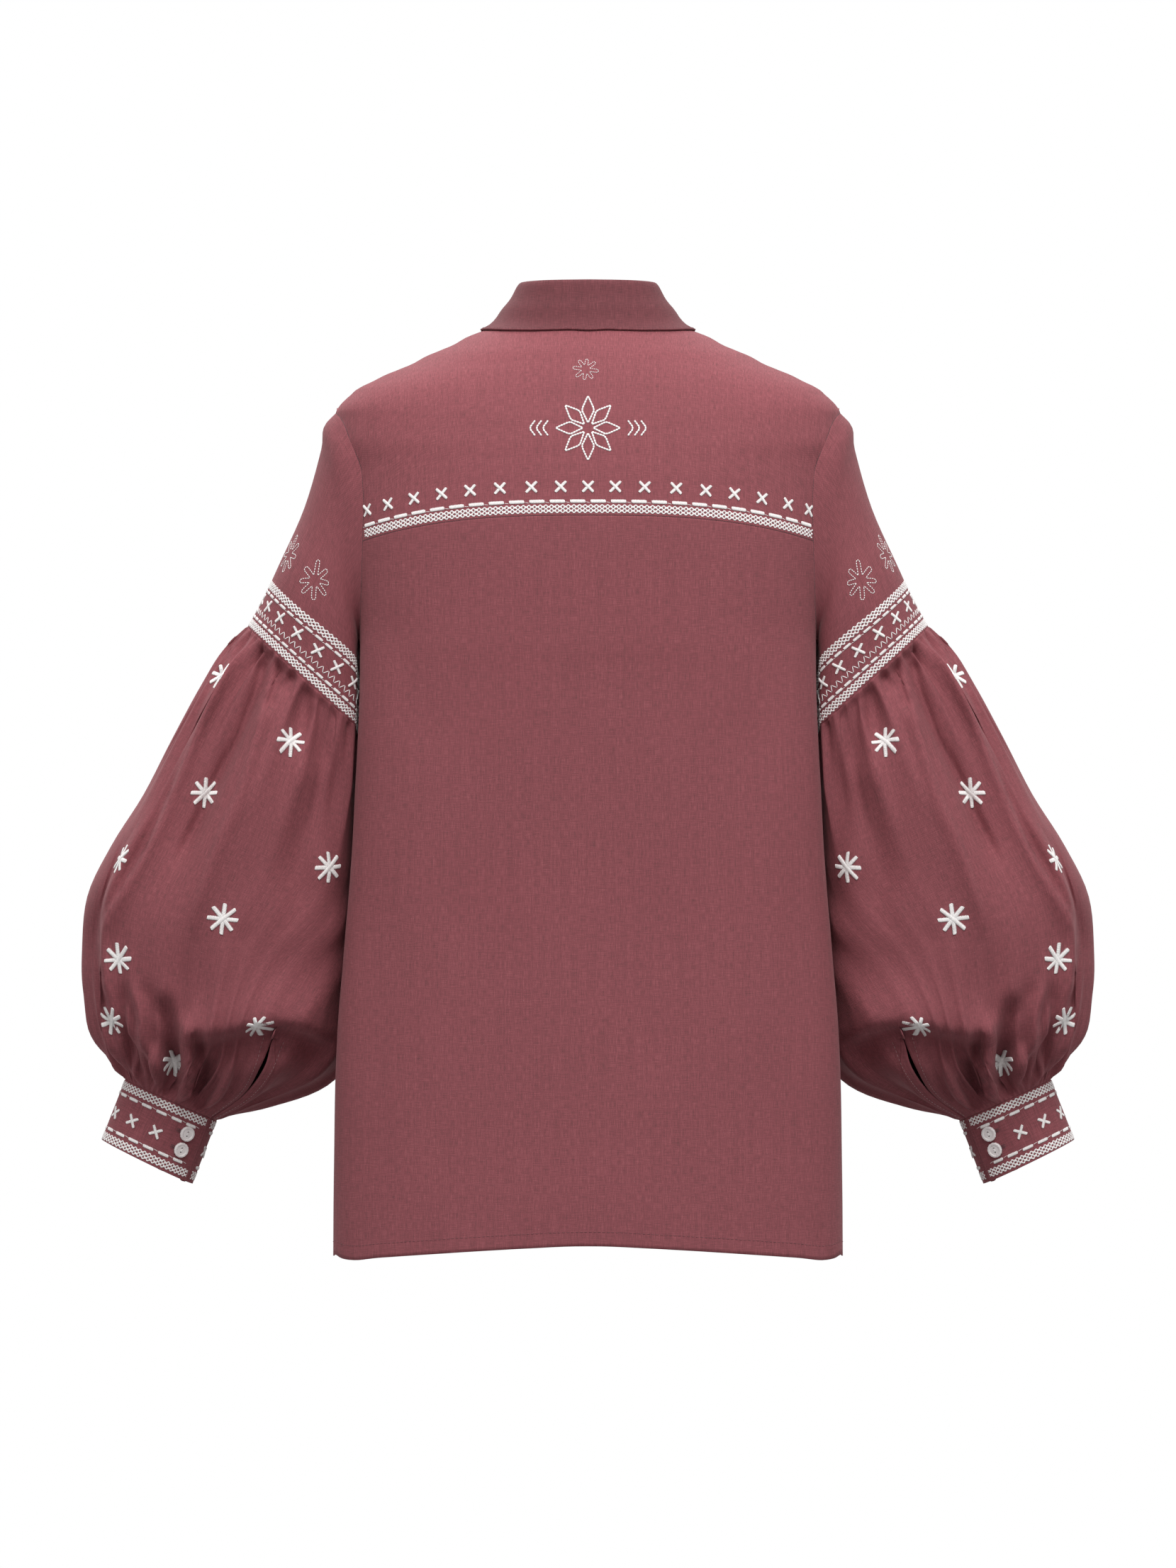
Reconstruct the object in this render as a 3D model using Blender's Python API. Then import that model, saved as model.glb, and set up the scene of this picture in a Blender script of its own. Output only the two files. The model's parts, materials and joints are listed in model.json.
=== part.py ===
"""A linen blouse in the vyshyvanka manner, filled out as it hangs on its wearer.

Back, yoke, two fronts, plackets, collar, gathered sleeves, cuffs and buttons, each as a
named solid. Run it with: blender --background --python part.py

Sizes are in millimetres until a mesh is made, and +Z is up. The back faces +Y, the front
faces -Y and the wearer's left is +X. The origin lies midway between the two points where
the neck seam crosses the shoulders, at the height where the shoulders carry the blouse.
"""

import math

import bmesh
import bpy
import numpy as np
from mathutils import Matrix, Vector

MM = 0.001
CLOTH = 1.5
COLLAR_CLOTH = 1.6
SEAM_GAP = 0.3
OVERLAP_GAP = 0.5
DEGREES = math.pi / 180.0

# ---------------------------------------------------------------- the body
# Level sections from the neck down to the hem. Each is rounded on the back and narrower
# towards the front, so that the sleeves can hang beside it.
TORSO_COLUMNS = (
    "height", "half_width", "widest_y", "back_y", "front_y", "back_square", "front_square",
)
TORSO = (
    (18.0, 40.0, 0.0, 46.0, -44.0, 2.2, 2.2),
    (8.0, 62.0, 0.0, 58.0, -52.0, 2.2, 2.2),
    (0.0, 82.9, 0.0, 68.0, -57.0, 2.2, 2.2),
    (-15.0, 115.4, 0.0, 81.0, -63.0, 2.25, 2.2),
    (-29.6, 146.9, 0.0, 89.0, -68.0, 2.3, 2.2),
    (-43.0, 176.0, 0.0, 95.0, -73.0, 2.35, 2.2),
    (-52.0, 187.3, 0.0, 98.0, -77.0, 2.4, 2.2),
    (-63.5, 195.7, 0.0, 102.0, -81.0, 2.4, 2.2),
    (-83.6, 196.0, 5.0, 107.0, -89.0, 2.4, 2.2),
    (-107.0, 190.0, 9.0, 111.0, -97.0, 2.4, 2.2),
    (-128.0, 188.0, 12.0, 113.0, -104.0, 2.4, 2.2),
    (-165.0, 184.5, 17.0, 115.5, -113.0, 2.4, 2.2),
    (-200.0, 180.0, 23.0, 116.0, -120.0, 2.4, 2.15),
    (-240.0, 176.4, 31.0, 116.0, -123.0, 2.4, 2.1),
    (-264.0, 176.3, 36.0, 115.0, -123.0, 2.4, 2.1),
    (-321.0, 178.1, 41.0, 114.0, -120.0, 2.4, 2.1),
    (-433.0, 184.6, 43.0, 113.0, -117.0, 2.4, 2.1),
    (-522.0, 192.2, 43.0, 115.0, -118.0, 2.4, 2.1),
    (-573.0, 195.0, 43.0, 117.0, -119.0, 2.4, 2.1),
    (-657.0, 196.4, 43.0, 121.0, -121.0, 2.4, 2.1),
    (-730.0, 197.0, 43.0, 124.0, -123.0, 2.4, 2.1),
)

# The side seam lies a little forward of the widest line. The hem dips towards each side
# and turns up again where it rounds the side seam.
SIDE_SEAM_ANGLE = 95.0
HEM_LOW = -718.0
HEM_CENTRE_RISE = 13.0
HEM_DIP_POWER = 1.4
HEM_SIDE_LIFT = 11.0
HEM_LIFT_STARTS_AT = 0.955

# The armhole, in turns from the shoulder tip round by the back.
ARMHOLE_TOP = -63.5
ARMHOLE_BOTTOM = -240.0
ARMHOLE_BACK_REACH = 33.0
ARMHOLE_FRONT_REACH = 29.0
ARMHOLE_NARROWING = 0.45
ARMHOLE_SQUARENESS = 0.75
YOKE_BACK_TURN = 97.8
YOKE_FRONT_TURN = -50.0

YOKE_SEAM_CENTRE = -145.0
YOKE_SEAM_POWER = 2.8

# The neck seam seen from above, in stations from the centre back.
NECK_HALF_WIDTH = 62.0
NECK_BACK_Y = 56.0
NECK_FRONT_Y = -84.0
NECK_ROUNDNESS = 0.95
YOKE_NECK_STATION = 115.0

PLACKET_HALF_WIDTH = 13.0
UNDER_PLACKET_REACH = 16.0
UNDER_PLACKET_DROP = 2.0

# How many cells each stretch of a seam is divided into, the same on both of its sides.
SIDE_CELLS = 7
BACK_HALF_CELLS = 8
YOKE_ARM_CELLS = 14
BACK_ARM_CELLS = 7
FRONT_ARM_CELLS = 12
FRONT_NECK_CELLS = 5
SIDE_CROWDING = 1.5
YOKE_ROWS = (0.0, 0.13, 0.3, 0.52, 0.76, 1.0)
UNDERARM_ROW_CENTRE = -300.0

# ---------------------------------------------------------------- the collar
# The fold line at the top of the collar, from the centre back to the centre front.
ROLL_COLUMNS = ("station", "x", "y", "z")
ROLL = (
    (0.0, 0.0, 54.0, 38.4),
    (25.0, 24.0, 49.5, 38.3),
    (50.0, 42.0, 35.5, 38.1),
    (75.0, 51.5, 13.0, 37.6),
    (95.0, 52.5, -7.0, 34.5),
    (120.0, 46.0, -36.0, 19.0),
    (145.0, 31.0, -60.5, -9.0),
    (165.0, 14.5, -74.5, -33.0),
    (180.0, 0.0, -79.0, -42.0),
)
# The free edge of the leaf seen from above. It rests just off the yoke and the fronts.
LEAF_EDGE_COLUMNS = ("station", "x", "y", "stand_off")
LEAF_EDGE = (
    (0.0, 0.0, 71.0, 3.4),
    (25.0, 31.0, 67.5, 3.4),
    (50.0, 60.0, 54.5, 3.2),
    (72.0, 78.0, 29.0, 3.0),
    (90.0, 83.0, 2.0, 3.0),
    (120.0, 78.0, -40.0, 3.2),
    (150.0, 62.0, -69.0, 3.4),
    (175.0, 43.5, -83.0, 3.6),
)
# The leaf's section at the fold: outward from the fold line, and down from it.
FOLD = ((-3.0, 6.0), (-2.6, 2.0), (0.0, 0.0), (3.2, 2.6))
LEAF_STATION_END = 175.0
LEAF_LEAST_OFF = 3.2
LEAF_FALL_CELLS = 3
LEAF_FLARE = 1.4
STAND_CELLS = 1
BAND_TOP_GAP = 0.8

# ---------------------------------------------------------------- the sleeves
# Rings of the sleeve as seen from behind: the outer end and the inner end of each, the
# half of its depth, how far forward it hangs and how square its inner side is.
RING_COLUMNS = (
    "outer_x", "outer_z", "inner_x", "inner_z", "half_depth", "centre_y", "inner_square",
)
UPPER_RINGS = (
    (209.0, -97.0, 175.0, -245.0, 51.0, 2.0, 2.2),
    (223.0, -145.0, 173.0, -252.0, 56.0, -2.0, 2.4),
    (244.0, -189.0, 171.0, -264.0, 60.0, -8.0, 2.6),
    (253.5, -209.0, 169.0, -290.0, 62.5, -14.0, 2.7),
    (264.5, -228.5, 168.0, -316.0, 65.0, -20.0, 2.8),
)
LOWER_RINGS = (
    (264.5, -228.5, 168.0, -316.0, 65.0, -20.0, 2.8),
    (279.5, -245.0, 166.0, -338.0, 74.0, -26.0, 2.7),
    (310.5, -294.0, 165.0, -385.0, 86.0, -34.0, 2.6),
    (346.0, -359.0, 166.0, -435.0, 93.0, -40.0, 2.5),
    (376.5, -409.0, 169.0, -480.0, 96.0, -44.0, 2.4),
    (394.0, -458.0, 174.0, -522.0, 95.0, -46.0, 2.3),
    (392.5, -506.0, 184.0, -561.0, 90.0, -48.0, 2.2),
    (385.0, -541.0, 206.0, -582.5, 77.0, -50.0, 2.1),
    (375.0, -561.0, 240.0, -597.0, 58.0, -51.0, 2.05),
    (363.5, -575.5, 272.0, -603.5, 42.0, -52.0, 2.0),
    (361.0, -581.5, 290.0, -613.5, 31.0, -52.0, 2.0),
)
CUFF_RINGS = (
    (361.0, -581.5, 290.0, -613.5, 31.0, -52.0, 2.0),
    (379.5, -628.5, 309.0, -663.0, 32.0, -56.0, 2.0),
)
SLEEVE_CLEARANCE = 2.6
CLEARANCE_GROWS = 0.22
UPPER_ROWS = (0.0, 0.06, 0.22, 0.42, 0.62, 0.82, 1.0)
SLEEVE_HEAD_LIFT = 4.0
SLEEVE_HEAD_SHARE = 0.25
LOWER_ROWS = (0.0, 0.025, 0.07, 0.15, 0.26, 0.38, 0.5, 0.61, 0.71, 0.79, 0.865, 0.935, 1.0)

# Gathers: three columns of the sleeve to each. Their rows give a place along the sleeve
# and the gathers' height there, fading into the seams and into the puffed middle.
GATHER_SHAPE = (1.0, -0.35, -0.65)
GATHER_UNEVENNESS = 0.45
GATHER_ROWS = (
    (0.0, 0.0), (0.025, 1.5), (0.07, 2.7), (0.15, 2.4), (0.26, 1.2), (0.4, 0.3),
    (0.6, 0.3), (0.75, 1.6), (0.86, 3.0), (0.93, 2.6), (0.975, 1.3), (1.0, 0.0),
)

# The soft folds of the puffed part. A negative height is a trough. Round the sleeve, 0 is
# its outer side, 0.25 its back, 0.5 its inner side and 0.75 its front.
PUFF_FOLD_COLUMNS = ("from_round", "from_row", "to_round", "to_row", "half_width", "height")
PUFF_FOLDS = (
    (0.045, 0.42, 0.055, 0.97, 0.022, -7.0),
    (0.095, 0.30, 0.105, 0.95, 0.030, 4.0),
    (0.150, 0.05, 0.165, 0.62, 0.026, -4.5),
    (0.235, 0.08, 0.205, 0.55, 0.034, 3.5),
    (0.205, 0.60, 0.225, 0.98, 0.026, -5.5),
    (0.330, 0.10, 0.290, 0.50, 0.030, -4.0),
    (0.330, 0.62, 0.345, 0.80, 0.050, 4.5),
    (0.560, 0.30, 0.575, 0.90, 0.028, -5.0),
    (0.660, 0.06, 0.690, 0.60, 0.030, -4.5),
    (0.720, 0.55, 0.735, 0.97, 0.028, -5.5),
    (0.800, 0.08, 0.775, 0.52, 0.034, 4.0),
    (0.870, 0.25, 0.860, 0.92, 0.026, -5.0),
    (0.940, 0.40, 0.930, 0.96, 0.028, 3.5),
)

# The opening above the cuff, which parts below the puff and is bound on its inner side.
SLIT_COLUMN = 28
SLIT_COLUMNS = ("row", "round", "width")
SLIT = (
    (0.79, 0.323, 1.0),
    (0.865, 0.333, 8.5),
    (0.935, 0.373, 1.6),
    (1.0, 0.420, 1.0),
)
SLIT_FIRST_ROW = 9
SLIT_SPREAD = 9.0
SLIT_CALM = 0.4
BINDING_WIDTH = 8.0
BINDING_CLOTH = 1.0

CUFF_CELLS = 2
CUFF_END_COLUMN = 14
CUFF_LAP_COLUMNS = 4
CUFF_RAMP_COLUMNS = 3

# ---------------------------------------------------------------- the buttons
BUTTON_RADIUS = 6.0
BUTTON_THICKNESS = 2.0
BUTTON_DISH_RADIUS = 3.9
BUTTON_DISH_DEPTH = 0.5
BUTTON_EDGE = 0.5
BUTTON_HOLE_RADIUS = 0.8
BUTTON_HOLE_OFFSET = 1.5
BUTTON_SIDES = 14
HOLE_SIDES = 6
BUTTON_GAP = 0.5
PLACKET_BUTTON_TOP = -96.0
PLACKET_BUTTON_PITCH = 92.0
PLACKET_BUTTONS = 6
CUFF_BUTTON_ROUND = 0.351
CUFF_BUTTON_ROWS = (0.345, 0.6)

MATERIALS = {
    "linen": ((0.232, 0.062, 0.074, 1.0), 0.86),
    "shell": ((0.745, 0.685, 0.680, 1.0), 0.30),
}


# ---------------------------------------------------------------- reading the tables
def through(stations, values, at):
    """Values between their stations, along a curve that never swings past them."""
    stations = np.asarray(stations, float)
    values = np.asarray(values, float)
    at = np.asarray(at, float)
    steps = np.diff(stations).reshape((-1,) + (1,) * (values.ndim - 1))
    slopes = np.diff(values, axis=0) / steps
    before, after = slopes[:-1], slopes[1:]
    total = np.where(np.abs(before + after) < 1e-12, 1.0, before + after)
    bends = np.where(before * after > 0, 2.0 * before * after / total, 0.0)
    tangents = np.concatenate([slopes[:1], bends, slopes[-1:]])
    cell = np.clip(np.searchsorted(stations, at, side="right") - 1, 0, len(stations) - 2)
    step = steps[cell]
    along = (at - stations[cell]).reshape(at.shape + (1,) * (values.ndim - 1)) / step
    start = values[cell] + tangents[cell] * step * along
    end = values[cell + 1] - tangents[cell + 1] * step * (1.0 - along)
    ease = along * along * (3.0 - 2.0 * along)
    straight_start = start * (1.0 - along) + values[cell] * along
    straight_end = end * along + values[cell + 1] * (1.0 - along)
    return straight_start * (1.0 - ease) + straight_end * ease


def columns_of(names, rows, at):
    """Every named column of a table whose first column is its stations."""
    order = sorted(rows)
    stations = [row[0] for row in order]
    return {
        name: through(stations, [row[index] for row in order], at)
        for index, name in enumerate(names)
    }


def unit(vectors):
    return vectors / np.maximum(np.linalg.norm(vectors, axis=-1, keepdims=True), 1e-9)


def run_along(points):
    """The distance covered from the first point to each point of a line."""
    steps = np.linalg.norm(np.diff(points, axis=0), axis=-1)
    return np.concatenate([[0.0], np.cumsum(steps)])


def eased(value):
    value = np.clip(value, 0.0, 1.0)
    return value * value * (3.0 - 2.0 * value)


# ---------------------------------------------------------------- the body's surface
def torso(angle, height):
    """Points of the body at an angle from the centre back, in degrees, and a height."""
    angle, height = np.broadcast_arrays(np.asarray(angle, float), np.asarray(height, float))
    row = columns_of(TORSO_COLUMNS, TORSO, height)
    across, along = np.sin(angle * DEGREES), np.cos(angle * DEGREES)
    is_back = along >= 0.0
    square = np.where(is_back, row["back_square"], row["front_square"])
    depth = np.where(
        is_back, row["back_y"] - row["widest_y"], row["widest_y"] - row["front_y"]
    )
    x = row["half_width"] * np.sign(across) * np.abs(across) ** (2.0 / square)
    y = row["widest_y"] + depth * np.sign(along) * np.abs(along) ** (2.0 / square)
    return np.stack([x, y, height], axis=-1)


def torso_normal(angle, height):
    """The outward direction of the body's surface."""
    step = 0.4
    round_it = torso(angle + step, height) - torso(angle - step, height)
    up_it = torso(angle, height + step) - torso(angle, height - step)
    return unit(np.cross(up_it, round_it))


def torso_at(x, y):
    """The angle and height at which a point seen from above lies on the shoulders."""
    x, y = np.broadcast_arrays(np.asarray(x, float), np.asarray(y, float))
    low = np.full(x.shape, -250.0)
    high = np.full(x.shape, 17.0)
    for _ in range(40):
        middle = (low + high) / 2.0
        across, along = torso_shares(x, y, middle)
        outside = across ** 2 + along ** 2 > 1.0
        low = np.where(outside, low, middle)
        high = np.where(outside, middle, high)
    across, along = torso_shares(x, y, low)
    is_front = y < columns_of(TORSO_COLUMNS, TORSO, low)["widest_y"]
    angle = np.arctan2(across * np.sign(x + 1e-12), np.where(is_front, -along, along))
    return angle / DEGREES, low


def torso_shares(x, y, height):
    """Sine and cosine of the angle, without signs, that put a section through a point."""
    row = columns_of(TORSO_COLUMNS, TORSO, height)
    is_back = y >= row["widest_y"]
    square = np.where(is_back, row["back_square"], row["front_square"])
    depth = np.where(
        is_back, row["back_y"] - row["widest_y"], row["widest_y"] - row["front_y"]
    )
    across = (np.abs(x) / row["half_width"]) ** (square / 2.0)
    along = (np.abs(y - row["widest_y"]) / depth) ** (square / 2.0)
    return across, along


def torso_half_width_at(y, height):
    """How far out the body's side lies at a depth and a height; zero past its ends."""
    row = columns_of(TORSO_COLUMNS, TORSO, height)
    is_back = y >= row["widest_y"]
    square = np.where(is_back, row["back_square"], row["front_square"])
    depth = np.where(
        is_back, row["back_y"] - row["widest_y"], row["widest_y"] - row["front_y"]
    )
    share = np.clip(np.abs(y - row["widest_y"]) / depth, 0.0, 1.0)
    return row["half_width"] * (1.0 - share ** square) ** (1.0 / square)


# ---------------------------------------------------------------- seam lines on the body
# Each gives (angle, height), the place on the body's surface.
def hem(angle):
    angle = np.asarray(angle, float)
    across = np.abs(np.sin(angle * DEGREES)) ** (2.0 / 2.4)
    rise = HEM_CENTRE_RISE * (1.0 - across ** HEM_DIP_POWER)
    turn_up = eased((across - HEM_LIFT_STARTS_AT) / (1.0 - HEM_LIFT_STARTS_AT))
    return angle, HEM_LOW + rise + HEM_SIDE_LIFT * turn_up


def side_seam(height):
    height = np.asarray(height, float)
    return np.full(height.shape, SIDE_SEAM_ANGLE), height


def armhole(turn):
    """The armhole: turn 0 is the shoulder tip, 90 the back, 180 the underarm."""
    turn = np.asarray(turn, float) * DEGREES
    fall = (1.0 - np.cos(turn)) / 2.0
    height = ARMHOLE_TOP + (ARMHOLE_BOTTOM - ARMHOLE_TOP) * fall
    middle = 90.0 + (SIDE_SEAM_ANGLE - 90.0) * fall
    swing = np.sign(np.sin(turn)) * np.abs(np.sin(turn)) ** ARMHOLE_SQUARENESS
    reach = np.where(swing > 0.0, ARMHOLE_BACK_REACH, ARMHOLE_FRONT_REACH)
    return middle - swing * reach * (1.0 - ARMHOLE_NARROWING * fall), height


def yoke_seam(angle):
    """The seam between yoke and back, arched up over the middle."""
    angle = np.asarray(angle, float)
    corner_angle, corner_height = armhole(YOKE_BACK_TURN)
    share = (np.sin(np.abs(angle) * DEGREES) / np.sin(corner_angle * DEGREES)) ** (2.0 / 2.4)
    drop = (corner_height - YOKE_SEAM_CENTRE) * share ** YOKE_SEAM_POWER
    return angle, YOKE_SEAM_CENTRE + drop


def neck(station):
    """The neck seam: station 0 is the centre back, 90 the side, 180 the centre front."""
    station = np.asarray(station, float) * DEGREES
    across, along = np.sin(station), np.cos(station)
    x = NECK_HALF_WIDTH * np.sign(across) * np.abs(across) ** NECK_ROUNDNESS
    y = np.where(along >= 0.0, NECK_BACK_Y * along, -NECK_FRONT_Y * along)
    angle, height = torso_at(x, y)
    return np.where(station > math.pi, angle + 360.0, angle), height


def shoulder_seam():
    """The seam between the yoke and a front: straight from armhole to neck, seen from above."""
    arm_corner = joined(armhole(np.array([YOKE_FRONT_TURN])))[0]
    neck_corner = joined(neck(np.array([YOKE_NECK_STATION])))[0]
    share = np.array(YOKE_ROWS)
    height = arm_corner[1] * (1.0 - share) + neck_corner[1] * share
    start, end = torso(*arm_corner), torso(*neck_corner)
    run = end - start
    low = np.full(share.shape, SIDE_SEAM_ANGLE)
    high = np.full(share.shape, 165.0)
    for _ in range(40):
        middle = (low + high) / 2.0
        off = torso(middle, height) - start
        behind = off[:, 0] * run[1] - off[:, 1] * run[0] > 0.0
        low = np.where(behind, middle, low)
        high = np.where(behind, high, middle)
    angle = (low + high) / 2.0
    angle[0], angle[-1] = arm_corner[0], neck_corner[0]
    return angle, height


def front_line(x, height):
    """The angle at which a plumb line x out from the centre front lies on the body."""
    row = columns_of(TORSO_COLUMNS, TORSO, height)
    across = (np.abs(x) / row["half_width"]) ** (row["front_square"] / 2.0)
    return 180.0 - np.sign(x) * np.arcsin(across) / DEGREES


def evenly(line, start, end, cells, crowding=1.0):
    """Parameters that cut a seam line into cells of equal length, or crowd them to its end."""
    fine = np.linspace(start, end, 321)
    covered = run_along(torso(*line(fine)))
    share = 1.0 - (1.0 - np.linspace(0.0, 1.0, cells + 1)) ** crowding
    return np.interp(share * covered[-1], covered, fine)


def joined(*lines):
    """Seam lines that follow one another, as one line without its doubled corners."""
    angle = np.concatenate([line[0][(index > 0):] for index, line in enumerate(lines)])
    height = np.concatenate([line[1][(index > 0):] for index, line in enumerate(lines)])
    return np.stack([angle, height], axis=-1)


def spread_between(bottom, top, left, right):
    """Places on the body between four seam lines. The row at the underarm runs straight
    across, and the bends of the bottom and the top seam fade out towards it."""
    row = np.arange(len(left))
    low = np.clip(1.0 - row / SIDE_CELLS, 0.0, 1.0)[:, None, None] ** 2
    high = np.clip((row - SIDE_CELLS) / (row[-1] - SIDE_CELLS), 0.0, 1.0)[:, None, None] ** 2
    along = np.linspace(0.0, 1.0, len(bottom))[:, None]
    bottom_bend = bottom - ((1.0 - along) * bottom[0] + along * bottom[-1])
    top_bend = top - ((1.0 - along) * top[0] + along * top[-1])
    straight = (1.0 - along) * left[:, None] + along * right[:, None]
    return straight + low * bottom_bend + high * top_bend


def middle_heights(foot, top, rows):
    """The heights of a panel's rows at the centre, which dip below the underarm's height."""
    lower = np.linspace(foot, UNDERARM_ROW_CENTRE, SIDE_CELLS + 1)
    upper = np.linspace(UNDERARM_ROW_CENTRE, top, rows - SIDE_CELLS)
    return np.concatenate([lower, upper[1:]])


# ---------------------------------------------------------------- cloth walls
def grid_normals(points, wrap):
    """Outward directions of a grid: rows run along the cloth and columns round it."""
    down = np.gradient(points, axis=0)
    if wrap:
        across = np.roll(points, -1, axis=1) - np.roll(points, 1, axis=1)
    else:
        across = np.gradient(points, axis=1)
    return unit(np.cross(down, across))


def edge_aside(edge, normals, inside):
    """At each point of an edge, the direction into the cloth, square to the edge."""
    aside = unit(np.cross(np.gradient(edge, axis=0), normals))
    towards = np.sign(np.sum(aside * (inside - edge), axis=-1, keepdims=True))
    return aside * np.where(towards == 0.0, 1.0, towards)


def drawn_back(points, normals, edges):
    """The grid with the named edges drawn half a seam gap into the cloth."""
    moved = points.copy()
    takes = {
        "first_row": ((0, slice(None)), (1, slice(None))),
        "last_row": ((-1, slice(None)), (-2, slice(None))),
        "first_column": ((slice(None), 0), (slice(None), 1)),
        "last_column": ((slice(None), -1), (slice(None), -2)),
    }
    for name in edges:
        edge, inside = takes[name]
        aside = edge_aside(points[edge], normals[edge], points[inside])
        moved[edge] += aside * SEAM_GAP / 2.0
    return moved


def mitre(edge, own, other, wrap):
    """How two cloths meet at a seam: each one's way inwards, and the way from one to the other."""
    if wrap:
        tangent = np.roll(edge, -1, axis=0) - np.roll(edge, 1, axis=0)
    else:
        tangent = np.gradient(edge, axis=0)
    agreement = np.sum(own * other, axis=-1, keepdims=True)
    lean = np.clip(agreement / 0.5, 0.0, 1.0)
    across = unit(np.cross(unit(tangent), unit(own + other)))
    return -unit(own + lean * other), -unit(other + lean * own), across


def cloth_object(name, outer, inner, wrap=False, missing=frozenset()):
    """A closed wall between two grids, with rims along its edges and its missing cells."""
    rows, columns = outer.shape[:2]
    last_column = columns if wrap else columns - 1
    cells = {
        (row, column)
        for row in range(rows - 1)
        for column in range(last_column)
        if (row, column) not in missing
    }
    built = bmesh.new()
    made = {}

    def vertex(layer, row, column):
        key = (layer, row, column % columns)
        if key not in made:
            grid = outer if layer == "outer" else inner
            made[key] = built.verts.new(grid[row, column % columns] * MM)
        return made[key]

    def neighbour(row, column):
        return (row, column % columns) if wrap else (row, column)

    for row, column in sorted(cells):
        ring = ((row, column), (row + 1, column), (row + 1, column + 1), (row, column + 1))
        beyond = ((row, column - 1), (row + 1, column), (row, column + 1), (row - 1, column))
        built.faces.new([vertex("outer", *corner) for corner in ring])
        built.faces.new([vertex("inner", *ring[index]) for index in (0, 3, 2, 1)])
        for index, past in enumerate(beyond):
            if neighbour(*past) in cells:
                continue
            start, end = ring[index], ring[(index + 1) % 4]
            rim = (("outer", *end), ("outer", *start), ("inner", *start), ("inner", *end))
            built.faces.new([vertex(*corner) for corner in rim])
    return mesh_object(name, built, "linen")


def mirrored_object(name, source):
    """The same piece on the other side of the blouse, with its outside still outside."""
    data = source.data.copy()
    data.name = name
    data.transform(Matrix.Diagonal((-1.0, 1.0, 1.0, 1.0)))
    data.flip_normals()
    made = bpy.data.objects.new(name, data)
    bpy.data.collections["vyshyvanka_shirt"].objects.link(made)


# ---------------------------------------------------------------- objects and materials
def material(name):
    """A plain finish: colour and roughness."""
    found = bpy.data.materials.get(name)
    if found:
        return found
    colour, roughness = MATERIALS[name]
    made = bpy.data.materials.new(name)
    made.use_nodes = True
    shader = made.node_tree.nodes["Principled BSDF"]
    shader.inputs["Base Color"].default_value = colour
    shader.inputs["Roughness"].default_value = roughness
    shader.inputs["Metallic"].default_value = 0.0
    return made


def mesh_object(name, built, finish):
    """A named object in the blouse's collection from a finished bmesh."""
    data = bpy.data.meshes.new(name)
    built.to_mesh(data)
    built.free()
    data.materials.append(material(finish))
    data.shade_smooth()
    data.set_sharp_from_angle(angle=50.0 * DEGREES)
    made = bpy.data.objects.new(name, data)
    bpy.data.collections["vyshyvanka_shirt"].objects.link(made)
    return made


def clear_scene():
    for old in list(bpy.data.objects):
        bpy.data.objects.remove(old, do_unlink=True)
    for name in ("vyshyvanka_shirt", "cutters"):
        collection = bpy.data.collections.new(name)
        bpy.context.scene.collection.children.link(collection)
    bpy.data.collections["cutters"].hide_render = True


# ---------------------------------------------------------------- shared seams
def armhole_turns():
    """The armhole's points by turn: down the back of the yoke, the back, then up the front."""
    yoke_front_part = evenly(armhole, YOKE_FRONT_TURN, YOKE_BACK_TURN, YOKE_ARM_CELLS)
    back_part = evenly(armhole, YOKE_BACK_TURN, 180.0, BACK_ARM_CELLS)
    front_part = evenly(armhole, 180.0, 360.0 + YOKE_FRONT_TURN, FRONT_ARM_CELLS)
    return yoke_front_part, back_part, front_part


def neck_stations():
    """The neck's stations: from the centre back to the yoke's front seam, then to the placket."""
    yoke_part = np.linspace(0.0, YOKE_NECK_STATION, BACK_HALF_CELLS + YOKE_ARM_CELLS + 1)
    fine = np.linspace(YOKE_NECK_STATION, 179.0, 400)
    out = torso(*neck(fine))[:, 0]
    placket_station = float(np.interp(-PLACKET_HALF_WIDTH, -out, fine))
    front_part = np.linspace(YOKE_NECK_STATION, placket_station, FRONT_NECK_CELLS + 1)
    return yoke_part, front_part


# ---------------------------------------------------------------- the body's pieces
def back_places():
    """The back: from the hem up to the yoke seam, and from side to side."""
    half_hem = hem(evenly(hem, 0.0, SIDE_SEAM_ANGLE, BACK_HALF_CELLS, SIDE_CROWDING))
    corner_angle = armhole(YOKE_BACK_TURN)[0]
    half_top = yoke_seam(evenly(yoke_seam, 0.0, corner_angle, BACK_HALF_CELLS, SIDE_CROWDING))
    side_foot = float(hem(SIDE_SEAM_ANGLE)[1])
    side = side_seam(np.linspace(side_foot, ARMHOLE_BOTTOM, SIDE_CELLS + 1))
    back_turns = armhole_turns()[1]
    edge = joined(side, armhole(back_turns[::-1]))
    heights = middle_heights(half_hem[1][0], YOKE_SEAM_CENTRE, len(edge))
    centre = np.stack([np.zeros(len(edge)), heights], axis=-1)
    half = spread_between(joined(half_hem), joined(half_top), centre, edge)
    other = half[:, :0:-1] * np.array([-1.0, 1.0])
    return np.concatenate([other, half], axis=1)


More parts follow.
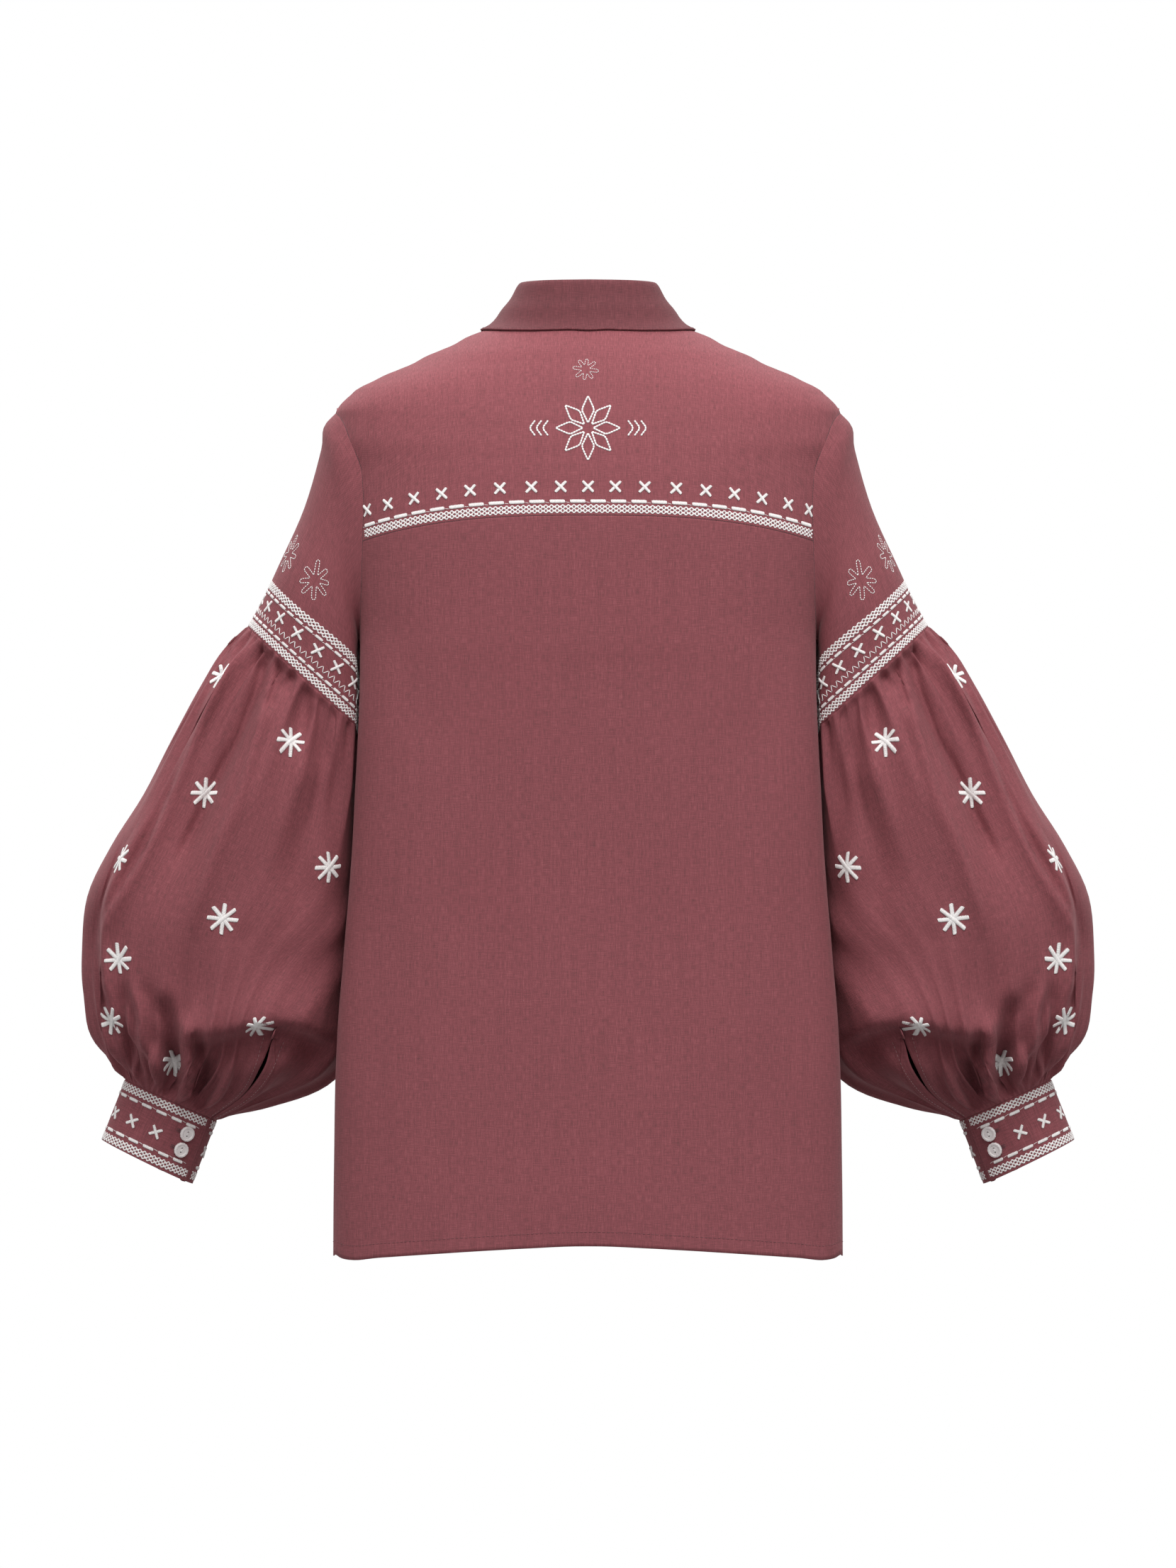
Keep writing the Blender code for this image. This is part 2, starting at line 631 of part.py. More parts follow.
def yoke_places():
    """The yoke: from the neck out to the back seam, the armholes and the front seams."""
    corner_angle = armhole(YOKE_BACK_TURN)[0]
    back_line = yoke_seam(evenly(yoke_seam, 0.0, corner_angle, BACK_HALF_CELLS, SIDE_CROWDING))
    arm_line = armhole(armhole_turns()[0][::-1])
    outer = joined(back_line, arm_line)
    inner = joined(neck(neck_stations()[0]))
    out = np.array(YOKE_ROWS)[:, None, None]
    half = outer[None] * (1.0 - out) + inner[None] * out
    seam_shift = joined(shoulder_seam()) - half[:, -1]
    near_seam = np.clip(np.arange(half.shape[1]) - BACK_HALF_CELLS, 0, None) / YOKE_ARM_CELLS
    half = half + seam_shift[:, None] * near_seam[None, :, None] ** 2
    other = half[:, :0:-1] * np.array([-1.0, 1.0])
    return np.concatenate([other, half], axis=1)


def front_places():
    """The wearer's left front: from the side to the placket, and from hem to neck."""
    side_foot = float(hem(SIDE_SEAM_ANGLE)[1])
    side = side_seam(np.linspace(side_foot, ARMHOLE_BOTTOM, SIDE_CELLS + 1))
    edge = joined(side, armhole(armhole_turns()[2]))
    stations = neck_stations()[1]
    neck_line = joined(neck(stations))
    top = np.concatenate([joined(shoulder_seam()), neck_line[1:]])
    hem_centre = float(hem(180.0)[1])
    low_angle = float(front_line(PLACKET_HALF_WIDTH, np.array(hem_centre)))
    hem_angles = evenly(hem, low_angle, SIDE_SEAM_ANGLE, len(top) - 1, SIDE_CROWDING)[::-1]
    bottom = joined(hem(hem_angles))
    heights = middle_heights(bottom[-1, 1], top[-1, 1], len(edge))
    centre = np.stack([front_line(PLACKET_HALF_WIDTH, heights), heights], axis=-1)
    centre[0], centre[-1] = bottom[-1], top[-1]
    return spread_between(bottom, top, edge, centre)


def placket_places(left_reach, right_reach, columns):
    """The strip down the centre front, with its rows at the fronts' own rows."""
    heights = front_places()[:, -1, 1]
    places = np.empty((len(heights), columns, 2))
    for column, x in enumerate(np.linspace(left_reach, -right_reach, columns)):
        places[:, column, 1] = heights
        places[:, column, 0] = front_line(x, heights)
    middle = 180.0
    places[0, :, 1] = hem(places[0, :, 0])[1]
    places[-1, :, 1] = np.interp(
        np.abs(places[-1, :, 0] - middle),
        [0.0, abs(places[-1, 0, 0] - middle)],
        [float(neck(180.0)[1]), heights[-1]],
    )
    return places


def body_grid(places):
    return torso(places[..., 0], places[..., 1]), torso_normal(places[..., 0], places[..., 1])


# ---------------------------------------------------------------- the sleeves
def ring(row, shares):
    """A sleeve ring's points at shares of its way round, from its outer side by its back."""
    turn = np.linspace(0.0, 2.0 * math.pi, 361)
    across, along = np.cos(turn), np.sin(turn)
    square = np.where(across < 0.0, row["inner_square"], 2.0)
    outer = np.array([row["outer_x"], 0.0, row["outer_z"]])
    inner = np.array([row["inner_x"], 0.0, row["inner_z"]])
    middle = (outer + inner) / 2.0 + np.array([0.0, row["centre_y"], 0.0])
    half = (outer - inner) / 2.0
    out = np.sign(across) * np.abs(across) ** (2.0 / square)
    back = np.sign(along) * np.abs(along) ** (2.0 / square)
    points = middle + out[:, None] * half
    points = points + back[:, None] * np.array([0.0, row["half_depth"], 0.0])
    covered = run_along(points)
    at = (shares % 1.0) * covered[-1]
    return np.stack([np.interp(at, covered, points[:, axis]) for axis in range(3)], axis=-1)


def ring_run(rings):
    """How far along the sleeve each ring of a table lies, from 0 to 1."""
    middles = np.array([[(r[0] + r[2]) / 2.0, r[5], (r[1] + r[3]) / 2.0] for r in rings])
    covered = run_along(middles)
    return covered / covered[-1]


def ring_at(rings, stations, station):
    """The ring table's named columns read at a station along the sleeve."""
    values = through(stations, np.array(rings), np.array([station]))[0]
    return dict(zip(RING_COLUMNS, values))


def clear_of_body(points, from_seam):
    """Sleeve points moved outwards where they would come too near the body's side."""
    clearance = np.minimum(SLEEVE_CLEARANCE, CLEARANCE_GROWS * from_seam)
    body = torso_half_width_at(points[..., 1], points[..., 2])
    under = eased((ARMHOLE_BOTTOM + 4.0 - points[..., 2]) / 8.0)
    least = body + clearance
    moved = points.copy()
    short = np.maximum(least - points[..., 0], 0.0)
    moved[..., 0] += short * under
    return moved


def upper_sleeve_grid():
    """The sleeve from the armhole down to the gathered seam."""
    yoke_part, back_part, front_part = armhole_turns()
    tip_first = np.concatenate([yoke_part, back_part[1:], front_part[1:-1]])
    loop = torso(*armhole(tip_first))
    covered = run_along(np.concatenate([loop, loop[:1]]))
    tip_at = np.interp(0.0, yoke_part, covered[: len(yoke_part)])
    loop_shares = (covered[:-1] - tip_at) / covered[-1]
    columns = len(loop)
    even_shares = (np.arange(columns) - np.argmin(np.abs(yoke_part))) / columns
    below_head = SLEEVE_HEAD_SHARE + (1.0 - SLEEVE_HEAD_SHARE) * ring_run(UPPER_RINGS)
    stations = np.concatenate([[0.0], below_head])
    rings = [loop]
    for station, values in zip(stations[1:], UPPER_RINGS):
        blend = eased(station)
        shares = loop_shares * (1.0 - blend) + even_shares * blend
        rings.append(ring(dict(zip(RING_COLUMNS, values)), shares))
    grid = through(stations, np.array(rings), np.array(UPPER_ROWS))
    at_tip = np.clip(np.cos(2.0 * math.pi * even_shares), 0.0, 1.0)[:, None]
    grid[1] += grid_normals(grid, wrap=True)[1] * at_tip * SLEEVE_HEAD_LIFT
    from_seam = np.linalg.norm(grid - grid[:1], axis=-1)
    grid = clear_of_body(grid, from_seam)
    return grid, even_shares


def gather_heights(rows, columns):
    """How far each point of the lower sleeve stands out for its gathers."""
    order = np.arange(columns)
    shape = np.array(GATHER_SHAPE)[order % len(GATHER_SHAPE)]
    count = order // len(GATHER_SHAPE)
    uneven = 1.0 + GATHER_UNEVENNESS * np.sin(2.4 * count) * np.cos(0.9 * count + 1.0)
    table = np.array(GATHER_ROWS)
    size = through(table[:, 0], table[:, 1], rows)
    return size[:, None] * (shape * uneven)[None, :]


def fold_heights(rows, shares):
    """How far each point stands out for the soft folds of the puff."""
    total = np.zeros(shares.shape)
    for fold in PUFF_FOLDS:
        named = dict(zip(PUFF_FOLD_COLUMNS, fold))
        span = named["to_row"] - named["from_row"]
        along = (rows - named["from_row"]) / span
        centre = named["from_round"] + (named["to_round"] - named["from_round"]) * along
        fade = eased(along * 3.0) * eased((1.0 - along) * 3.0)
        off = (shares - centre[:, None] + 0.5) % 1.0 - 0.5
        across = np.exp(-((off / named["half_width"]) ** 2))
        total += named["height"] * across * fade[:, None]
    return total


def slit_shares(shares, row, length_round):
    """The columns' shares round the sleeve at a row, parted at the opening above the cuff."""
    if row < SLIT[0][0] - 1e-6:
        lead = eased((row - 0.3) / (SLIT[0][0] - 0.3))
        middle = SLIT[0][1]
        width = None
    else:
        at = columns_of(SLIT_COLUMNS, SLIT, np.array([row]))
        lead = 1.0
        middle = float(at["round"][0])
        width = float(at["width"][0])
    start = (shares[SLIT_COLUMN] + shares[SLIT_COLUMN + 1]) / 2.0
    order = np.arange(len(shares))
    near = np.exp(-(((order - SLIT_COLUMN - 0.5) / SLIT_SPREAD) ** 2))
    moved = shares + (middle - start) * lead * near
    if width is not None:
        moved[SLIT_COLUMN] = middle - width / 2.0 / length_round
        moved[SLIT_COLUMN + 1] = middle + width / 2.0 / length_round
    return moved


def doubled(ring_points):
    """A ring with a point added halfway along each of its straight sides."""
    halfway = (ring_points + np.roll(ring_points, -1, axis=0)) / 2.0
    return np.stack([ring_points, halfway], axis=1).reshape(-1, 3)


def lower_sleeve_grid(top_ring, cuff_ring, even_shares):
    """The full, gathered part of the sleeve, from the gathered seam to the cuff."""
    rows = np.array(LOWER_ROWS)
    stations = ring_run(LOWER_RINGS)
    step = 1.0 / (2 * len(even_shares))
    shares = np.stack([even_shares, even_shares + step], axis=1).reshape(-1)
    first = int(np.argmin(np.abs(shares)))
    shares = np.roll(shares, -first) % 1.0
    shares[0] = 0.0
    grid = np.empty((len(rows), len(shares), 3))
    row_shares = np.empty(grid.shape[:2])
    for index, row in enumerate(rows):
        named = ring_at(LOWER_RINGS, stations, row)
        length_round = run_along(ring(named, np.linspace(0.0, 0.999, 90)))[-1]
        row_shares[index] = slit_shares(shares, row, length_round)
        grid[index] = ring(named, row_shares[index])
    grid[0] = np.roll(doubled(top_ring), -first, axis=0)
    grid[-1] = doubled(cuff_ring)
    outward = grid_normals(grid, wrap=True)
    heights = gather_heights(rows, len(shares)) + fold_heights(rows, row_shares)
    heights[[0, -1]] = 0.0
    heights[SLIT_FIRST_ROW:, SLIT_COLUMN - 1 : SLIT_COLUMN + 3] *= SLIT_CALM
    grid = grid + outward * heights[..., None]
    far = np.full(grid.shape[:2], 100.0)
    inner_rows = clear_of_body(grid, far)
    grid[1:-1] = inner_rows[1:-1]
    return grid, first


def build_sleeves(shells):
    """The left sleeve and cuff, and the same cloth mirrored for the right."""
    for name, (outer, inner, wrap, missing) in shells.items():
        left = cloth_object(f"{name}_left", outer, inner, wrap, frozenset(missing))
        mirrored_object(f"{name}_right", left)


def sleeve_shells(body_normals, upper, even_shares):
    """The walls of the upper sleeve, the lower sleeve, its binding and the cuff."""
    cuff_top = dict(zip(RING_COLUMNS, CUFF_RINGS[0]))
    cuff_bottom = dict(zip(RING_COLUMNS, CUFF_RINGS[1]))
    columns = len(even_shares)
    cuff_shares = np.arange(columns) / columns
    cuff_ring = ring(cuff_top, cuff_shares)
    lower, first = lower_sleeve_grid(upper[-1], cuff_ring, even_shares)

    upper_normals = grid_normals(upper, wrap=True)
    lower_normals = grid_normals(lower, wrap=True)
    lower_normals[0] = unit(np.cross(lower[1] - lower[0], np.roll(lower[0], -1, 0) - lower[0]))
    seam_normals = np.roll(lower_normals[0], first, axis=0)[::2]

    _, arm_inward, arm_across = mitre(upper[0], body_normals, upper_normals[0], True)
    away = np.sign(np.sum(arm_across * (upper[1] - upper[0]), axis=-1, keepdims=True))
    upper_outer = upper.copy()
    upper_outer[0] += arm_across * away * SEAM_GAP / 2.0
    upper_inward = -upper_normals
    upper_inward[0] = arm_inward

    top_inward, low_inward, across = mitre(upper[-1], upper_normals[-1], seam_normals, True)
    back_up = np.sign(np.sum(across * (upper[-2] - upper[-1]), axis=-1, keepdims=True))
    upper_outer[-1] += across * back_up * SEAM_GAP / 2.0
    upper_inward[-1] = top_inward
    lower_outer = lower.copy()
    lower_outer[0] = np.roll(doubled(upper[-1] - across * back_up * SEAM_GAP / 2.0), -first, 0)
    lower_inward = -lower_normals
    lower_inward[0] = unit(np.roll(doubled(low_inward), -first, axis=0))

    cuff_normals = grid_normals(np.stack([cuff_ring, ring(cuff_bottom, cuff_shares)]), True)[0]
    end_inward, _, cuff_across = mitre(cuff_ring, lower_normals[-1][::2], cuff_normals, True)
    upward = np.sign(np.sum(cuff_across * (lower[-2][::2] - cuff_ring), -1, keepdims=True))
    lower_outer[-1] = doubled(cuff_ring + cuff_across * upward * SEAM_GAP / 2.0)
    lower_inward[-1] = unit(doubled(end_inward))

    missing = {(row, SLIT_COLUMN) for row in range(SLIT_FIRST_ROW, len(LOWER_ROWS) - 1)}
    return {
        "sleeve_upper": (upper_outer, upper_outer + upper_inward * CLOTH, True, set()),
        "sleeve_lower": (lower_outer, lower_outer + lower_inward * CLOTH, True, missing),
        "sleeve_binding": binding_shell(lower_outer, lower_normals),
        "cuff": cuff_shell(cuff_top, cuff_bottom, columns),
    }


def binding_shell(lower_outer, lower_normals):
    """The strip that binds the inner side of the opening, lying on the sleeve."""
    rows = slice(SLIT_FIRST_ROW, len(LOWER_ROWS) - 1)
    edge = lower_outer[rows, SLIT_COLUMN + 1]
    edge_normals = lower_normals[rows, SLIT_COLUMN + 1]
    next_points = lower_outer[rows, SLIT_COLUMN + 2]
    next_normals = lower_normals[rows, SLIT_COLUMN + 2]
    after_points = lower_outer[rows, SLIT_COLUMN + 3]
    after_normals = lower_normals[rows, SLIT_COLUMN + 3]
    first_step = np.linalg.norm(next_points - edge, axis=-1)
    second_step = np.linalg.norm(after_points - next_points, axis=-1)
    bed = []
    lift = []
    for width in (0.6, BINDING_WIDTH / 2.0, BINDING_WIDTH):
        beyond = np.clip((width - first_step) / second_step, 0.0, 1.0)[:, None]
        near = np.clip(width / first_step, 0.0, 1.0)[:, None]
        inside = edge * (1.0 - near) + next_points * near
        outside = next_points * (1.0 - beyond) + after_points * beyond
        past = (width > first_step)[:, None]
        bed.append(np.where(past, outside, inside))
        lift.append(unit(edge_normals * (1.0 - near) + next_normals * near + after_normals * beyond))
    bed, lift = np.stack(bed, axis=1), np.stack(lift, axis=1)
    bed_clear = bed + lift * (SEAM_GAP + 0.25)
    return bed_clear + lift * BINDING_CLOTH, bed_clear, False, set()


def cuff_shell(top, bottom, columns):
    """The cuff: a band whose end laps over its beginning."""
    start = CUFF_END_COLUMN - CUFF_LAP_COLUMNS
    order = np.arange(start, start + columns + CUFF_LAP_COLUMNS + 1)
    from_lap = (order - CUFF_END_COLUMN) / CUFF_RAMP_COLUMNS
    depth = (CLOTH + OVERLAP_GAP) * (1.0 - np.clip(from_lap, 0.0, 1.0))
    shares = order / columns
    top_ring, bottom_ring = ring(top, shares), ring(bottom, shares)
    down = np.linspace(0.0, 1.0, CUFF_CELLS + 1)[:, None, None]
    grid = top_ring[None] * (1.0 - down) + bottom_ring[None] * down
    normals = grid_normals(grid, wrap=False)
    grid = grid - normals * depth[None, :, None]
    fall = unit(grid[-1] - grid[0])
    grid[0] += fall * SEAM_GAP / 2.0
    return grid, grid - normals * CLOTH, False, set()


# ---------------------------------------------------------------- the collar
def outward_from_roll(stations):
    """Level directions square to the collar's fold line, away from the neck."""
    step = 1.0
    ahead = roll_line(stations + step)
    behind = roll_line(stations - step)
    run = unit((ahead - behind) * np.array([1.0, 1.0, 0.0]))
    return np.stack([-run[:, 1], run[:, 0], np.zeros(len(run))], axis=-1)


def roll_line(stations):
    """The collar's fold line, the same on both sides of the centre back."""
    turned = (np.asarray(stations, float) + 180.0) % 360.0 - 180.0
    table = columns_of(ROLL_COLUMNS, ROLL, np.abs(turned))
    return np.stack([table["x"] * np.sign(turned), table["y"], table["z"]], axis=-1)


def fold_point(stations, outward, down):
    """A point of the collar's section near its fold line."""
    return roll_line(stations) + outward_from_roll(stations) * outward - np.array([0.0, 0.0, down])


def collar_stand_grid():
    """The band that stands up from the neck seam; it laps the placket's width in front."""
    yoke_part, front_part = neck_stations()
    half = np.concatenate([yoke_part, front_part[1:]])
    left_end = half[-1]
    stations = np.concatenate([[left_end - 360.0, -180.0], -half[::-1], half[1:]])
    bottom = torso(*neck(stations))
    top = fold_point(stations, FOLD[0][0] + COLLAR_CLOTH, FOLD[0][1] + BAND_TOP_GAP)
    rise = np.linspace(0.0, 1.0, STAND_CELLS + 1)[:, None, None]
    return bottom[None] * (1.0 - rise) + top[None] * rise, stations


def lifted_off_body(points):
    """Points of the leaf moved out where they would come too near the yoke or the fronts."""
    angle, height = torso_at(points[:, 0], points[:, 1])
    outward = torso_normal(angle, height)
    off = (points[:, 2] - height) * outward[:, 2]
    short = np.maximum(LEAF_LEAST_OFF - off, 0.0)
    return points + outward * short[:, None]


def collar_leaf_grid():
    """The leaf: up from the band, over the fold and down to its free edge."""
    yoke_part, front_part = neck_stations()
    half = np.concatenate([yoke_part[::2], front_part[1:], [LEAF_STATION_END]])
    stations = np.concatenate([half[::-1], -half[1:]])
    rows = [fold_point(stations, outward, down) for outward, down in FOLD]
    edge_table = columns_of(LEAF_EDGE_COLUMNS, LEAF_EDGE, np.abs(stations))
    angle, height = torso_at(edge_table["x"] * np.sign(stations), edge_table["y"])
    edge = torso(angle, height)
    edge = edge + torso_normal(angle, height) * edge_table["stand_off"][:, None]
    start = rows[-1]
    for index in range(1, LEAF_FALL_CELLS + 1):
        share = index / LEAF_FALL_CELLS
        level = share ** LEAF_FLARE
        plan = start * (1.0 - level) + edge * level
        plan[:, 2] = start[:, 2] * (1.0 - share) + edge[:, 2] * share
        rows.append(lifted_off_body(plan))
    return np.stack(rows)


# ---------------------------------------------------------------- the buttons
def button_profile():
    """Half the section of a button, from its axis at the back round to its dished face."""
    top = BUTTON_THICKNESS
    return (
        (0.0, 0.0),
        (BUTTON_RADIUS, 0.0),
        (BUTTON_RADIUS, top - BUTTON_EDGE),
        (BUTTON_RADIUS - BUTTON_EDGE, top),
        (BUTTON_DISH_RADIUS + BUTTON_DISH_DEPTH, top),
        (BUTTON_DISH_RADIUS, top - BUTTON_DISH_DEPTH),
        (0.0, top - BUTTON_DISH_DEPTH),
    )


def button_mesh():
    """A dished disc with two holes, its back on its own origin and its face up its Z."""
    built = bmesh.new()
    line = [built.verts.new((r * MM, 0.0, z * MM)) for r, z in button_profile()]
    for start, end in zip(line, line[1:]):
        built.edges.new((start, end))
    bmesh.ops.spin(
        built,
        geom=list(built.verts) + list(built.edges),
        axis=(0.0, 0.0, 1.0),
        cent=(0.0, 0.0, 0.0),
        angle=2.0 * math.pi,
        steps=BUTTON_SIDES,
        use_merge=True,
    )
    bmesh.ops.remove_doubles(built, verts=built.verts, dist=0.00001)
    bmesh.ops.recalc_face_normals(built, faces=built.faces)
    turned = mesh_object("button_blank", built, "shell")
    for side in (-1.0, 1.0):
        hole = bmesh.new()
        bmesh.ops.create_cone(
            hole,
            cap_ends=True,
            segments=HOLE_SIDES,
            radius1=BUTTON_HOLE_RADIUS * MM,
            radius2=BUTTON_HOLE_RADIUS * MM,
            depth=4.0 * BUTTON_THICKNESS * MM,
        )
        bmesh.ops.translate(hole, verts=hole.verts, vec=(side * BUTTON_HOLE_OFFSET * MM, 0.0, 0.0))
        cutter = mesh_object("hole_cutter", hole, "shell")
        bpy.data.collections["vyshyvanka_shirt"].objects.unlink(cutter)
        bpy.data.collections["cutters"].objects.link(cutter)
        cutter.hide_render = True
        cutter.display_type = "WIRE"
        cut = turned.modifiers.new("hole", "BOOLEAN")
        cut.operation = "DIFFERENCE"
        cut.solver = "EXACT"
        cut.object = cutter
    bpy.context.view_layer.update()
    graph = bpy.context.evaluated_depsgraph_get()
    finished = bpy.data.meshes.new_from_object(turned.evaluated_get(graph))
    finished.name = "button"
    bpy.data.objects.remove(turned, do_unlink=True)
    for cutter in list(bpy.data.collections["cutters"].objects):
        bpy.data.objects.remove(cutter, do_unlink=True)
    return finished


def place_button(name, mesh, point, outward, holes_along):
    """A button on a cloth: its back just off a point, its holes in line with a direction."""
    face = unit(np.asarray(outward, float))
    line = unit(holes_along - face * np.dot(holes_along, face))
    other = np.cross(face, line)
    made = bpy.data.objects.new(name, mesh)
    axes = np.stack([line, other, face], axis=1)
    made.rotation_euler = Matrix(axes.tolist()).to_euler()
    made.location = Vector((np.asarray(point) + face * BUTTON_GAP) * MM)
    bpy.data.collections["vyshyvanka_shirt"].objects.link(made)


# ---------------------------------------------------------------- assembly
def build_body(sleeve_loop, sleeve_normals, stand_bottom, stand_normals, stand_stations):
    """The back, the yoke, the fronts and the plackets, each meeting its neighbours."""
    yoke_turns, back_turns, front_turns = armhole_turns()
    loop_normals = torso_normal(*armhole(np.concatenate(
        [yoke_turns, back_turns[1:], front_turns[1:-1]]
    )))
    inward, _, across = mitre(sleeve_loop, loop_normals, sleeve_normals, True)
    to_body = np.sign(np.sum(across * loop_into_body(sleeve_loop), axis=-1, keepdims=True))
    shift = across * to_body * SEAM_GAP / 2.0
    columns = len(sleeve_loop)
    first_back = YOKE_ARM_CELLS
    first_front = first_back + BACK_ARM_CELLS
    yoke_index = np.arange(0, first_back + 1)
    back_index = np.arange(first_back, first_front + 1)
    front_index = np.arange(first_front, columns + 1) % columns

    neck_inward, _, neck_across = mitre(stand_bottom, neck_body_normals(stand_stations),
                                        stand_normals, False)
    down = np.sign(neck_across[:, 2:3] * -1.0)
    neck_shift = neck_across * down * SEAM_GAP / 2.0

    def at_stations(wanted):
        index = [int(np.argmin(np.abs(stand_stations - value))) for value in wanted]
        return neck_inward[index], neck_shift[index]

    yoke_part, front_part = neck_stations()

    points, normals = body_grid(back_places())
    outer = drawn_back(points, normals, ("last_row",))
    outer[: SIDE_CELLS + 1] = side_drawn_back(points, normals, outer)[: SIDE_CELLS + 1]
    wall = -normals
    up_back = back_index[::-1]
    flip = np.array([-1.0, 1.0, 1.0])
    outer[SIDE_CELLS:, -1] += shift[up_back]
    outer[SIDE_CELLS:, 0] += shift[up_back] * flip
    wall[SIDE_CELLS:, -1] = inward[up_back]
    wall[SIDE_CELLS:, 0] = inward[up_back] * flip
    cloth_object("back", outer, outer + wall * CLOTH)

    points, normals = body_grid(yoke_places())
    outer = points.copy()
    wall = -normals
    middle = BACK_HALF_CELLS + YOKE_ARM_CELLS
    seam = slice(middle - BACK_HALF_CELLS, middle + BACK_HALF_CELLS + 1)
    aside = edge_aside(points[0, seam], normals[0, seam], points[1, seam])
    outer[0, seam] += aside * SEAM_GAP / 2.0
    outer = outer + drawn_back(points, normals, ("first_column", "last_column")) - points
    arm = slice(middle + BACK_HALF_CELLS, None)
    other_arm = slice(0, middle - BACK_HALF_CELLS + 1)
    outer[0, arm] += shift[yoke_index[::-1]]
    outer[0, other_arm] += shift[yoke_index] * flip
    wall[0, arm] = inward[yoke_index[::-1]]
    wall[0, other_arm] = inward[yoke_index] * flip
    all_yoke = np.concatenate([-yoke_part[:0:-1], yoke_part])
    wall[-1], neck_moves = at_stations(all_yoke)
    outer[-1] += neck_moves
    cloth_object("back_yoke", outer, outer + wall * CLOTH)

    points, normals = body_grid(front_places())
    outer = drawn_back(points, normals, ("last_column",))
    side_rows = slice(0, SIDE_CELLS + 1)
    aside = edge_aside(points[side_rows, 0], normals[side_rows, 0], points[side_rows, 1])
    outer[side_rows, 0] += aside * SEAM_GAP / 2.0
    neck_corner = len(YOKE_ROWS) - 1
    seam = slice(0, neck_corner + 1)
    aside = edge_aside(points[-1, seam], normals[-1, seam], points[-2, seam])
    outer[-1, seam] += aside * SEAM_GAP / 2.0
    wall = -normals
    outer[SIDE_CELLS:, 0] += shift[front_index]
    wall[SIDE_CELLS:, 0] = inward[front_index]
    wall[-1, neck_corner:], neck_moves = at_stations(front_part)
    outer[-1, neck_corner:] += neck_moves
    left = cloth_object("front_left", outer, outer + wall * CLOTH)
    mirrored_object("front_right", left)

    points, normals = body_grid(placket_places(PLACKET_HALF_WIDTH, PLACKET_HALF_WIDTH, 3))
    outer = drawn_back(points, normals, ("first_column", "last_column"))
    wall = -normals
    ends = (-front_part[-1], -180.0, front_part[-1] - 360.0)
    neck_walls, neck_moves = at_stations(ends)
    wall[-1], neck_moves = neck_walls[::-1], neck_moves[::-1]
    outer[-1] += neck_moves
    cloth_object("placket_over", outer, outer + wall * CLOTH)

    points, normals = body_grid(placket_places(UNDER_PLACKET_REACH, PLACKET_HALF_WIDTH, 3))
    outer = points - normals * (CLOTH + OVERLAP_GAP)
    outer[-1, :, 2] -= UNDER_PLACKET_DROP
    cloth_object("placket_under", outer, outer - normals * CLOTH)


def side_drawn_back(points, normals, outer):
    """The back's side seams drawn back below the underarms."""
    moved = outer.copy()
    rows = slice(0, SIDE_CELLS + 1)
    for edge, inside in ((0, 1), (-1, -2)):
        aside = edge_aside(points[rows, edge], normals[rows, edge], points[rows, inside])
        moved[rows, edge] += aside * SEAM_GAP / 2.0
    return moved


def loop_into_body(loop):
    """Rough directions from the armhole into the body's cloth: away from the hole's middle."""
    return loop - loop.mean(axis=0) + np.array([-60.0, 0.0, 0.0])


def neck_body_normals(stations):
    return torso_normal(*neck(stations))


def build_collar(stand, stand_normals, body_normals):
    """The collar band and the leaf."""
    _, inward, across = mitre(stand[0], body_normals, stand_normals[0], False)
    up = np.sign(across[:, 2:3])
    outer = drawn_back(stand, stand_normals, ("first_column", "last_column"))
    outer[0] += across * up * SEAM_GAP / 2.0
    wall = -stand_normals
    wall[0] = inward
    cloth_object("collar_band", outer, outer + wall * COLLAR_CLOTH)

    leaf = collar_leaf_grid()
    normals = grid_normals(leaf, wrap=False)
    cloth_object("collar_leaf", leaf, leaf - normals * COLLAR_CLOTH)


def build_buttons():
    """Buttons down the placket, on the collar band and on each cuff."""
    mesh = button_mesh()
    upright = np.array([0.0, 0.0, 1.0])
    for index in range(PLACKET_BUTTONS):
        height = PLACKET_BUTTON_TOP - PLACKET_BUTTON_PITCH * index
        point = torso(180.0, height)
        outward = torso_normal(180.0, height)
        place_button(f"button_front_{index + 1}", mesh, point, outward, upright)
    stations = np.array([180.0])
    low = torso(*neck(stations))[0]
    top = fold_point(stations, FOLD[0][0] + COLLAR_CLOTH, FOLD[0][1])[0]
    along = top - low
    outward = np.array([0.0, -along[2], along[1]])
    place_button("button_collar", mesh, (low + top) / 2.0, outward, along)
    top_row = dict(zip(RING_COLUMNS, CUFF_RINGS[0]))
    bottom_row = dict(zip(RING_COLUMNS, CUFF_RINGS[1]))
    step = 0.01
    for index, row in enumerate(CUFF_BUTTON_ROWS):
        shares = np.array([CUFF_BUTTON_ROUND - step, CUFF_BUTTON_ROUND, CUFF_BUTTON_ROUND + step])
        high, low = ring(top_row, shares), ring(bottom_row, shares)
        line = high * (1.0 - row) + low * row
        down = low[1] - high[1]
        outward = unit(np.cross(down, line[2] - line[0]))
        for side, flip in (("left", 1.0), ("right", -1.0)):
            turn = np.array([flip, 1.0, 1.0])
            place_button(
                f"button_cuff_{side}_{index + 1}", mesh, line[1] * turn, outward * turn, down * turn
            )


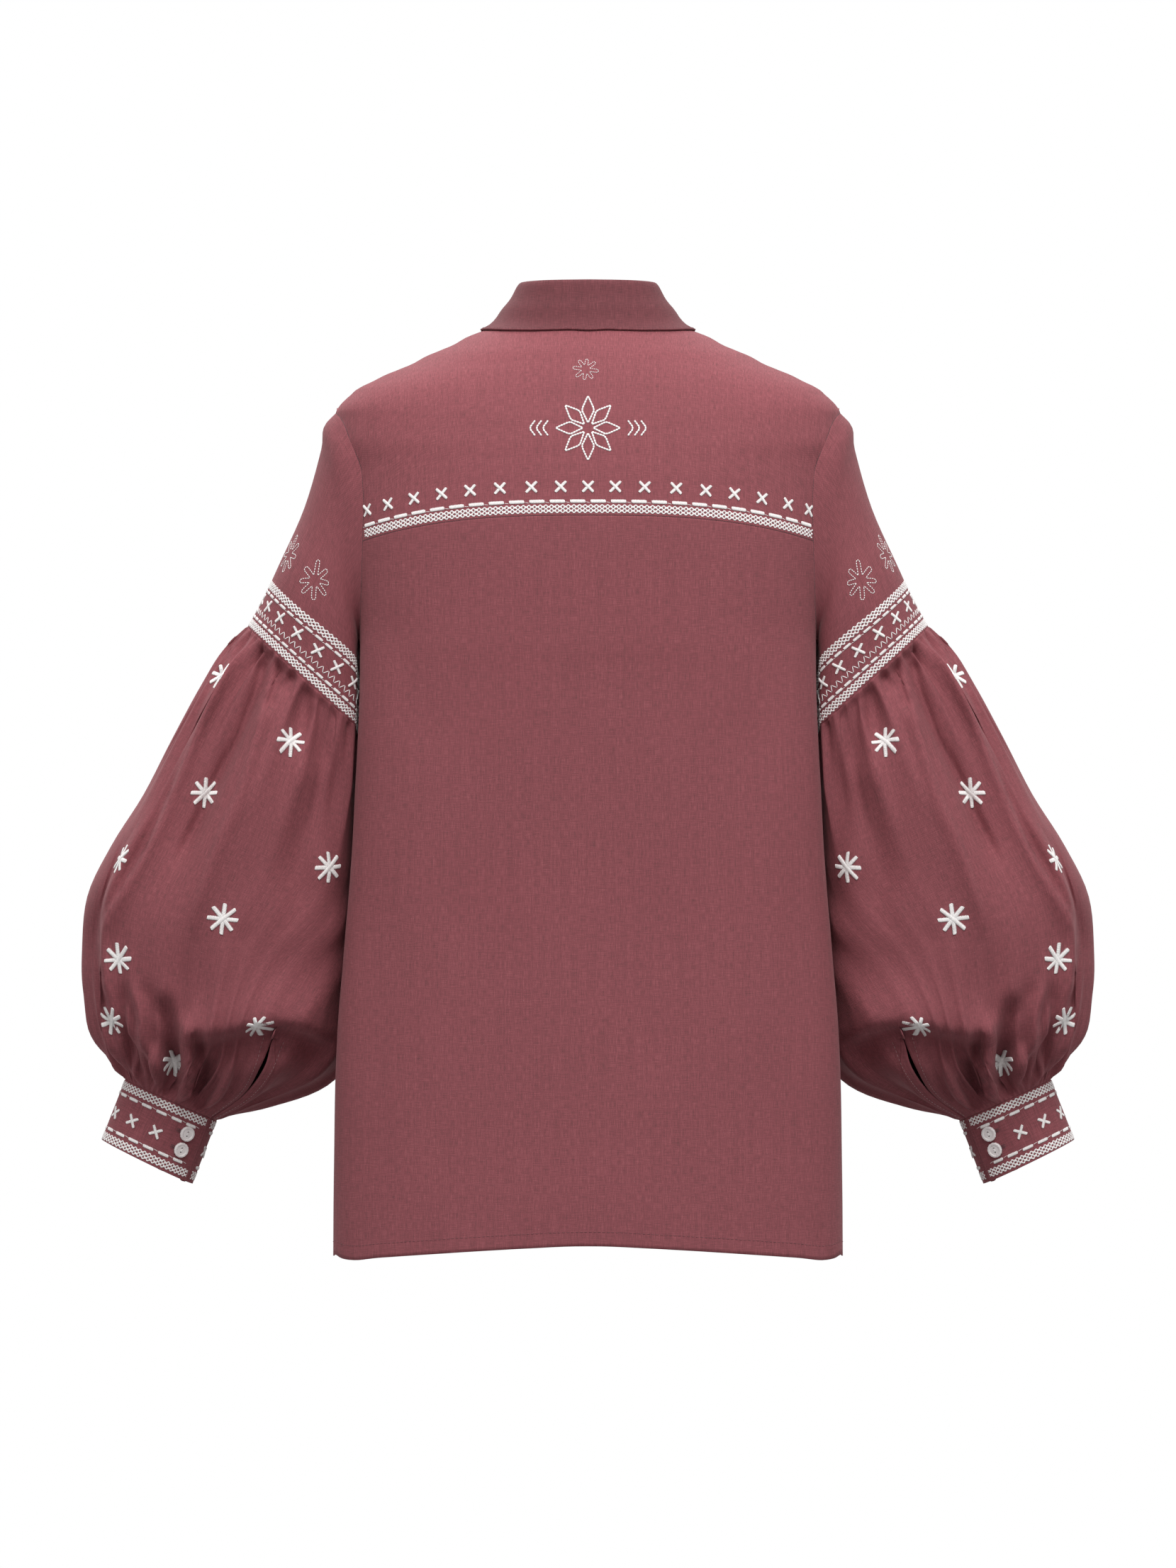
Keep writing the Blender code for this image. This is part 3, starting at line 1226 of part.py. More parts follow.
def build_blouse():
    clear_scene()
    upper, even_shares = upper_sleeve_grid()
    upper_normals = grid_normals(upper, wrap=True)
    upper_normals[0] = unit(np.cross(upper[1] - upper[0],
                                     np.roll(upper[0], -1, 0) - np.roll(upper[0], 1, 0)))
    yoke_turns, back_turns, front_turns = armhole_turns()
    loop_turns = np.concatenate([yoke_turns, back_turns[1:], front_turns[1:-1]])
    body_normals = torso_normal(*armhole(loop_turns))
    stand, stations = collar_stand_grid()
    stand_normals = grid_normals(stand, wrap=False)
    build_body(upper[0], upper_normals[0], stand[0], stand_normals[0], stations)
    shells = sleeve_shells(body_normals, upper, even_shares)
    build_sleeves(shells)
    build_collar(stand, stand_normals, neck_body_normals(stations))
    build_buttons()


build_blouse()
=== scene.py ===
# %% [markdown]
# # A linen blouse in the vyshyvanka manner
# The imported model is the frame: rigid solids of the right size, one for each piece that a
# maker cuts. Here each cloth solid is replaced by thin cloth on the same form, with its
# gathers and creases, and the white stitching is sewn on thread by thread. Everything is
# worked out in millimetres and turned into Blender's metres when a mesh is made.

# %% The frame
import json
import math
import bpy
import numpy as np
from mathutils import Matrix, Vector

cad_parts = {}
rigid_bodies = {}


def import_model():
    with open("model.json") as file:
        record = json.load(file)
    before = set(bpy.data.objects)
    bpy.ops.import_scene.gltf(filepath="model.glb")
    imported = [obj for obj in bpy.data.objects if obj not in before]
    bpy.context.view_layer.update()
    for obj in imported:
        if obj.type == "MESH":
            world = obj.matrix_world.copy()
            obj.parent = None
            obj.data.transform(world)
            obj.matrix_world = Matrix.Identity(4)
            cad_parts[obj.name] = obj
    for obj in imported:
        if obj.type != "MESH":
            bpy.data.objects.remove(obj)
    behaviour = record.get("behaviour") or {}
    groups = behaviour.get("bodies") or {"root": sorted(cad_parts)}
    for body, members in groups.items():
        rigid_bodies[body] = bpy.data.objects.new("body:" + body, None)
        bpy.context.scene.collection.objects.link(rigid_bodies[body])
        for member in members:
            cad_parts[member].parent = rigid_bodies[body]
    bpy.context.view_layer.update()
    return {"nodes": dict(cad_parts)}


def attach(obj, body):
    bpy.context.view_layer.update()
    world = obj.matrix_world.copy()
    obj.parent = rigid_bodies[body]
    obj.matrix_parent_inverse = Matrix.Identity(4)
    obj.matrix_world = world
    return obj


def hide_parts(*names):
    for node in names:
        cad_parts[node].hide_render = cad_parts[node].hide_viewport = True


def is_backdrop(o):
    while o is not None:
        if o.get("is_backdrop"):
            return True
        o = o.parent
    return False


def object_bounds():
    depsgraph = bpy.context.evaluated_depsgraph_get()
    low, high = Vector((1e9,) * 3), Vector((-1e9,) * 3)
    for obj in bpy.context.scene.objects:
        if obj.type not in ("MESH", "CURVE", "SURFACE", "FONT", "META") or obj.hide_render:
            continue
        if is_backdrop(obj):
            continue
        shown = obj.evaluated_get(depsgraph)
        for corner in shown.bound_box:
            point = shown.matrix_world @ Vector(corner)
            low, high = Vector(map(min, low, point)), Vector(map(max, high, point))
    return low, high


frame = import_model()
MM = 0.001
DEGREES = math.pi / 180.0
scene = bpy.context.scene
print("the frame holds", len(frame["nodes"]), "nodes")

# %% [markdown]
# ## Camera, light and floor
# The blouse is seen squarely from behind, from far away, so a long lens is used: it keeps
# the two sleeves equally large. A white surround gives the soft light of a studio cove,
# brighter from above than from below, and one large lamp above the camera models the puffs.

# %% Camera
CAMERA_AWAY = 9.0
VIEW_HEIGHT = 1.217
VIEW_CENTRE = -0.351
SENSOR_HEIGHT = 36.0
eye = bpy.data.cameras.new("camera")
eye.sensor_fit = "VERTICAL"
eye.sensor_height = SENSOR_HEIGHT
eye.lens = SENSOR_HEIGHT * CAMERA_AWAY / VIEW_HEIGHT
camera = bpy.data.objects.new("camera", eye)
camera.location = (0.0, CAMERA_AWAY, VIEW_CENTRE)
camera.rotation_euler = (math.pi / 2.0, 0.0, math.pi)
scene.collection.objects.link(camera)
scene.camera = camera
scene.view_settings.view_transform = "Standard"
print("lens", round(eye.lens), "mm")


# %% Helpers for nodes
def set_inputs(tree, node, inputs):
    """Sets a node's inputs; one that is given another node's socket is linked to it."""
    for name, value in inputs.items():
        if isinstance(value, bpy.types.NodeSocket):
            tree.links.new(value, node.inputs[name])
        else:
            node.inputs[name].default_value = value


def add_node(tree, kind, inputs=None, **settings):
    """A node with its settings made and its inputs set or linked."""
    node = tree.nodes.new(kind)
    for name, value in settings.items():
        setattr(node, name, value)
    set_inputs(tree, node, inputs or {})
    return node


def worked_out(tree, operation, *values):
    """What a sum of numbers or sockets comes to."""
    return add_node(tree, "ShaderNodeMath", dict(enumerate(values)), operation=operation).outputs[0]


def ranged(tree, value, low, high, from_low=0.0, from_high=1.0):
    """A value's range stretched to another one."""
    return add_node(tree, "ShaderNodeMapRange", {
        "Value": value, "From Min": from_low, "From Max": from_high, "To Min": low, "To Max": high,
    }).outputs[0]


def scaled(tree, vector, size):
    """A vector or a colour made larger or smaller."""
    return add_node(
        tree, "ShaderNodeVectorMath", {0: vector, "Scale": size}, operation="SCALE"
    ).outputs[0]


def bumped(tree, strength, distance, height):
    """A surface direction that follows small heights."""
    return add_node(tree, "ShaderNodeBump", {
        "Strength": strength, "Distance": distance, "Height": height,
    }).outputs[0]


def new_finish(name):
    """A material, with its tree and its shader."""
    made = bpy.data.materials.new(name)
    made.use_nodes = True
    return made, made.node_tree, made.node_tree.nodes["Principled BSDF"]


print("helpers for nodes are ready")


# %% Light and floor
FLOOR_HEIGHT = -1.25
FLOOR_RADIUS = 4.2
FLOOR_COLOUR = (0.74, 0.74, 0.745, 1.0)
LIGHT_FROM_BELOW = 0.17
LIGHT_FROM_ABOVE = 1.02
KEY_POWER = 81.0
FRONT_POWER = KEY_POWER * 0.8
LAMP_AIM = (0.0, 0.0, -0.3)
world = bpy.data.worlds.new("studio")
scene.world = world
world.use_nodes = True
sky = world.node_tree
place = add_node(sky, "ShaderNodeTexCoord")
split = add_node(sky, "ShaderNodeSeparateXYZ", {0: place.outputs["Generated"]})
fade = ranged(sky, split.outputs["Z"], LIGHT_FROM_BELOW, LIGHT_FROM_ABOVE, -0.8, 0.9)
path = add_node(sky, "ShaderNodeLightPath")
set_inputs(sky, sky.nodes["Background"], {
    "Color": (1.0, 1.0, 1.0, 1.0),
    "Strength": worked_out(sky, "MAXIMUM", fade, path.outputs["Is Camera Ray"]),
})


def soft_lamp(name, at, aim, size, power):
    """A square lamp that faces a point."""
    data = bpy.data.lights.new(name, "AREA")
    data.size = size
    data.energy = power
    lamp = bpy.data.objects.new(name, data)
    lamp.location = at
    towards = Vector(aim) - Vector(at)
    lamp.rotation_euler = towards.to_track_quat("-Z", "Y").to_euler()
    scene.collection.objects.link(lamp)


soft_lamp("key_lamp", at=(-0.3, 2.2, 2.3), aim=LAMP_AIM, size=1.7, power=KEY_POWER)
soft_lamp("front_lamp", at=(0.7, -2.1, 2.8), aim=LAMP_AIM, size=2.4, power=FRONT_POWER)
bpy.ops.mesh.primitive_circle_add(
    vertices=96, radius=FLOOR_RADIUS, fill_type="NGON", location=(0.0, 0.0, FLOOR_HEIGHT)
)
floor = bpy.context.object
floor.name = "floor"
pale, pale_tree, pale_shader = new_finish("pale_floor")
set_inputs(pale_tree, pale_shader, {"Base Color": FLOOR_COLOUR, "Roughness": 0.8})
floor.data.materials.append(pale)
floor.visible_diffuse = False
floor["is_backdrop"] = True
print("floor at", FLOOR_HEIGHT, "m")

# %% [markdown]
# ## The linen
# Plain-woven linen, washed and matt. Its yarns are uneven, so lighter and darker streaks
# run both ways, with small pale flecks. The pattern reads the piece's own UV map, which
# holds the cloth's warp and weft in metres, so the weave keeps its size and follows the
# cloth round every fold.

# %% Linen
LINEN = (0.242, 0.068, 0.080, 1.0)
LINEN_DARK = (0.158, 0.055, 0.060, 1.0)
LINEN_LIGHT = (0.330, 0.100, 0.114, 1.0)
LINEN_SPECK = (0.560, 0.400, 0.405, 1.0)
YARN_PITCH_MM = 0.62
# Streaks in the yarn: how many lie in a millimetre across and along the cloth, where in the
# noise they start, how fine they are, and how strongly they count in the linen's tone.
STREAKS = {
    "warp": (1.9, 0.14, 3.0, 1.0, 0.9),
    "weft": (0.14, 1.9, 17.0, 1.0, 0.7),
    "thick warp": (0.70, 0.014, 59.0, 1.0, 0.34),
    "thick weft": (0.028, 0.85, 101.0, 1.0, 0.14),
    "cloud": (0.018, 0.014, 41.0, 3.0, 0.12),
}
FLECKS = (1.5, 0.8, 77.0, 1.0)
TONE_RANGE = (0.72, 1.48)
FLECK_RANGE = (0.75, 0.80)
FLECK_STRENGTH = 0.30
EDGE_WEAR = 1.16
EDGE_WEAR_REACH = 2.2


def streaks(tree, place_mm, across, along, seed, detail):
    """Noise drawn out along one way of the cloth."""
    stretched = add_node(tree, "ShaderNodeVectorMath", {
        0: place_mm, 1: (across, along, 0.0),
    }, operation="MULTIPLY")
    moved = add_node(tree, "ShaderNodeVectorMath", {
        0: stretched.outputs[0], 1: (seed, seed * 0.7, 0.0),
    }, operation="ADD")
    noise = add_node(tree, "ShaderNodeTexNoise", {
        "Vector": moved.outputs[0], "Scale": 1.0, "Detail": detail,
    })
    return noise.outputs["Fac"]


def sum_of(tree, parts):
    """Adds up sockets, each times its weight."""
    total = 0.0
    for socket, weight in parts:
        total = worked_out(tree, "MULTIPLY_ADD", socket, weight, total)
    return total


def linen_finish(name, lightness=1.0):
    """Linen with uneven yarns, slubs and a soft washed bloom."""
    made, tree, shader = new_finish(name)
    cloth = add_node(tree, "ShaderNodeUVMap", uv_map="cloth")
    in_mm = scaled(tree, cloth.outputs["UV"], 1.0 / MM)
    field = {name: streaks(tree, in_mm, *values[:-1]) for name, values in STREAKS.items()}
    flecks = streaks(tree, in_mm, *FLECKS)
    tone = sum_of(tree, [(field[name], values[-1]) for name, values in STREAKS.items()])
    ramp = add_node(tree, "ShaderNodeValToRGB", {"Fac": ranged(tree, tone, 0.0, 1.0, *TONE_RANGE)})
    ramp.color_ramp.elements[0].color = LINEN_DARK
    ramp.color_ramp.elements[1].color = LINEN_LIGHT
    ramp.color_ramp.elements.new(0.5).color = LINEN
    colour = add_node(tree, "ShaderNodeMix", {
        0: ranged(tree, flecks, 0.0, FLECK_STRENGTH, *FLECK_RANGE),
        6: ramp.outputs["Color"], 7: LINEN_SPECK,
    }, data_type="RGBA")
    edge = add_node(tree, "ShaderNodeAttribute", attribute_name="edge")
    # The edges are worn lighter. Lightness then scales the whole colour: painted light on the
    # yoke's copy, painted shade on the cuffs' and the collar's copies.
    wear_and_painted_light = ranged(tree, edge.outputs["Fac"], EDGE_WEAR * lightness, lightness, 0.0, EDGE_WEAR_REACH)
    split_uv = add_node(tree, "ShaderNodeSeparateXYZ", {0: in_mm})
    waves = [
        worked_out(tree, "SINE", worked_out(
            tree, "MULTIPLY", split_uv.outputs[axis], math.pi / YARN_PITCH_MM
        ))
        for axis in (0, 1)
    ]
    weave = worked_out(tree, "MULTIPLY", *waves)
    relief = sum_of(tree, [(weave, 0.5), (field["warp"], 1.2), (field["weft"], 1.2)])
    set_inputs(tree, shader, {
        "Base Color": scaled(tree, colour.outputs[2], wear_and_painted_light),
        "Normal": bumped(tree, strength=0.35, distance=0.0003, height=relief),
        "Roughness": 0.86,
        "Specular IOR Level": 0.25,
        "Sheen Weight": 0.10,
        "Sheen Roughness": 0.40,
        "Sheen Tint": (1.0, 0.70, 0.70, 1.0),
    })
    return made


linen = linen_finish("dusty_burgundy_linen")
# The yoke's copy is made 1.08 times as light: painted light, for its slope towards the light from
# above.
yoke_linen_painted_light = linen_finish("dusty_burgundy_linen_yoke_painted_light", 1.08)
# The cuffs' copy is a little darker: painted shade, for the light that doubled cloth does not let
# through.
cuff_linen_painted_shade = linen_finish("dusty_burgundy_linen_cuff_painted_shade", 0.97)
# The collar's copy is much darker: painted shade, for its upright stand away from the top light and
# its doubled cloth.
collar_linen_painted_shade = linen_finish("dusty_burgundy_linen_collar_painted_shade", 0.61)
print("linen finish with", len(linen.node_tree.nodes), "nodes")

# %% [markdown]
# ## The threads and the buttons
# The embroidery is thick white cotton: matt, a little shiny along the twist, each stitch a
# shade lighter or darker than the next. The seams are sewn with thread that is dyed to
# match the linen. The buttons are pale shell with faint cloudy growth lines and a soft
# polish.

# %% Threads
def thread_finish(name, colour, spread):
    """Cotton thread with a fine twist; each stitch has its own shade."""
    made, tree, shader = new_finish(name)
    shade = add_node(tree, "ShaderNodeAttribute", attribute_name="shade").outputs["Fac"]
    place_on = add_node(tree, "ShaderNodeTexCoord")
    fuzz = add_node(tree, "ShaderNodeTexNoise", {
        "Vector": place_on.outputs["Object"], "Scale": 2400.0, "Detail": 1.0,
    }).outputs["Fac"]
    lightness = worked_out(
        tree, "MULTIPLY", ranged(tree, shade, 1.0 - spread, 1.0), ranged(tree, fuzz, 0.94, 1.06)
    )
    set_inputs(tree, shader, {
        "Base Color": scaled(tree, colour, lightness),
        "Normal": bumped(tree, strength=0.3, distance=0.0001, height=fuzz),
        "Roughness": 0.62,
        "Sheen Weight": 0.15,
    })
    return made


white_thread = thread_finish("white_cotton_thread", (0.93, 0.90, 0.885), spread=0.10)
linen_thread = thread_finish("dyed_sewing_thread", (0.20, 0.055, 0.064), spread=0.25)
# The slit's stitches take a pale thread that paints the highlight on the slit's folded edges.
slit_highlight_thread = thread_finish("slit_thread_painted_highlight", (0.46, 0.26, 0.27), spread=0.25)
# This dark thread works the buttonholes and also paints the shade in the seams' valleys.
buttonhole_thread_and_seam_shade = thread_finish("buttonhole_thread_and_painted_seam_shade", (0.095, 0.028, 0.034), spread=0.25)
print("threads:", white_thread.name, "and", linen_thread.name)


# %% Buttons
def shell_finish():
    """Polished shell: pale, with faint cloudy rings and a soft gloss."""
    made, tree, shader = new_finish("pale_shell")
    place_on = add_node(tree, "ShaderNodeTexCoord").outputs["Object"]
    rings = add_node(tree, "ShaderNodeTexWave", {
        "Vector": place_on, "Scale": 70.0, "Distortion": 6.0, "Detail": 2.0,
    })
    cloud = add_node(tree, "ShaderNodeTexNoise", {
        "Vector": place_on, "Scale": 240.0, "Detail": 3.0,
    }).outputs["Fac"]
    mixed = sum_of(tree, [(rings.outputs["Fac"], 0.35), (cloud, 0.65)])
    ramp = add_node(tree, "ShaderNodeValToRGB", {"Fac": mixed})
    ramp.color_ramp.elements[0].color = (0.74, 0.68, 0.675, 1.0)
    ramp.color_ramp.elements[1].color = (0.88, 0.84, 0.83, 1.0)
    set_inputs(tree, shader, {
        "Base Color": ramp.outputs["Color"],
        "Roughness": ranged(tree, cloud, 0.24, 0.40),
        "Normal": bumped(tree, strength=0.12, distance=0.0002, height=mixed),
        "Coat Weight": 0.35,
        "Coat Roughness": 0.25,
    })
    return made


shell = shell_finish()
buttons = [name for name in frame["nodes"] if name.startswith("button_")]
for name in buttons:
    frame["nodes"][name].material_slots[0].material = shell
print(len(buttons), "buttons keep their solids and take the shell finish")

# %% [markdown]
# ## Reading tables of sizes
# The body and the sleeves are drawn as tables of sections. A curve that never swings past
# its stations reads them, so that a shoulder stays a slope and doesn't ripple.

# %% Reading tables
def through(stations, values, at):
    """Values between their stations, along a curve that never swings past them."""
    stations = np.asarray(stations, float)
    values = np.asarray(values, float)
    at = np.asarray(at, float)
    steps = np.diff(stations).reshape((-1,) + (1,) * (values.ndim - 1))
    slopes = np.diff(values, axis=0) / steps
    before, after = slopes[:-1], slopes[1:]
    total = np.where(np.abs(before + after) < 1e-12, 1.0, before + after)
    bends = np.where(before * after > 0, 2.0 * before * after / total, 0.0)
    tangents = np.concatenate([slopes[:1], bends, slopes[-1:]])
    cell = np.clip(np.searchsorted(stations, at, side="right") - 1, 0, len(stations) - 2)
    step = steps[cell]
    along = (at - stations[cell]).reshape(at.shape + (1,) * (values.ndim - 1)) / step
    start = values[cell] + tangents[cell] * step * along
    end = values[cell + 1] - tangents[cell + 1] * step * (1.0 - along)
    ease = along * along * (3.0 - 2.0 * along)
    straight_start = start * (1.0 - along) + values[cell] * along
    straight_end = end * along + values[cell + 1] * (1.0 - along)
    return straight_start * (1.0 - ease) + straight_end * ease


def columns_of(names, rows, at):
    """Every named column of a table whose first column is its stations."""
    order = sorted(rows)
    stations = [row[0] for row in order]
    return {
        name: through(stations, [row[index] for row in order], at)
        for index, name in enumerate(names)
    }


def unit(vectors):
    """Directions of length one."""
    return vectors / np.maximum(np.linalg.norm(vectors, axis=-1, keepdims=True), 1e-9)


def run_along(points):
    """The distance covered from the first point to each point of a line."""
    steps = np.linalg.norm(np.diff(points, axis=0), axis=-1)
    return np.concatenate([np.zeros((1,) + steps.shape[1:]), np.cumsum(steps, axis=0)])


def read_line(at, covered, values):
    """A line's values, read at distances along it."""
    return np.stack([np.interp(at, covered, column) for column in values.T], axis=-1)


def halved(low, high, is_below, times):
    """A range about the place where a test turns false, halved again and again."""
    for _ in range(times):
        middle = (low + high) / 2.0
        below = is_below(middle)
        low, high = np.where(below, middle, low), np.where(below, high, middle)
    return low, high


def eased(value):
    """A share from 0 to 1 that starts and stops softly."""
    value = np.clip(value, 0.0, 1.0)
    return value * value * (3.0 - 2.0 * value)


print("halfway between 2 and 6:", float(through([0.0, 1.0], [2.0, 6.0], [0.5])[0]))

# %% [markdown]
# ## The body's form
# Level sections from the neck to the hem, filled out as on a wearer: broad and round on
# the back, a little flatter in front.

# %% The body's form
TORSO_COLUMNS = (
    "height", "half_width", "widest_y", "back_y", "front_y", "back_square", "front_square",
)
TORSO = (
    (18.0, 40.0, 0.0, 46.0, -44.0, 2.2, 2.2),
    (8.0, 62.0, 0.0, 58.0, -52.0, 2.2, 2.2),
    (0.0, 82.9, 0.0, 68.0, -57.0, 2.2, 2.2),
    (-15.0, 115.4, 0.0, 81.0, -63.0, 2.25, 2.2),
    (-29.6, 146.9, 0.0, 89.0, -68.0, 2.3, 2.2),
    (-43.0, 176.0, 0.0, 95.0, -73.0, 2.35, 2.2),
    (-52.0, 187.3, 0.0, 98.0, -77.0, 2.4, 2.2),
    (-63.5, 195.7, 0.0, 102.0, -81.0, 2.4, 2.2),
    (-83.6, 196.0, 5.0, 107.0, -89.0, 2.4, 2.2),
    (-107.0, 190.0, 9.0, 111.0, -97.0, 2.4, 2.2),
    (-128.0, 188.0, 12.0, 113.0, -104.0, 2.4, 2.2),
    (-165.0, 184.5, 17.0, 115.5, -113.0, 2.4, 2.2),
    (-200.0, 180.0, 23.0, 116.0, -120.0, 2.4, 2.15),
    (-240.0, 176.4, 31.0, 116.0, -123.0, 2.4, 2.1),
    (-264.0, 176.3, 36.0, 115.0, -123.0, 2.4, 2.1),
    (-321.0, 178.1, 41.0, 114.0, -120.0, 2.4, 2.1),
    (-433.0, 184.6, 43.0, 113.0, -117.0, 2.4, 2.1),
    (-522.0, 192.2, 43.0, 115.0, -118.0, 2.4, 2.1),
    (-573.0, 195.0, 43.0, 117.0, -119.0, 2.4, 2.1),
    (-657.0, 196.4, 43.0, 121.0, -121.0, 2.4, 2.1),
    (-730.0, 197.0, 43.0, 124.0, -123.0, 2.4, 2.1),
)
SHOULDERS_FOOT = -250.0
SHOULDERS_TOP = 17.0
HALVINGS = 40


def section_side(row, is_back):
    """The squareness and the depth of a section's back or front."""
    square = np.where(is_back, row["back_square"], row["front_square"])
    depth = np.where(
        is_back, row["back_y"] - row["widest_y"], row["widest_y"] - row["front_y"]
    )
    return square, depth


def torso(angle, height):
    """Points of the body at an angle from the centre back, in degrees, and a height."""
    angle, height = np.broadcast_arrays(np.asarray(angle, float), np.asarray(height, float))
    row = columns_of(TORSO_COLUMNS, TORSO, height)
    across, along = np.sin(angle * DEGREES), np.cos(angle * DEGREES)
    square, depth = section_side(row, along >= 0.0)
    x = row["half_width"] * np.sign(across) * np.abs(across) ** (2.0 / square)
    y = row["widest_y"] + depth * np.sign(along) * np.abs(along) ** (2.0 / square)
    return np.stack([x, y, height], axis=-1)


def torso_normal(angle, height):
    """The outward direction of the body's surface."""
    step = 0.4
    round_it = torso(angle + step, height) - torso(angle - step, height)
    up_it = torso(angle, height + step) - torso(angle, height - step)
    return unit(np.cross(up_it, round_it))


def torso_shares(x, y, height):
    """Sine and cosine of the angle, without signs, that put a section through a point."""
    row = columns_of(TORSO_COLUMNS, TORSO, height)
    square, depth = section_side(row, y >= row["widest_y"])
    across = (np.abs(x) / row["half_width"]) ** (square / 2.0)
    along = (np.abs(y - row["widest_y"]) / depth) ** (square / 2.0)
    return across, along


def torso_at(x, y):
    """The angle and height at which a point seen from above lies on the shoulders."""
    x, y = np.broadcast_arrays(np.asarray(x, float), np.asarray(y, float))

    def inside(height):
        across, along = torso_shares(x, y, height)
        return ~(across ** 2 + along ** 2 > 1.0)

    low = halved(
        np.full(x.shape, SHOULDERS_FOOT), np.full(x.shape, SHOULDERS_TOP), inside, HALVINGS
    )[0]
    across, along = torso_shares(x, y, low)
    is_front = y < columns_of(TORSO_COLUMNS, TORSO, low)["widest_y"]
    angle = np.arctan2(across * np.sign(x + 1e-12), np.where(is_front, -along, along))
    return angle / DEGREES, low


def torso_half_width_at(y, height):
    """How far out the body's side lies at a depth and a height; zero past its ends."""
    row = columns_of(TORSO_COLUMNS, TORSO, height)
    square, depth = section_side(row, y >= row["widest_y"])
    share = np.clip(np.abs(y - row["widest_y"]) / depth, 0.0, 1.0)
    return row["half_width"] * (1.0 - share ** square) ** (1.0 / square)


print("chest width at the underarm:", round(float(2 * torso(90.0, -240.0)[0])), "mm")

# %% [markdown]
# ## The seam lines
# Each seam is a line of places on the body, as an angle from the centre back and a height.
# Pieces that meet share the same line, so they close on each other exactly.

# %% Seam lines
BACK_SQUARE = 2.4
CENTRE_FRONT = 180.0
SIDE_SEAM_ANGLE = 95.0
HEM_LOW = -718.0
HEM_CENTRE_RISE = 13.0
HEM_DIP_POWER = 1.4
HEM_SIDE_LIFT = 11.0
HEM_LIFT_STARTS_AT = 0.955
ARMHOLE_TOP = -63.5
ARMHOLE_BOTTOM = -240.0
ARMHOLE_BACK_REACH = 33.0
ARMHOLE_FRONT_REACH = 29.0
ARMHOLE_NARROWING = 0.45
ARMHOLE_SQUARENESS = 0.75
YOKE_BACK_TURN = 97.8
YOKE_FRONT_TURN = -50.0
YOKE_SEAM_CENTRE = -145.0
YOKE_SEAM_POWER = 2.8
NECK_HALF_WIDTH = 62.0
NECK_BACK_Y = 56.0
NECK_FRONT_Y = -84.0
NECK_ROUNDNESS = 0.95
YOKE_NECK_STATION = 115.0
NEAR_CENTRE_FRONT = 179.0
SHOULDER_SEAM_END = 165.0
PLACKET_HALF_WIDTH = 13.0
UNDER_PLACKET_REACH = 16.0
UNDER_PLACKET_DROP = 2.0
SIDE_CELLS = 7
BACK_HALF_CELLS = 8
YOKE_ARM_CELLS = 14
BACK_ARM_CELLS = 7
FRONT_ARM_CELLS = 12
FRONT_NECK_CELLS = 5
SIDE_CROWDING = 1.5
YOKE_ROWS = (0.0, 0.13, 0.3, 0.52, 0.76, 1.0)
UNDERARM_ROW_CENTRE = -300.0


def hem(angle):
    """The hem: lowest at its sides, and turned up a little at the side seams."""
    angle = np.asarray(angle, float)
    across = np.abs(np.sin(angle * DEGREES)) ** (2.0 / BACK_SQUARE)
    rise = HEM_CENTRE_RISE * (1.0 - across ** HEM_DIP_POWER)
    turn_up = eased((across - HEM_LIFT_STARTS_AT) / (1.0 - HEM_LIFT_STARTS_AT))
    return angle, HEM_LOW + rise + HEM_SIDE_LIFT * turn_up


def side_seam(height):
    """The side seam, from hem to armhole."""
    height = np.asarray(height, float)
    return np.full(height.shape, SIDE_SEAM_ANGLE), height


def armhole(turn):
    """The armhole: turn 0 is the shoulder tip, 90 the back, 180 the underarm."""
    turn = np.asarray(turn, float) * DEGREES
    fall = (1.0 - np.cos(turn)) / 2.0
    height = ARMHOLE_TOP + (ARMHOLE_BOTTOM - ARMHOLE_TOP) * fall
    middle = 90.0 + (SIDE_SEAM_ANGLE - 90.0) * fall
    swing = np.sign(np.sin(turn)) * np.abs(np.sin(turn)) ** ARMHOLE_SQUARENESS
    reach = np.where(swing > 0.0, ARMHOLE_BACK_REACH, ARMHOLE_FRONT_REACH)
    return middle - swing * reach * (1.0 - ARMHOLE_NARROWING * fall), height


def yoke_seam(angle):
    """The seam between yoke and back, arched up over the middle."""
    angle = np.asarray(angle, float)
    corner_angle, corner_height = armhole(YOKE_BACK_TURN)
    out = np.sin(np.abs(angle) * DEGREES) / np.sin(corner_angle * DEGREES)
    share = out ** (2.0 / BACK_SQUARE)
    drop = (corner_height - YOKE_SEAM_CENTRE) * share ** YOKE_SEAM_POWER
    return angle, YOKE_SEAM_CENTRE + drop


def neck(station):
    """The neck seam: station 0 is the centre back, 90 the side, 180 the centre front."""
    station = np.asarray(station, float) * DEGREES
    across, along = np.sin(station), np.cos(station)
    x = NECK_HALF_WIDTH * np.sign(across) * np.abs(across) ** NECK_ROUNDNESS
    y = np.where(along >= 0.0, NECK_BACK_Y * along, -NECK_FRONT_Y * along)
    angle, height = torso_at(x, y)
    return np.where(station > math.pi, angle + 360.0, angle), height


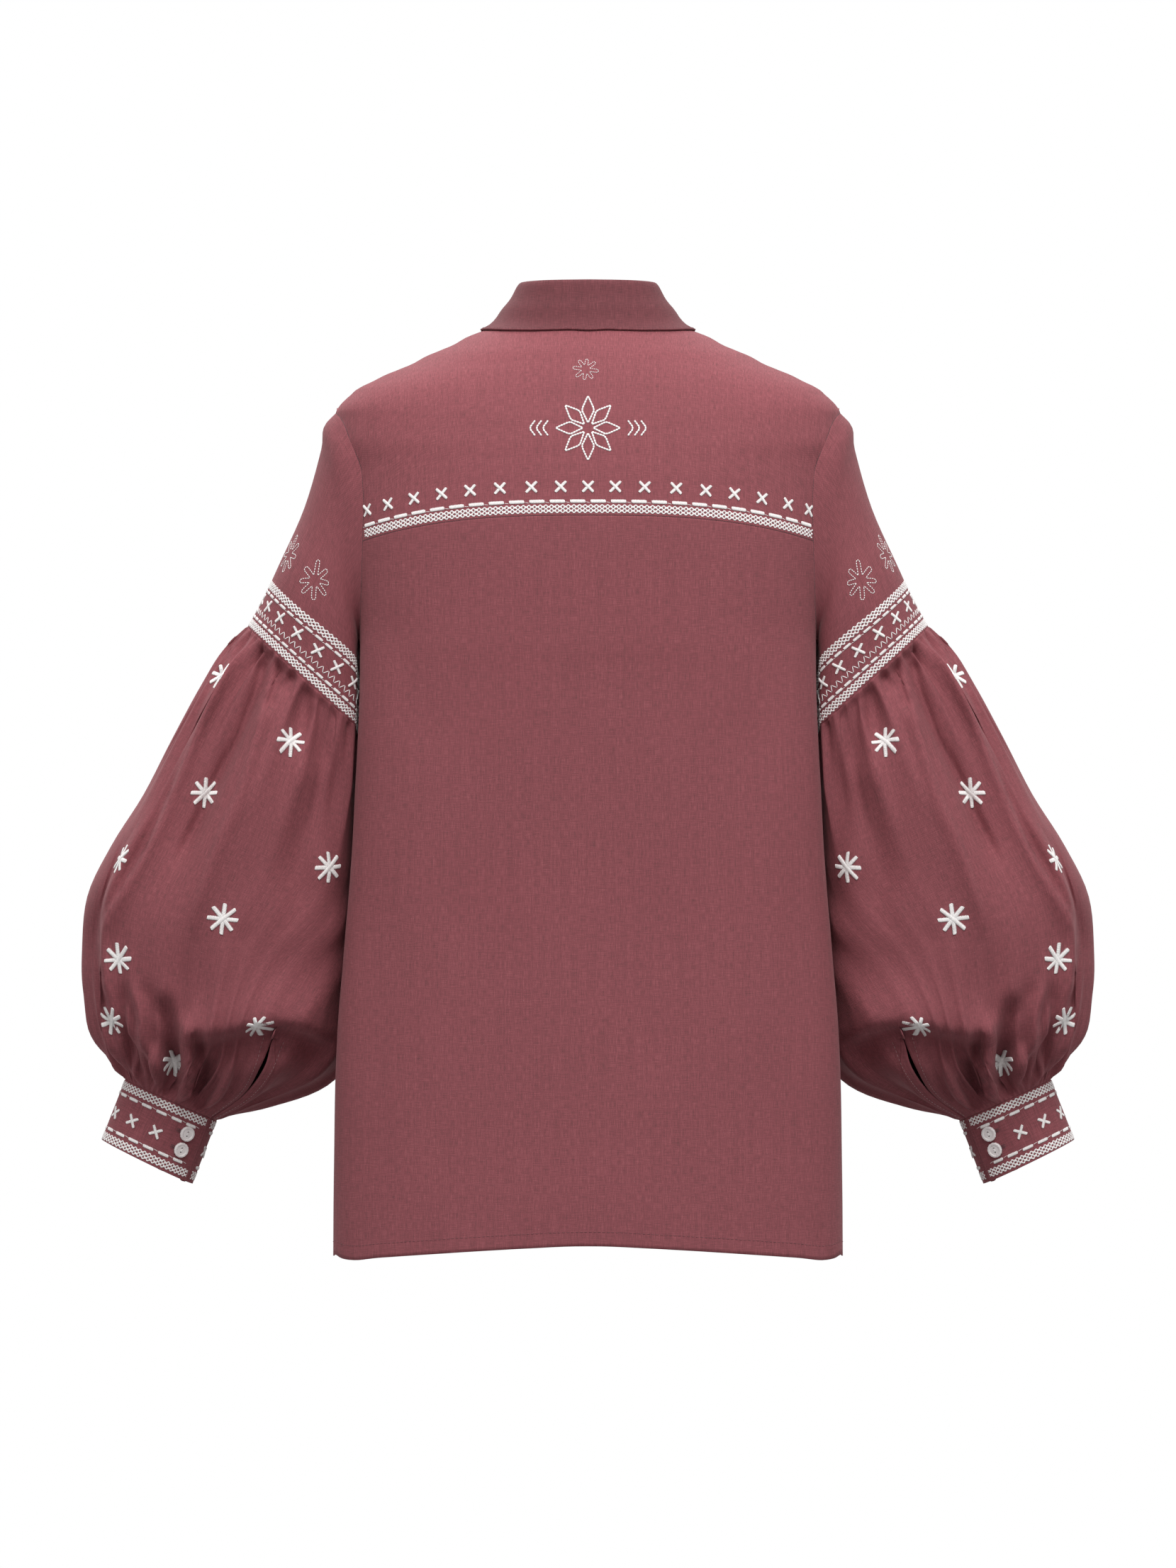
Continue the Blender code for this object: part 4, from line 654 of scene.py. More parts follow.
def shoulder_seam():
    """The seam between the yoke and a front, straight from armhole to neck from above."""
    arm_corner = joined(armhole(np.array([YOKE_FRONT_TURN])))[0]
    neck_corner = joined(neck(np.array([YOKE_NECK_STATION])))[0]
    share = np.array(YOKE_ROWS)
    height = arm_corner[1] * (1.0 - share) + neck_corner[1] * share
    start, end = torso(*arm_corner), torso(*neck_corner)
    run = end - start

    def behind(angle):
        off = torso(angle, height) - start
        return off[:, 0] * run[1] - off[:, 1] * run[0] > 0.0

    low, high = halved(
        np.full(share.shape, SIDE_SEAM_ANGLE), np.full(share.shape, SHOULDER_SEAM_END),
        behind, HALVINGS,
    )
    angle = (low + high) / 2.0
    angle[0], angle[-1] = arm_corner[0], neck_corner[0]
    return angle, height


def front_line(x, height):
    """The angle at which a plumb line x out from the centre front lies on the body."""
    row = columns_of(TORSO_COLUMNS, TORSO, height)
    across = (np.abs(x) / row["half_width"]) ** (row["front_square"] / 2.0)
    return CENTRE_FRONT - np.sign(x) * np.arcsin(across) / DEGREES


def evenly(line, start, end, cells, crowding=1.0):
    """Parameters that cut a seam line into cells of equal length, or crowd them to its end."""
    fine = np.linspace(start, end, 321)
    covered = run_along(torso(*line(fine)))
    share = 1.0 - (1.0 - np.linspace(0.0, 1.0, cells + 1)) ** crowding
    return np.interp(share * covered[-1], covered, fine)


def joined(*lines):
    """Seam lines that follow one another, as one line without its doubled corners."""
    parts = [np.stack(line, axis=-1)[(index > 0):] for index, line in enumerate(lines)]
    return np.concatenate(parts)


def spread_between(bottom, top, left, right):
    """Places on the body between four seam lines. The row at the underarm runs straight
    across, and the bends of the bottom and the top seam fade out towards it."""
    row = np.arange(len(left))
    low = np.clip(1.0 - row / SIDE_CELLS, 0.0, 1.0)[:, None, None] ** 2
    high = np.clip((row - SIDE_CELLS) / (row[-1] - SIDE_CELLS), 0.0, 1.0)[:, None, None] ** 2
    along = np.linspace(0.0, 1.0, len(bottom))[:, None]
    bottom_bend = bottom - ((1.0 - along) * bottom[0] + along * bottom[-1])
    top_bend = top - ((1.0 - along) * top[0] + along * top[-1])
    straight = (1.0 - along) * left[:, None] + along * right[:, None]
    return straight + low * bottom_bend + high * top_bend


def middle_heights(foot, top, rows):
    """The heights of a panel's rows at the centre, which dip below the underarm's height."""
    lower = np.linspace(foot, UNDERARM_ROW_CENTRE, SIDE_CELLS + 1)
    upper = np.linspace(UNDERARM_ROW_CENTRE, top, rows - SIDE_CELLS)
    return np.concatenate([lower, upper[1:]])


def armhole_turns():
    """The armhole's points by turn: down the back of the yoke, the back, then up the front."""
    yoke_front_part = evenly(armhole, YOKE_FRONT_TURN, YOKE_BACK_TURN, YOKE_ARM_CELLS)
    back_part = evenly(armhole, YOKE_BACK_TURN, 180.0, BACK_ARM_CELLS)
    front_part = evenly(armhole, 180.0, 360.0 + YOKE_FRONT_TURN, FRONT_ARM_CELLS)
    return yoke_front_part, back_part, front_part


def neck_stations():
    """The neck's stations: from the centre back to the yoke's front seam, then to the placket."""
    yoke_part = np.linspace(0.0, YOKE_NECK_STATION, BACK_HALF_CELLS + YOKE_ARM_CELLS + 1)
    fine = np.linspace(YOKE_NECK_STATION, NEAR_CENTRE_FRONT, 400)
    out = torso(*neck(fine))[:, 0]
    placket_station = float(np.interp(-PLACKET_HALF_WIDTH, -out, fine))
    front_part = np.linspace(YOKE_NECK_STATION, placket_station, FRONT_NECK_CELLS + 1)
    return yoke_part, front_part


print("hem at the centre back:", round(float(hem(0.0)[1])), "mm")

# %% [markdown]
# ## The body's panels
# A panel is first a coarse grid of places between its seam lines, then a smooth curve is
# drawn through the grid and read far more finely.

# %% Panels as places
def half_yoke_seam():
    """The yoke seam from the centre back to the armhole."""
    corner_angle = armhole(YOKE_BACK_TURN)[0]
    return yoke_seam(evenly(yoke_seam, 0.0, corner_angle, BACK_HALF_CELLS, SIDE_CROWDING))


def outer_edge(turns):
    """A panel's outer edge: up the side seam and on along the armhole."""
    foot = float(hem(SIDE_SEAM_ANGLE)[1])
    return joined(side_seam(np.linspace(foot, ARMHOLE_BOTTOM, SIDE_CELLS + 1)), armhole(turns))


def whole(half):
    """Places on both sides of the centre back, from those on one side."""
    return np.concatenate([half[:, :0:-1] * np.array([-1.0, 1.0]), half], axis=1)


def back_places():
    """The back: from the hem up to the yoke seam, and from side to side."""
    half_hem = hem(evenly(hem, 0.0, SIDE_SEAM_ANGLE, BACK_HALF_CELLS, SIDE_CROWDING))
    edge = outer_edge(armhole_turns()[1][::-1])
    heights = middle_heights(half_hem[1][0], YOKE_SEAM_CENTRE, len(edge))
    centre = np.stack([np.zeros(len(edge)), heights], axis=-1)
    return whole(spread_between(joined(half_hem), joined(half_yoke_seam()), centre, edge))


def yoke_places():
    """The yoke: from the neck out to the back seam, the armholes and the front seams."""
    outer = joined(half_yoke_seam(), armhole(armhole_turns()[0][::-1]))
    inner = joined(neck(neck_stations()[0]))
    out = np.array(YOKE_ROWS)[:, None, None]
    half = outer[None] * (1.0 - out) + inner[None] * out
    seam_shift = joined(shoulder_seam()) - half[:, -1]
    near_seam = np.clip(np.arange(half.shape[1]) - BACK_HALF_CELLS, 0, None) / YOKE_ARM_CELLS
    return whole(half + seam_shift[:, None] * near_seam[None, :, None] ** 2)


def front_places():
    """The wearer's left front: from the side to the placket, and from hem to neck."""
    edge = outer_edge(armhole_turns()[2])
    top = np.concatenate([joined(shoulder_seam()), joined(neck(neck_stations()[1]))[1:]])
    hem_centre = float(hem(CENTRE_FRONT)[1])
    low_angle = float(front_line(PLACKET_HALF_WIDTH, np.array(hem_centre)))
    hem_angles = evenly(hem, low_angle, SIDE_SEAM_ANGLE, len(top) - 1, SIDE_CROWDING)[::-1]
    bottom = joined(hem(hem_angles))
    heights = middle_heights(bottom[-1, 1], top[-1, 1], len(edge))
    centre = np.stack([front_line(PLACKET_HALF_WIDTH, heights), heights], axis=-1)
    centre[0], centre[-1] = bottom[-1], top[-1]
    return spread_between(bottom, top, edge, centre)


def placket_places(left_reach, right_reach, columns):
    """The strip down the centre front, with its rows at the fronts' own rows."""
    heights = front_places()[:, -1, 1]
    places = np.empty((len(heights), columns, 2))
    for column, x in enumerate(np.linspace(left_reach, -right_reach, columns)):
        places[:, column, 1] = heights
        places[:, column, 0] = front_line(x, heights)
    places[0, :, 1] = hem(places[0, :, 0])[1]
    places[-1, :, 1] = np.interp(
        np.abs(places[-1, :, 0] - CENTRE_FRONT),
        [0.0, abs(places[-1, 0, 0] - CENTRE_FRONT)],
        [float(neck(CENTRE_FRONT)[1]), heights[-1]],
    )
    return places


def smooth_through(stations, values, at, wrap=False, corners=()):
    """Values on a smooth curve through their stations, along the first axis. It may turn
    sharply at the corners, and with wrap it closes on itself after its last station."""
    stations = np.asarray(stations, float)
    values = np.asarray(values, float)
    if wrap:
        period = stations[-1] + stations[1] - 2.0 * stations[0]
        values = np.concatenate([values[-2:], values, values[:3]])
        stations = np.concatenate([stations[-2:] - period, stations, stations[:3] + period])
    shape = (-1,) + (1,) * (values.ndim - 1)
    step = np.diff(stations)
    slope = np.diff(values, axis=0) / step.reshape(shape)
    before, after = step[:-1].reshape(shape), step[1:].reshape(shape)
    bend = (after * slope[:-1] + before * slope[1:]) / (before + after)
    arriving = np.concatenate([slope[:1], bend, slope[-1:]])
    leaving = arriving.copy()
    for corner in corners:
        arriving[corner] = slope[corner - 1]
        leaving[corner] = slope[corner]
    cell = np.clip(np.searchsorted(stations, at, side="right") - 1, 0, len(stations) - 2)
    size = step[cell].reshape(shape)
    t = ((at - stations[cell]) / step[cell]).reshape(shape)
    start, end = values[cell], values[cell + 1]
    return (
        start * (1.0 + 2.0 * t) * (1.0 - t) ** 2 + end * t * t * (3.0 - 2.0 * t)
        + leaving[cell] * size * t * (1.0 - t) ** 2 - arriving[cell + 1] * size * t * t * (1.0 - t)
    )


BESIDE_EDGES = np.array([0.05, 0.16])


def cut_fine(cells, times):
    """Stations that cut each cell into equal steps, with extra ones beside both edges."""
    even = np.linspace(0.0, cells, cells * times + 1)
    return np.unique(np.round(np.concatenate([even, BESIDE_EDGES, cells - BESIDE_EDGES]), 6))


def finer(grid, row_times, column_times, corners=(), row_corners=()):
    """A grid read more finely both ways."""
    rows = cut_fine(grid.shape[0] - 1, row_times)
    columns = cut_fine(grid.shape[1] - 1, column_times)
    tall = smooth_through(np.arange(grid.shape[0]), grid, rows, corners=row_corners)
    wide = smooth_through(
        np.arange(grid.shape[1]), np.swapaxes(tall, 0, 1), columns, corners=corners
    )
    return np.swapaxes(wide, 0, 1)


print("the back is cut from", back_places().shape[:2], "places")

# %% [markdown]
# ## Cloth from a grid
# A real piece of cloth is turned under along its seams, so its edge looks rounded and
# closes on its neighbour. Here every seam edge gets two more rows of points: one straight
# down through the cloth and one a little way back under it. Solidify then gives the sheet
# its thickness.

# %% Cloth from a grid
CLOTH_THICK = 0.6
SEAM_TUCK = (1.1, 4.0)
HEM_TUCK = (0.9, 10.0)
SEAM_UNDER = (1.3, -4.5)
EDGE_REACH = 30.0
ALL_EDGES = ("first_row", "last_row", "first_column", "last_column")
ROWS_INSIDE = 6


def grid_normals(points, wrap):
    """Outward directions of a grid: rows run along the cloth and columns round it."""
    down = np.gradient(points, axis=0)
    if wrap:
        across = np.roll(points, -1, axis=1) - np.roll(points, 1, axis=1)
    else:
        across = np.gradient(points, axis=1)
    return unit(np.cross(down, across))


def edge_aside(edge, normals, inside):
    """At each point of an edge, the direction into the cloth, square to the edge."""
    aside = unit(np.cross(np.gradient(edge, axis=0), normals))
    towards = np.sign(np.sum(aside * (inside - edge), axis=-1, keepdims=True))
    return aside * np.where(towards == 0.0, 1.0, towards)


def tucked(points, normals, uv, edges):
    """The grid with its named edges turned under by a depth and a length."""
    distance = np.full(points.shape[:2], EDGE_REACH)
    for name, (depth, length) in edges.items():
        axis, way = int(name.endswith("column")), -1 if name.startswith("last") else 1
        points, normals, uv, distance = (
            np.swapaxes(grid, 0, axis)[::way] for grid in (points, normals, uv, distance)
        )
        aside = edge_aside(points[0], normals[0], points[min(ROWS_INSIDE, len(points) - 1)])
        distance = np.minimum(distance, run_along(points))
        down = points[0] - normals[0] * depth
        points = np.concatenate([[down + aside * length, down], points])
        normals, uv, distance = (
            np.concatenate([grid[:1], grid[:1], grid]) for grid in (normals, uv, distance)
        )
        points, normals, uv, distance = (
            np.swapaxes(grid[::way], 0, axis) for grid in (points, normals, uv, distance)
        )
    return points, uv, distance


def cell_corners(grid):
    """The four corners of each cell of a grid."""
    return np.stack([grid[:-1, :-1], grid[1:, :-1], grid[1:, 1:], grid[:-1, 1:]], axis=2)


def walled(name, data, thick):
    """A sheet put in the scene with its thickness on its inner side."""
    made = bpy.data.objects.new(name, data)
    scene.collection.objects.link(made)
    wall = made.modifiers.new("thickness", "SOLIDIFY")
    wall.thickness = thick * MM
    wall.offset = -1.0
    return made


def cloth_piece(
    name, points, uv, distance, wrap=False, missing=None, thick=CLOTH_THICK, finish=linen
):
    """A sheet of linen from a grid, with its weave's UV map and its distance from an edge."""
    rows, columns = points.shape[:2]
    index = np.arange(rows * columns).reshape(rows, columns)
    if wrap:
        index = np.concatenate([index, index[:, :1]], axis=1)
    corners, uv_corners = cell_corners(index), cell_corners(uv)
    keep = np.ones(corners.shape[:2], bool) if missing is None else ~missing
    data = bpy.data.meshes.new(name)
    data.from_pydata((points.reshape(-1, 3) * MM).tolist(), [], corners[keep].tolist())
    layer = data.uv_layers.new(name="cloth")
    layer.data.foreach_set("uv", (uv_corners[keep].reshape(-1) * MM).astype(np.float32))
    near = data.attributes.new("edge", "FLOAT", "POINT")
    near.data.foreach_set("value", distance.reshape(-1).astype(np.float32))
    data.materials.append(finish)
    data.shade_smooth()
    return walled(name, data, thick)


cloth_grids = {}


def settle(piece, nodes):
    """Hangs a piece of cloth on the frame's root body, hides the solids it stands for, and prints
    how much cloth it holds.
    """
    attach(piece, "root")
    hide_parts(*nodes)
    size = sum(face.area for face in piece.data.polygons)
    print(f"{piece.name} replaces {', '.join(nodes)}: {size:.4f} square metres of cloth")


# %% [markdown]
# ## The body's creases
# Loose linen on a wearer is smooth, with a few long soft folds: from the arms towards the
# waist, down the sides, and small slanting puckers where the hem turns up. Each is a trough
# or a ridge between two points seen from behind or from in front, and fades at both ends.

# %% Creases of the body
CREASE_COLUMNS = ("from_x", "from_z", "to_x", "to_z", "half_width", "height")
BACK_CREASES = (
    (150.0, -215.0, 120.0, -330.0, 16.0, -1.3),
    (-152.0, -212.0, -126.0, -345.0, 18.0, -1.5),
    (128.0, -300.0, 118.0, -560.0, 24.0, 1.4),
    (-134.0, -340.0, -120.0, -600.0, 26.0, 1.5),
    (70.0, -420.0, 76.0, -700.0, 26.0, -1.5),
    (-62.0, -380.0, -70.0, -690.0, 28.0, -1.3),
    (10.0, -470.0, 4.0, -705.0, 30.0, 1.2),
    (160.0, -420.0, 166.0, -700.0, 15.0, -1.6),
    (-158.0, -400.0, -164.0, -690.0, 16.0, -1.5),
    (38.0, -690.0, 50.0, -716.0, 7.0, -0.7),
    (96.0, -694.0, 106.0, -718.0, 7.0, 0.7),
    (-86.0, -692.0, -98.0, -717.0, 8.0, 0.7),
    (168.0, -690.0, 184.0, -722.0, 5.0, -1.0),
    (-170.0, -688.0, -186.0, -722.0, 5.0, -1.0),
)
FRONT_CREASES = (
    (152.0, -205.0, 96.0, -330.0, 15.0, -2.4),
    (-150.0, -205.0, -100.0, -350.0, 16.0, -2.6),
    (160.0, -225.0, 128.0, -400.0, 14.0, 1.8),
    (-160.0, -230.0, -124.0, -380.0, 14.0, 1.9),
    (66.0, -240.0, 78.0, -640.0, 22.0, -2.4),
    (-60.0, -260.0, -74.0, -600.0, 20.0, -2.1),
    (112.0, -330.0, 124.0, -700.0, 22.0, 2.2),
    (-108.0, -300.0, -120.0, -690.0, 24.0, 2.3),
    (34.0, -330.0, 40.0, -700.0, 15.0, 1.4),
    (-36.0, -400.0, -42.0, -700.0, 16.0, 1.3),
    (154.0, -400.0, 162.0, -690.0, 14.0, -1.8),
    (-152.0, -380.0, -160.0, -680.0, 14.0, -1.9),
    (120.0, -60.0, 100.0, -150.0, 14.0, -1.2),
    (-118.0, -60.0, -104.0, -160.0, 14.0, -1.2),
)
CREASE_FADE = 2.5
CREASE_END = 0.3


def crease_heights(x, z, table):
    """How far each point stands out for a table's troughs and ridges."""
    total = np.zeros(x.shape)
    for row in table:
        crease = dict(zip(CREASE_COLUMNS, row))
        run_x = crease["to_x"] - crease["from_x"]
        run_z = crease["to_z"] - crease["from_z"]
        length = math.hypot(run_x, run_z)
        off_x, off_z = x - crease["from_x"], z - crease["from_z"]
        along = (off_x * run_x + off_z * run_z) / length ** 2
        across = (off_x * run_z - off_z * run_x) / length
        fade = eased(along * CREASE_FADE + CREASE_END)
        fade = fade * eased((1.0 - along) * CREASE_FADE + CREASE_END)
        total += crease["height"] * fade * np.exp(-((across / crease["half_width"]) ** 2))
    return total


SEAM_CALM_ROWS = 6.0


def off_seams(shape):
    """Zero at the top and the sides, which must keep their seam lines, and soon one inside."""
    ramp = eased(np.arange(max(shape)) / SEAM_CALM_ROWS)
    rows, columns = ramp[: shape[0], None], ramp[None, : shape[1]]
    return rows[::-1] * columns * columns[:, ::-1]


HEM_DROP = 7.0
HEM_DROP_WIDTH = 7.5
HEM_DROP_REACH = 45.0
HEM_CORNER = 7.0
HEM_CORNER_TIMES = 3.0
HALF_HEM = 197.6
HEM_FOOT = -716.0


def hem_settled(points):
    """The hem hangs lower beside the side seams, so its corners look square and full."""
    from_side = np.maximum((HALF_HEM - np.abs(points[..., 0])) / HEM_DROP_WIDTH, 0.0)
    up = np.clip((points[..., 2] - HEM_FOOT) / HEM_DROP_REACH, 0.0, 1.0)
    drop = HEM_DROP * np.exp(-(from_side ** 2))
    drop = drop + HEM_CORNER * np.exp(-((HEM_CORNER_TIMES * from_side) ** 2))
    drop = drop * (1.0 - up) ** 2
    return points - np.stack([np.zeros(drop.shape), np.zeros(drop.shape), drop], axis=-1)


def body_panel(places, creases, sign=1.0):
    """A fine panel on the body: its points and its outward directions."""
    angle, height = places[..., 0], places[..., 1]
    points, normals = torso(angle, height), torso_normal(angle, height)
    lift = crease_heights(points[..., 0] * sign, points[..., 2], creases)
    lift = lift * off_seams(lift.shape)
    points = hem_settled(points + normals * lift[..., None])
    return points, grid_normals(points, wrap=False) if creases else normals


def weave_upright(points, centre):
    """Warp upright and weft level: the distance round from a column, and the height."""
    covered = np.swapaxes(run_along(np.swapaxes(points, 0, 1)), 0, 1)
    return np.stack([covered - covered[:, centre : centre + 1], points[..., 2]], axis=-1)


def weave_over_shoulder(points):
    """Warp along the back, followed over the shoulder by depth and height together."""
    return np.stack([points[..., 0], points[..., 2] - points[..., 1]], axis=-1)


print(len(BACK_CREASES) + len(FRONT_CREASES), "creases on the body")

# %% [markdown]
# ## Back, yoke, fronts and plackets

# %% The back
fine = finer(back_places(), row_times=6, column_times=6, row_corners=(SIDE_CELLS,))
points, normals = body_panel(fine, BACK_CREASES)
cloth_grids["back"] = (points, normals)
uv = weave_upright(points, points.shape[1] // 2)
grid = tucked(points, normals, uv, {**dict.fromkeys(ALL_EDGES, SEAM_UNDER), "first_row": HEM_TUCK})
back = cloth_piece("back_cloth", *grid)
settle(back, ["back"])

# %% The yoke
YOKE_CORNERS = (YOKE_ARM_CELLS, YOKE_ARM_CELLS + 2 * BACK_HALF_CELLS)
fine = finer(yoke_places(), row_times=8, column_times=5, corners=YOKE_CORNERS)
points, normals = body_panel(fine, creases=())
uv = weave_over_shoulder(points)
grid = tucked(points, normals, uv, dict.fromkeys(ALL_EDGES, SEAM_TUCK))
yoke = cloth_piece("back_yoke_cloth", *grid, finish=yoke_linen_painted_light)
settle(yoke, ["back_yoke"])

# %% The fronts
NECK_CORNER = len(YOKE_ROWS) - 1
for side, sign in (("left", 1.0), ("right", -1.0)):
    turned = np.array([sign, 1.0, 1.0])
    fine = finer(front_places(), row_times=6, column_times=6, corners=(NECK_CORNER,),
                 row_corners=(SIDE_CELLS,))
    points, normals = body_panel(fine, FRONT_CREASES, sign)
    cloth_grids[f"front_{side}"] = (points * turned, normals * turned)
    uv = weave_upright(points, points.shape[1] - 1)
    points, uv, distance = tucked(points, normals, uv, {
        "first_row": HEM_TUCK, "last_row": SEAM_UNDER,
        "first_column": SEAM_TUCK, "last_column": SEAM_UNDER,
    })
    if sign < 0.0:
        points, uv, distance = points[:, ::-1] * turned, uv[:, ::-1], distance[:, ::-1]
    front = cloth_piece(f"front_{side}_cloth", points, uv, distance)
    settle(front, [f"front_{side}"])

# %% The plackets
DOUBLED_THICK = 0.7
PLACKET_TUCK = (1.2, 5.0)


def placket(node, left_reach, depth, drop):
    """A doubled strip down the centre front."""
    places = placket_places(left_reach, PLACKET_HALF_WIDTH, columns=3)
    fine = finer(places, row_times=5, column_times=6)
    points, normals = torso(fine[..., 0], fine[..., 1]), torso_normal(fine[..., 0], fine[..., 1])
    points = points - normals * depth
    points[-1, :, 2] -= drop
    cloth_grids[node] = (points, normals)
    uv = weave_upright(points, 0)
    grid = tucked(points, normals, uv, dict.fromkeys(ALL_EDGES, PLACKET_TUCK))
    piece = cloth_piece(f"{node}_cloth", *grid, thick=DOUBLED_THICK)
    settle(piece, [node])


placket("placket_over", PLACKET_HALF_WIDTH, depth=-0.4, drop=0.0)
placket("placket_under", UNDER_PLACKET_REACH, depth=2.2, drop=UNDER_PLACKET_DROP)

# %% [markdown]
# ## The sleeves
# Each sleeve is a stack of rings. The upper part is smooth; the lower part is cut much
# wider, gathered into the upper one and into the cuff, and puffs out between them.

# %% The sleeve's rings
RING_COLUMNS = (
    "outer_x", "outer_z", "inner_x", "inner_z", "half_depth", "centre_y", "inner_square",
)
UPPER_RINGS = (
    (209.0, -97.0, 175.0, -245.0, 51.0, 2.0, 2.2),
    (223.0, -145.0, 173.0, -252.0, 56.0, -2.0, 2.4),
    (244.0, -189.0, 171.0, -264.0, 60.0, -8.0, 2.6),
    (253.5, -209.0, 169.0, -290.0, 62.5, -14.0, 2.7),
    (264.5, -228.5, 168.0, -316.0, 65.0, -20.0, 2.8),
)
LOWER_RINGS = (
    UPPER_RINGS[-1],
    (279.5, -245.0, 166.0, -338.0, 74.0, -26.0, 2.7),
    (310.5, -294.0, 165.0, -385.0, 86.0, -34.0, 2.6),
    (346.0, -359.0, 166.0, -435.0, 93.0, -40.0, 2.5),
    (376.5, -409.0, 169.0, -480.0, 96.0, -44.0, 2.4),
    (394.0, -458.0, 174.0, -522.0, 95.0, -46.0, 2.3),
    (392.5, -506.0, 184.0, -561.0, 90.0, -48.0, 2.2),
    (385.0, -541.0, 206.0, -582.5, 77.0, -50.0, 2.1),
    (375.0, -561.0, 240.0, -597.0, 58.0, -51.0, 2.05),
    (363.5, -575.5, 272.0, -603.5, 42.0, -52.0, 2.0),
    (361.0, -581.5, 290.0, -613.5, 31.0, -52.0, 2.0),
)
CUFF_RINGS = (
    LOWER_RINGS[-1],
    (379.5, -628.5, 309.0, -663.0, 32.0, -56.0, 2.0),
)
SLEEVE_CLEARANCE = 2.6
CLEARANCE_GROWS = 0.22
CLEARANCE_FADE = 8.0
UPPER_ROWS = (0.0, 0.06, 0.22, 0.42, 0.62, 0.82, 1.0)
SLEEVE_HEAD_LIFT = 4.0
SLEEVE_HEAD_SHARE = 0.25
LOWER_ROWS = (0.0, 0.025, 0.07, 0.15, 0.26, 0.38, 0.5, 0.61, 0.71, 0.79, 0.865, 0.935, 1.0)
GATHER_SHAPE = (1.0, -0.35, -0.65)
GATHER_UNEVENNESS = 0.45
GATHER_ROWS = (
    (0.0, 0.0), (0.025, 1.5), (0.07, 2.7), (0.15, 2.4), (0.26, 1.2), (0.4, 0.3),
    (0.6, 0.3), (0.75, 1.6), (0.86, 3.0), (0.93, 2.6), (0.975, 1.3), (1.0, 0.0),
)
PUFF_FOLD_COLUMNS = ("from_round", "from_row", "to_round", "to_row", "half_width", "height")
PUFF_FOLDS = (
    (0.045, 0.42, 0.055, 0.97, 0.022, -7.0),
    (0.095, 0.30, 0.105, 0.95, 0.030, 4.0),
    (0.150, 0.05, 0.165, 0.62, 0.026, -4.5),
    (0.235, 0.08, 0.205, 0.55, 0.034, 3.5),
    (0.205, 0.60, 0.225, 0.98, 0.026, -5.5),
    (0.330, 0.10, 0.290, 0.50, 0.030, -4.0),
    (0.330, 0.62, 0.345, 0.80, 0.050, 4.5),
    (0.560, 0.30, 0.575, 0.90, 0.028, -5.0),
    (0.660, 0.06, 0.690, 0.60, 0.030, -4.5),
    (0.720, 0.55, 0.735, 0.97, 0.028, -5.5),
    (0.800, 0.08, 0.775, 0.52, 0.034, 4.0),
    (0.870, 0.25, 0.860, 0.92, 0.026, -5.0),
    (0.940, 0.40, 0.930, 0.96, 0.028, 3.5),
)
PUFF_FOLD_FADE = 3.0
SLIT_COLUMN = 28
SLIT_COLUMNS = ("row", "round", "width")
SLIT = (
    (0.79, 0.323, 1.0),
    (0.865, 0.333, 8.5),
    (0.935, 0.373, 1.6),
    (1.0, 0.420, 1.0),
)
SLIT_FIRST_ROW = 9
SLIT_SPREAD = 9.0
SLIT_CALM = 0.4
SLIT_LEAD_FROM = 0.3
FAR_FROM_SEAM = 100.0


def ring(row, shares):
    """A sleeve ring's points at shares of its way round, from its outer side by its back."""
    turn = np.linspace(0.0, 2.0 * math.pi, 361)
    across, along = np.cos(turn), np.sin(turn)
    square = np.where(across < 0.0, row["inner_square"], 2.0)
    outer = np.array([row["outer_x"], 0.0, row["outer_z"]])
    inner = np.array([row["inner_x"], 0.0, row["inner_z"]])
    middle = (outer + inner) / 2.0 + np.array([0.0, row["centre_y"], 0.0])
    half = (outer - inner) / 2.0
    out = np.sign(across) * np.abs(across) ** (2.0 / square)
    back = np.sign(along) * np.abs(along) ** (2.0 / square)
    points = middle + out[:, None] * half
    points = points + back[:, None] * np.array([0.0, row["half_depth"], 0.0])
    covered = run_along(points)
    return read_line((shares % 1.0) * covered[-1], covered, points)


def ring_run(rings):
    """How far along the sleeve each ring of a table lies, from 0 to 1."""
    middles = np.array([[(r[0] + r[2]) / 2.0, r[5], (r[1] + r[3]) / 2.0] for r in rings])
    covered = run_along(middles)
    return covered / covered[-1]


def ring_at(rings, stations, station):
    """The ring table's named columns read at a station along the sleeve."""
    values = through(stations, np.array(rings), np.array([station]))[0]
    return dict(zip(RING_COLUMNS, values))


def clear_of_body(points, from_seam):
    """Sleeve points moved outwards where they would come too near the body's side."""
    clearance = np.minimum(SLEEVE_CLEARANCE, CLEARANCE_GROWS * from_seam)
    least = torso_half_width_at(points[..., 1], points[..., 2]) + clearance
    under = eased((ARMHOLE_BOTTOM + CLEARANCE_FADE / 2.0 - points[..., 2]) / CLEARANCE_FADE)
    moved = points.copy()
    moved[..., 0] += np.maximum(least - points[..., 0], 0.0) * under
    return moved


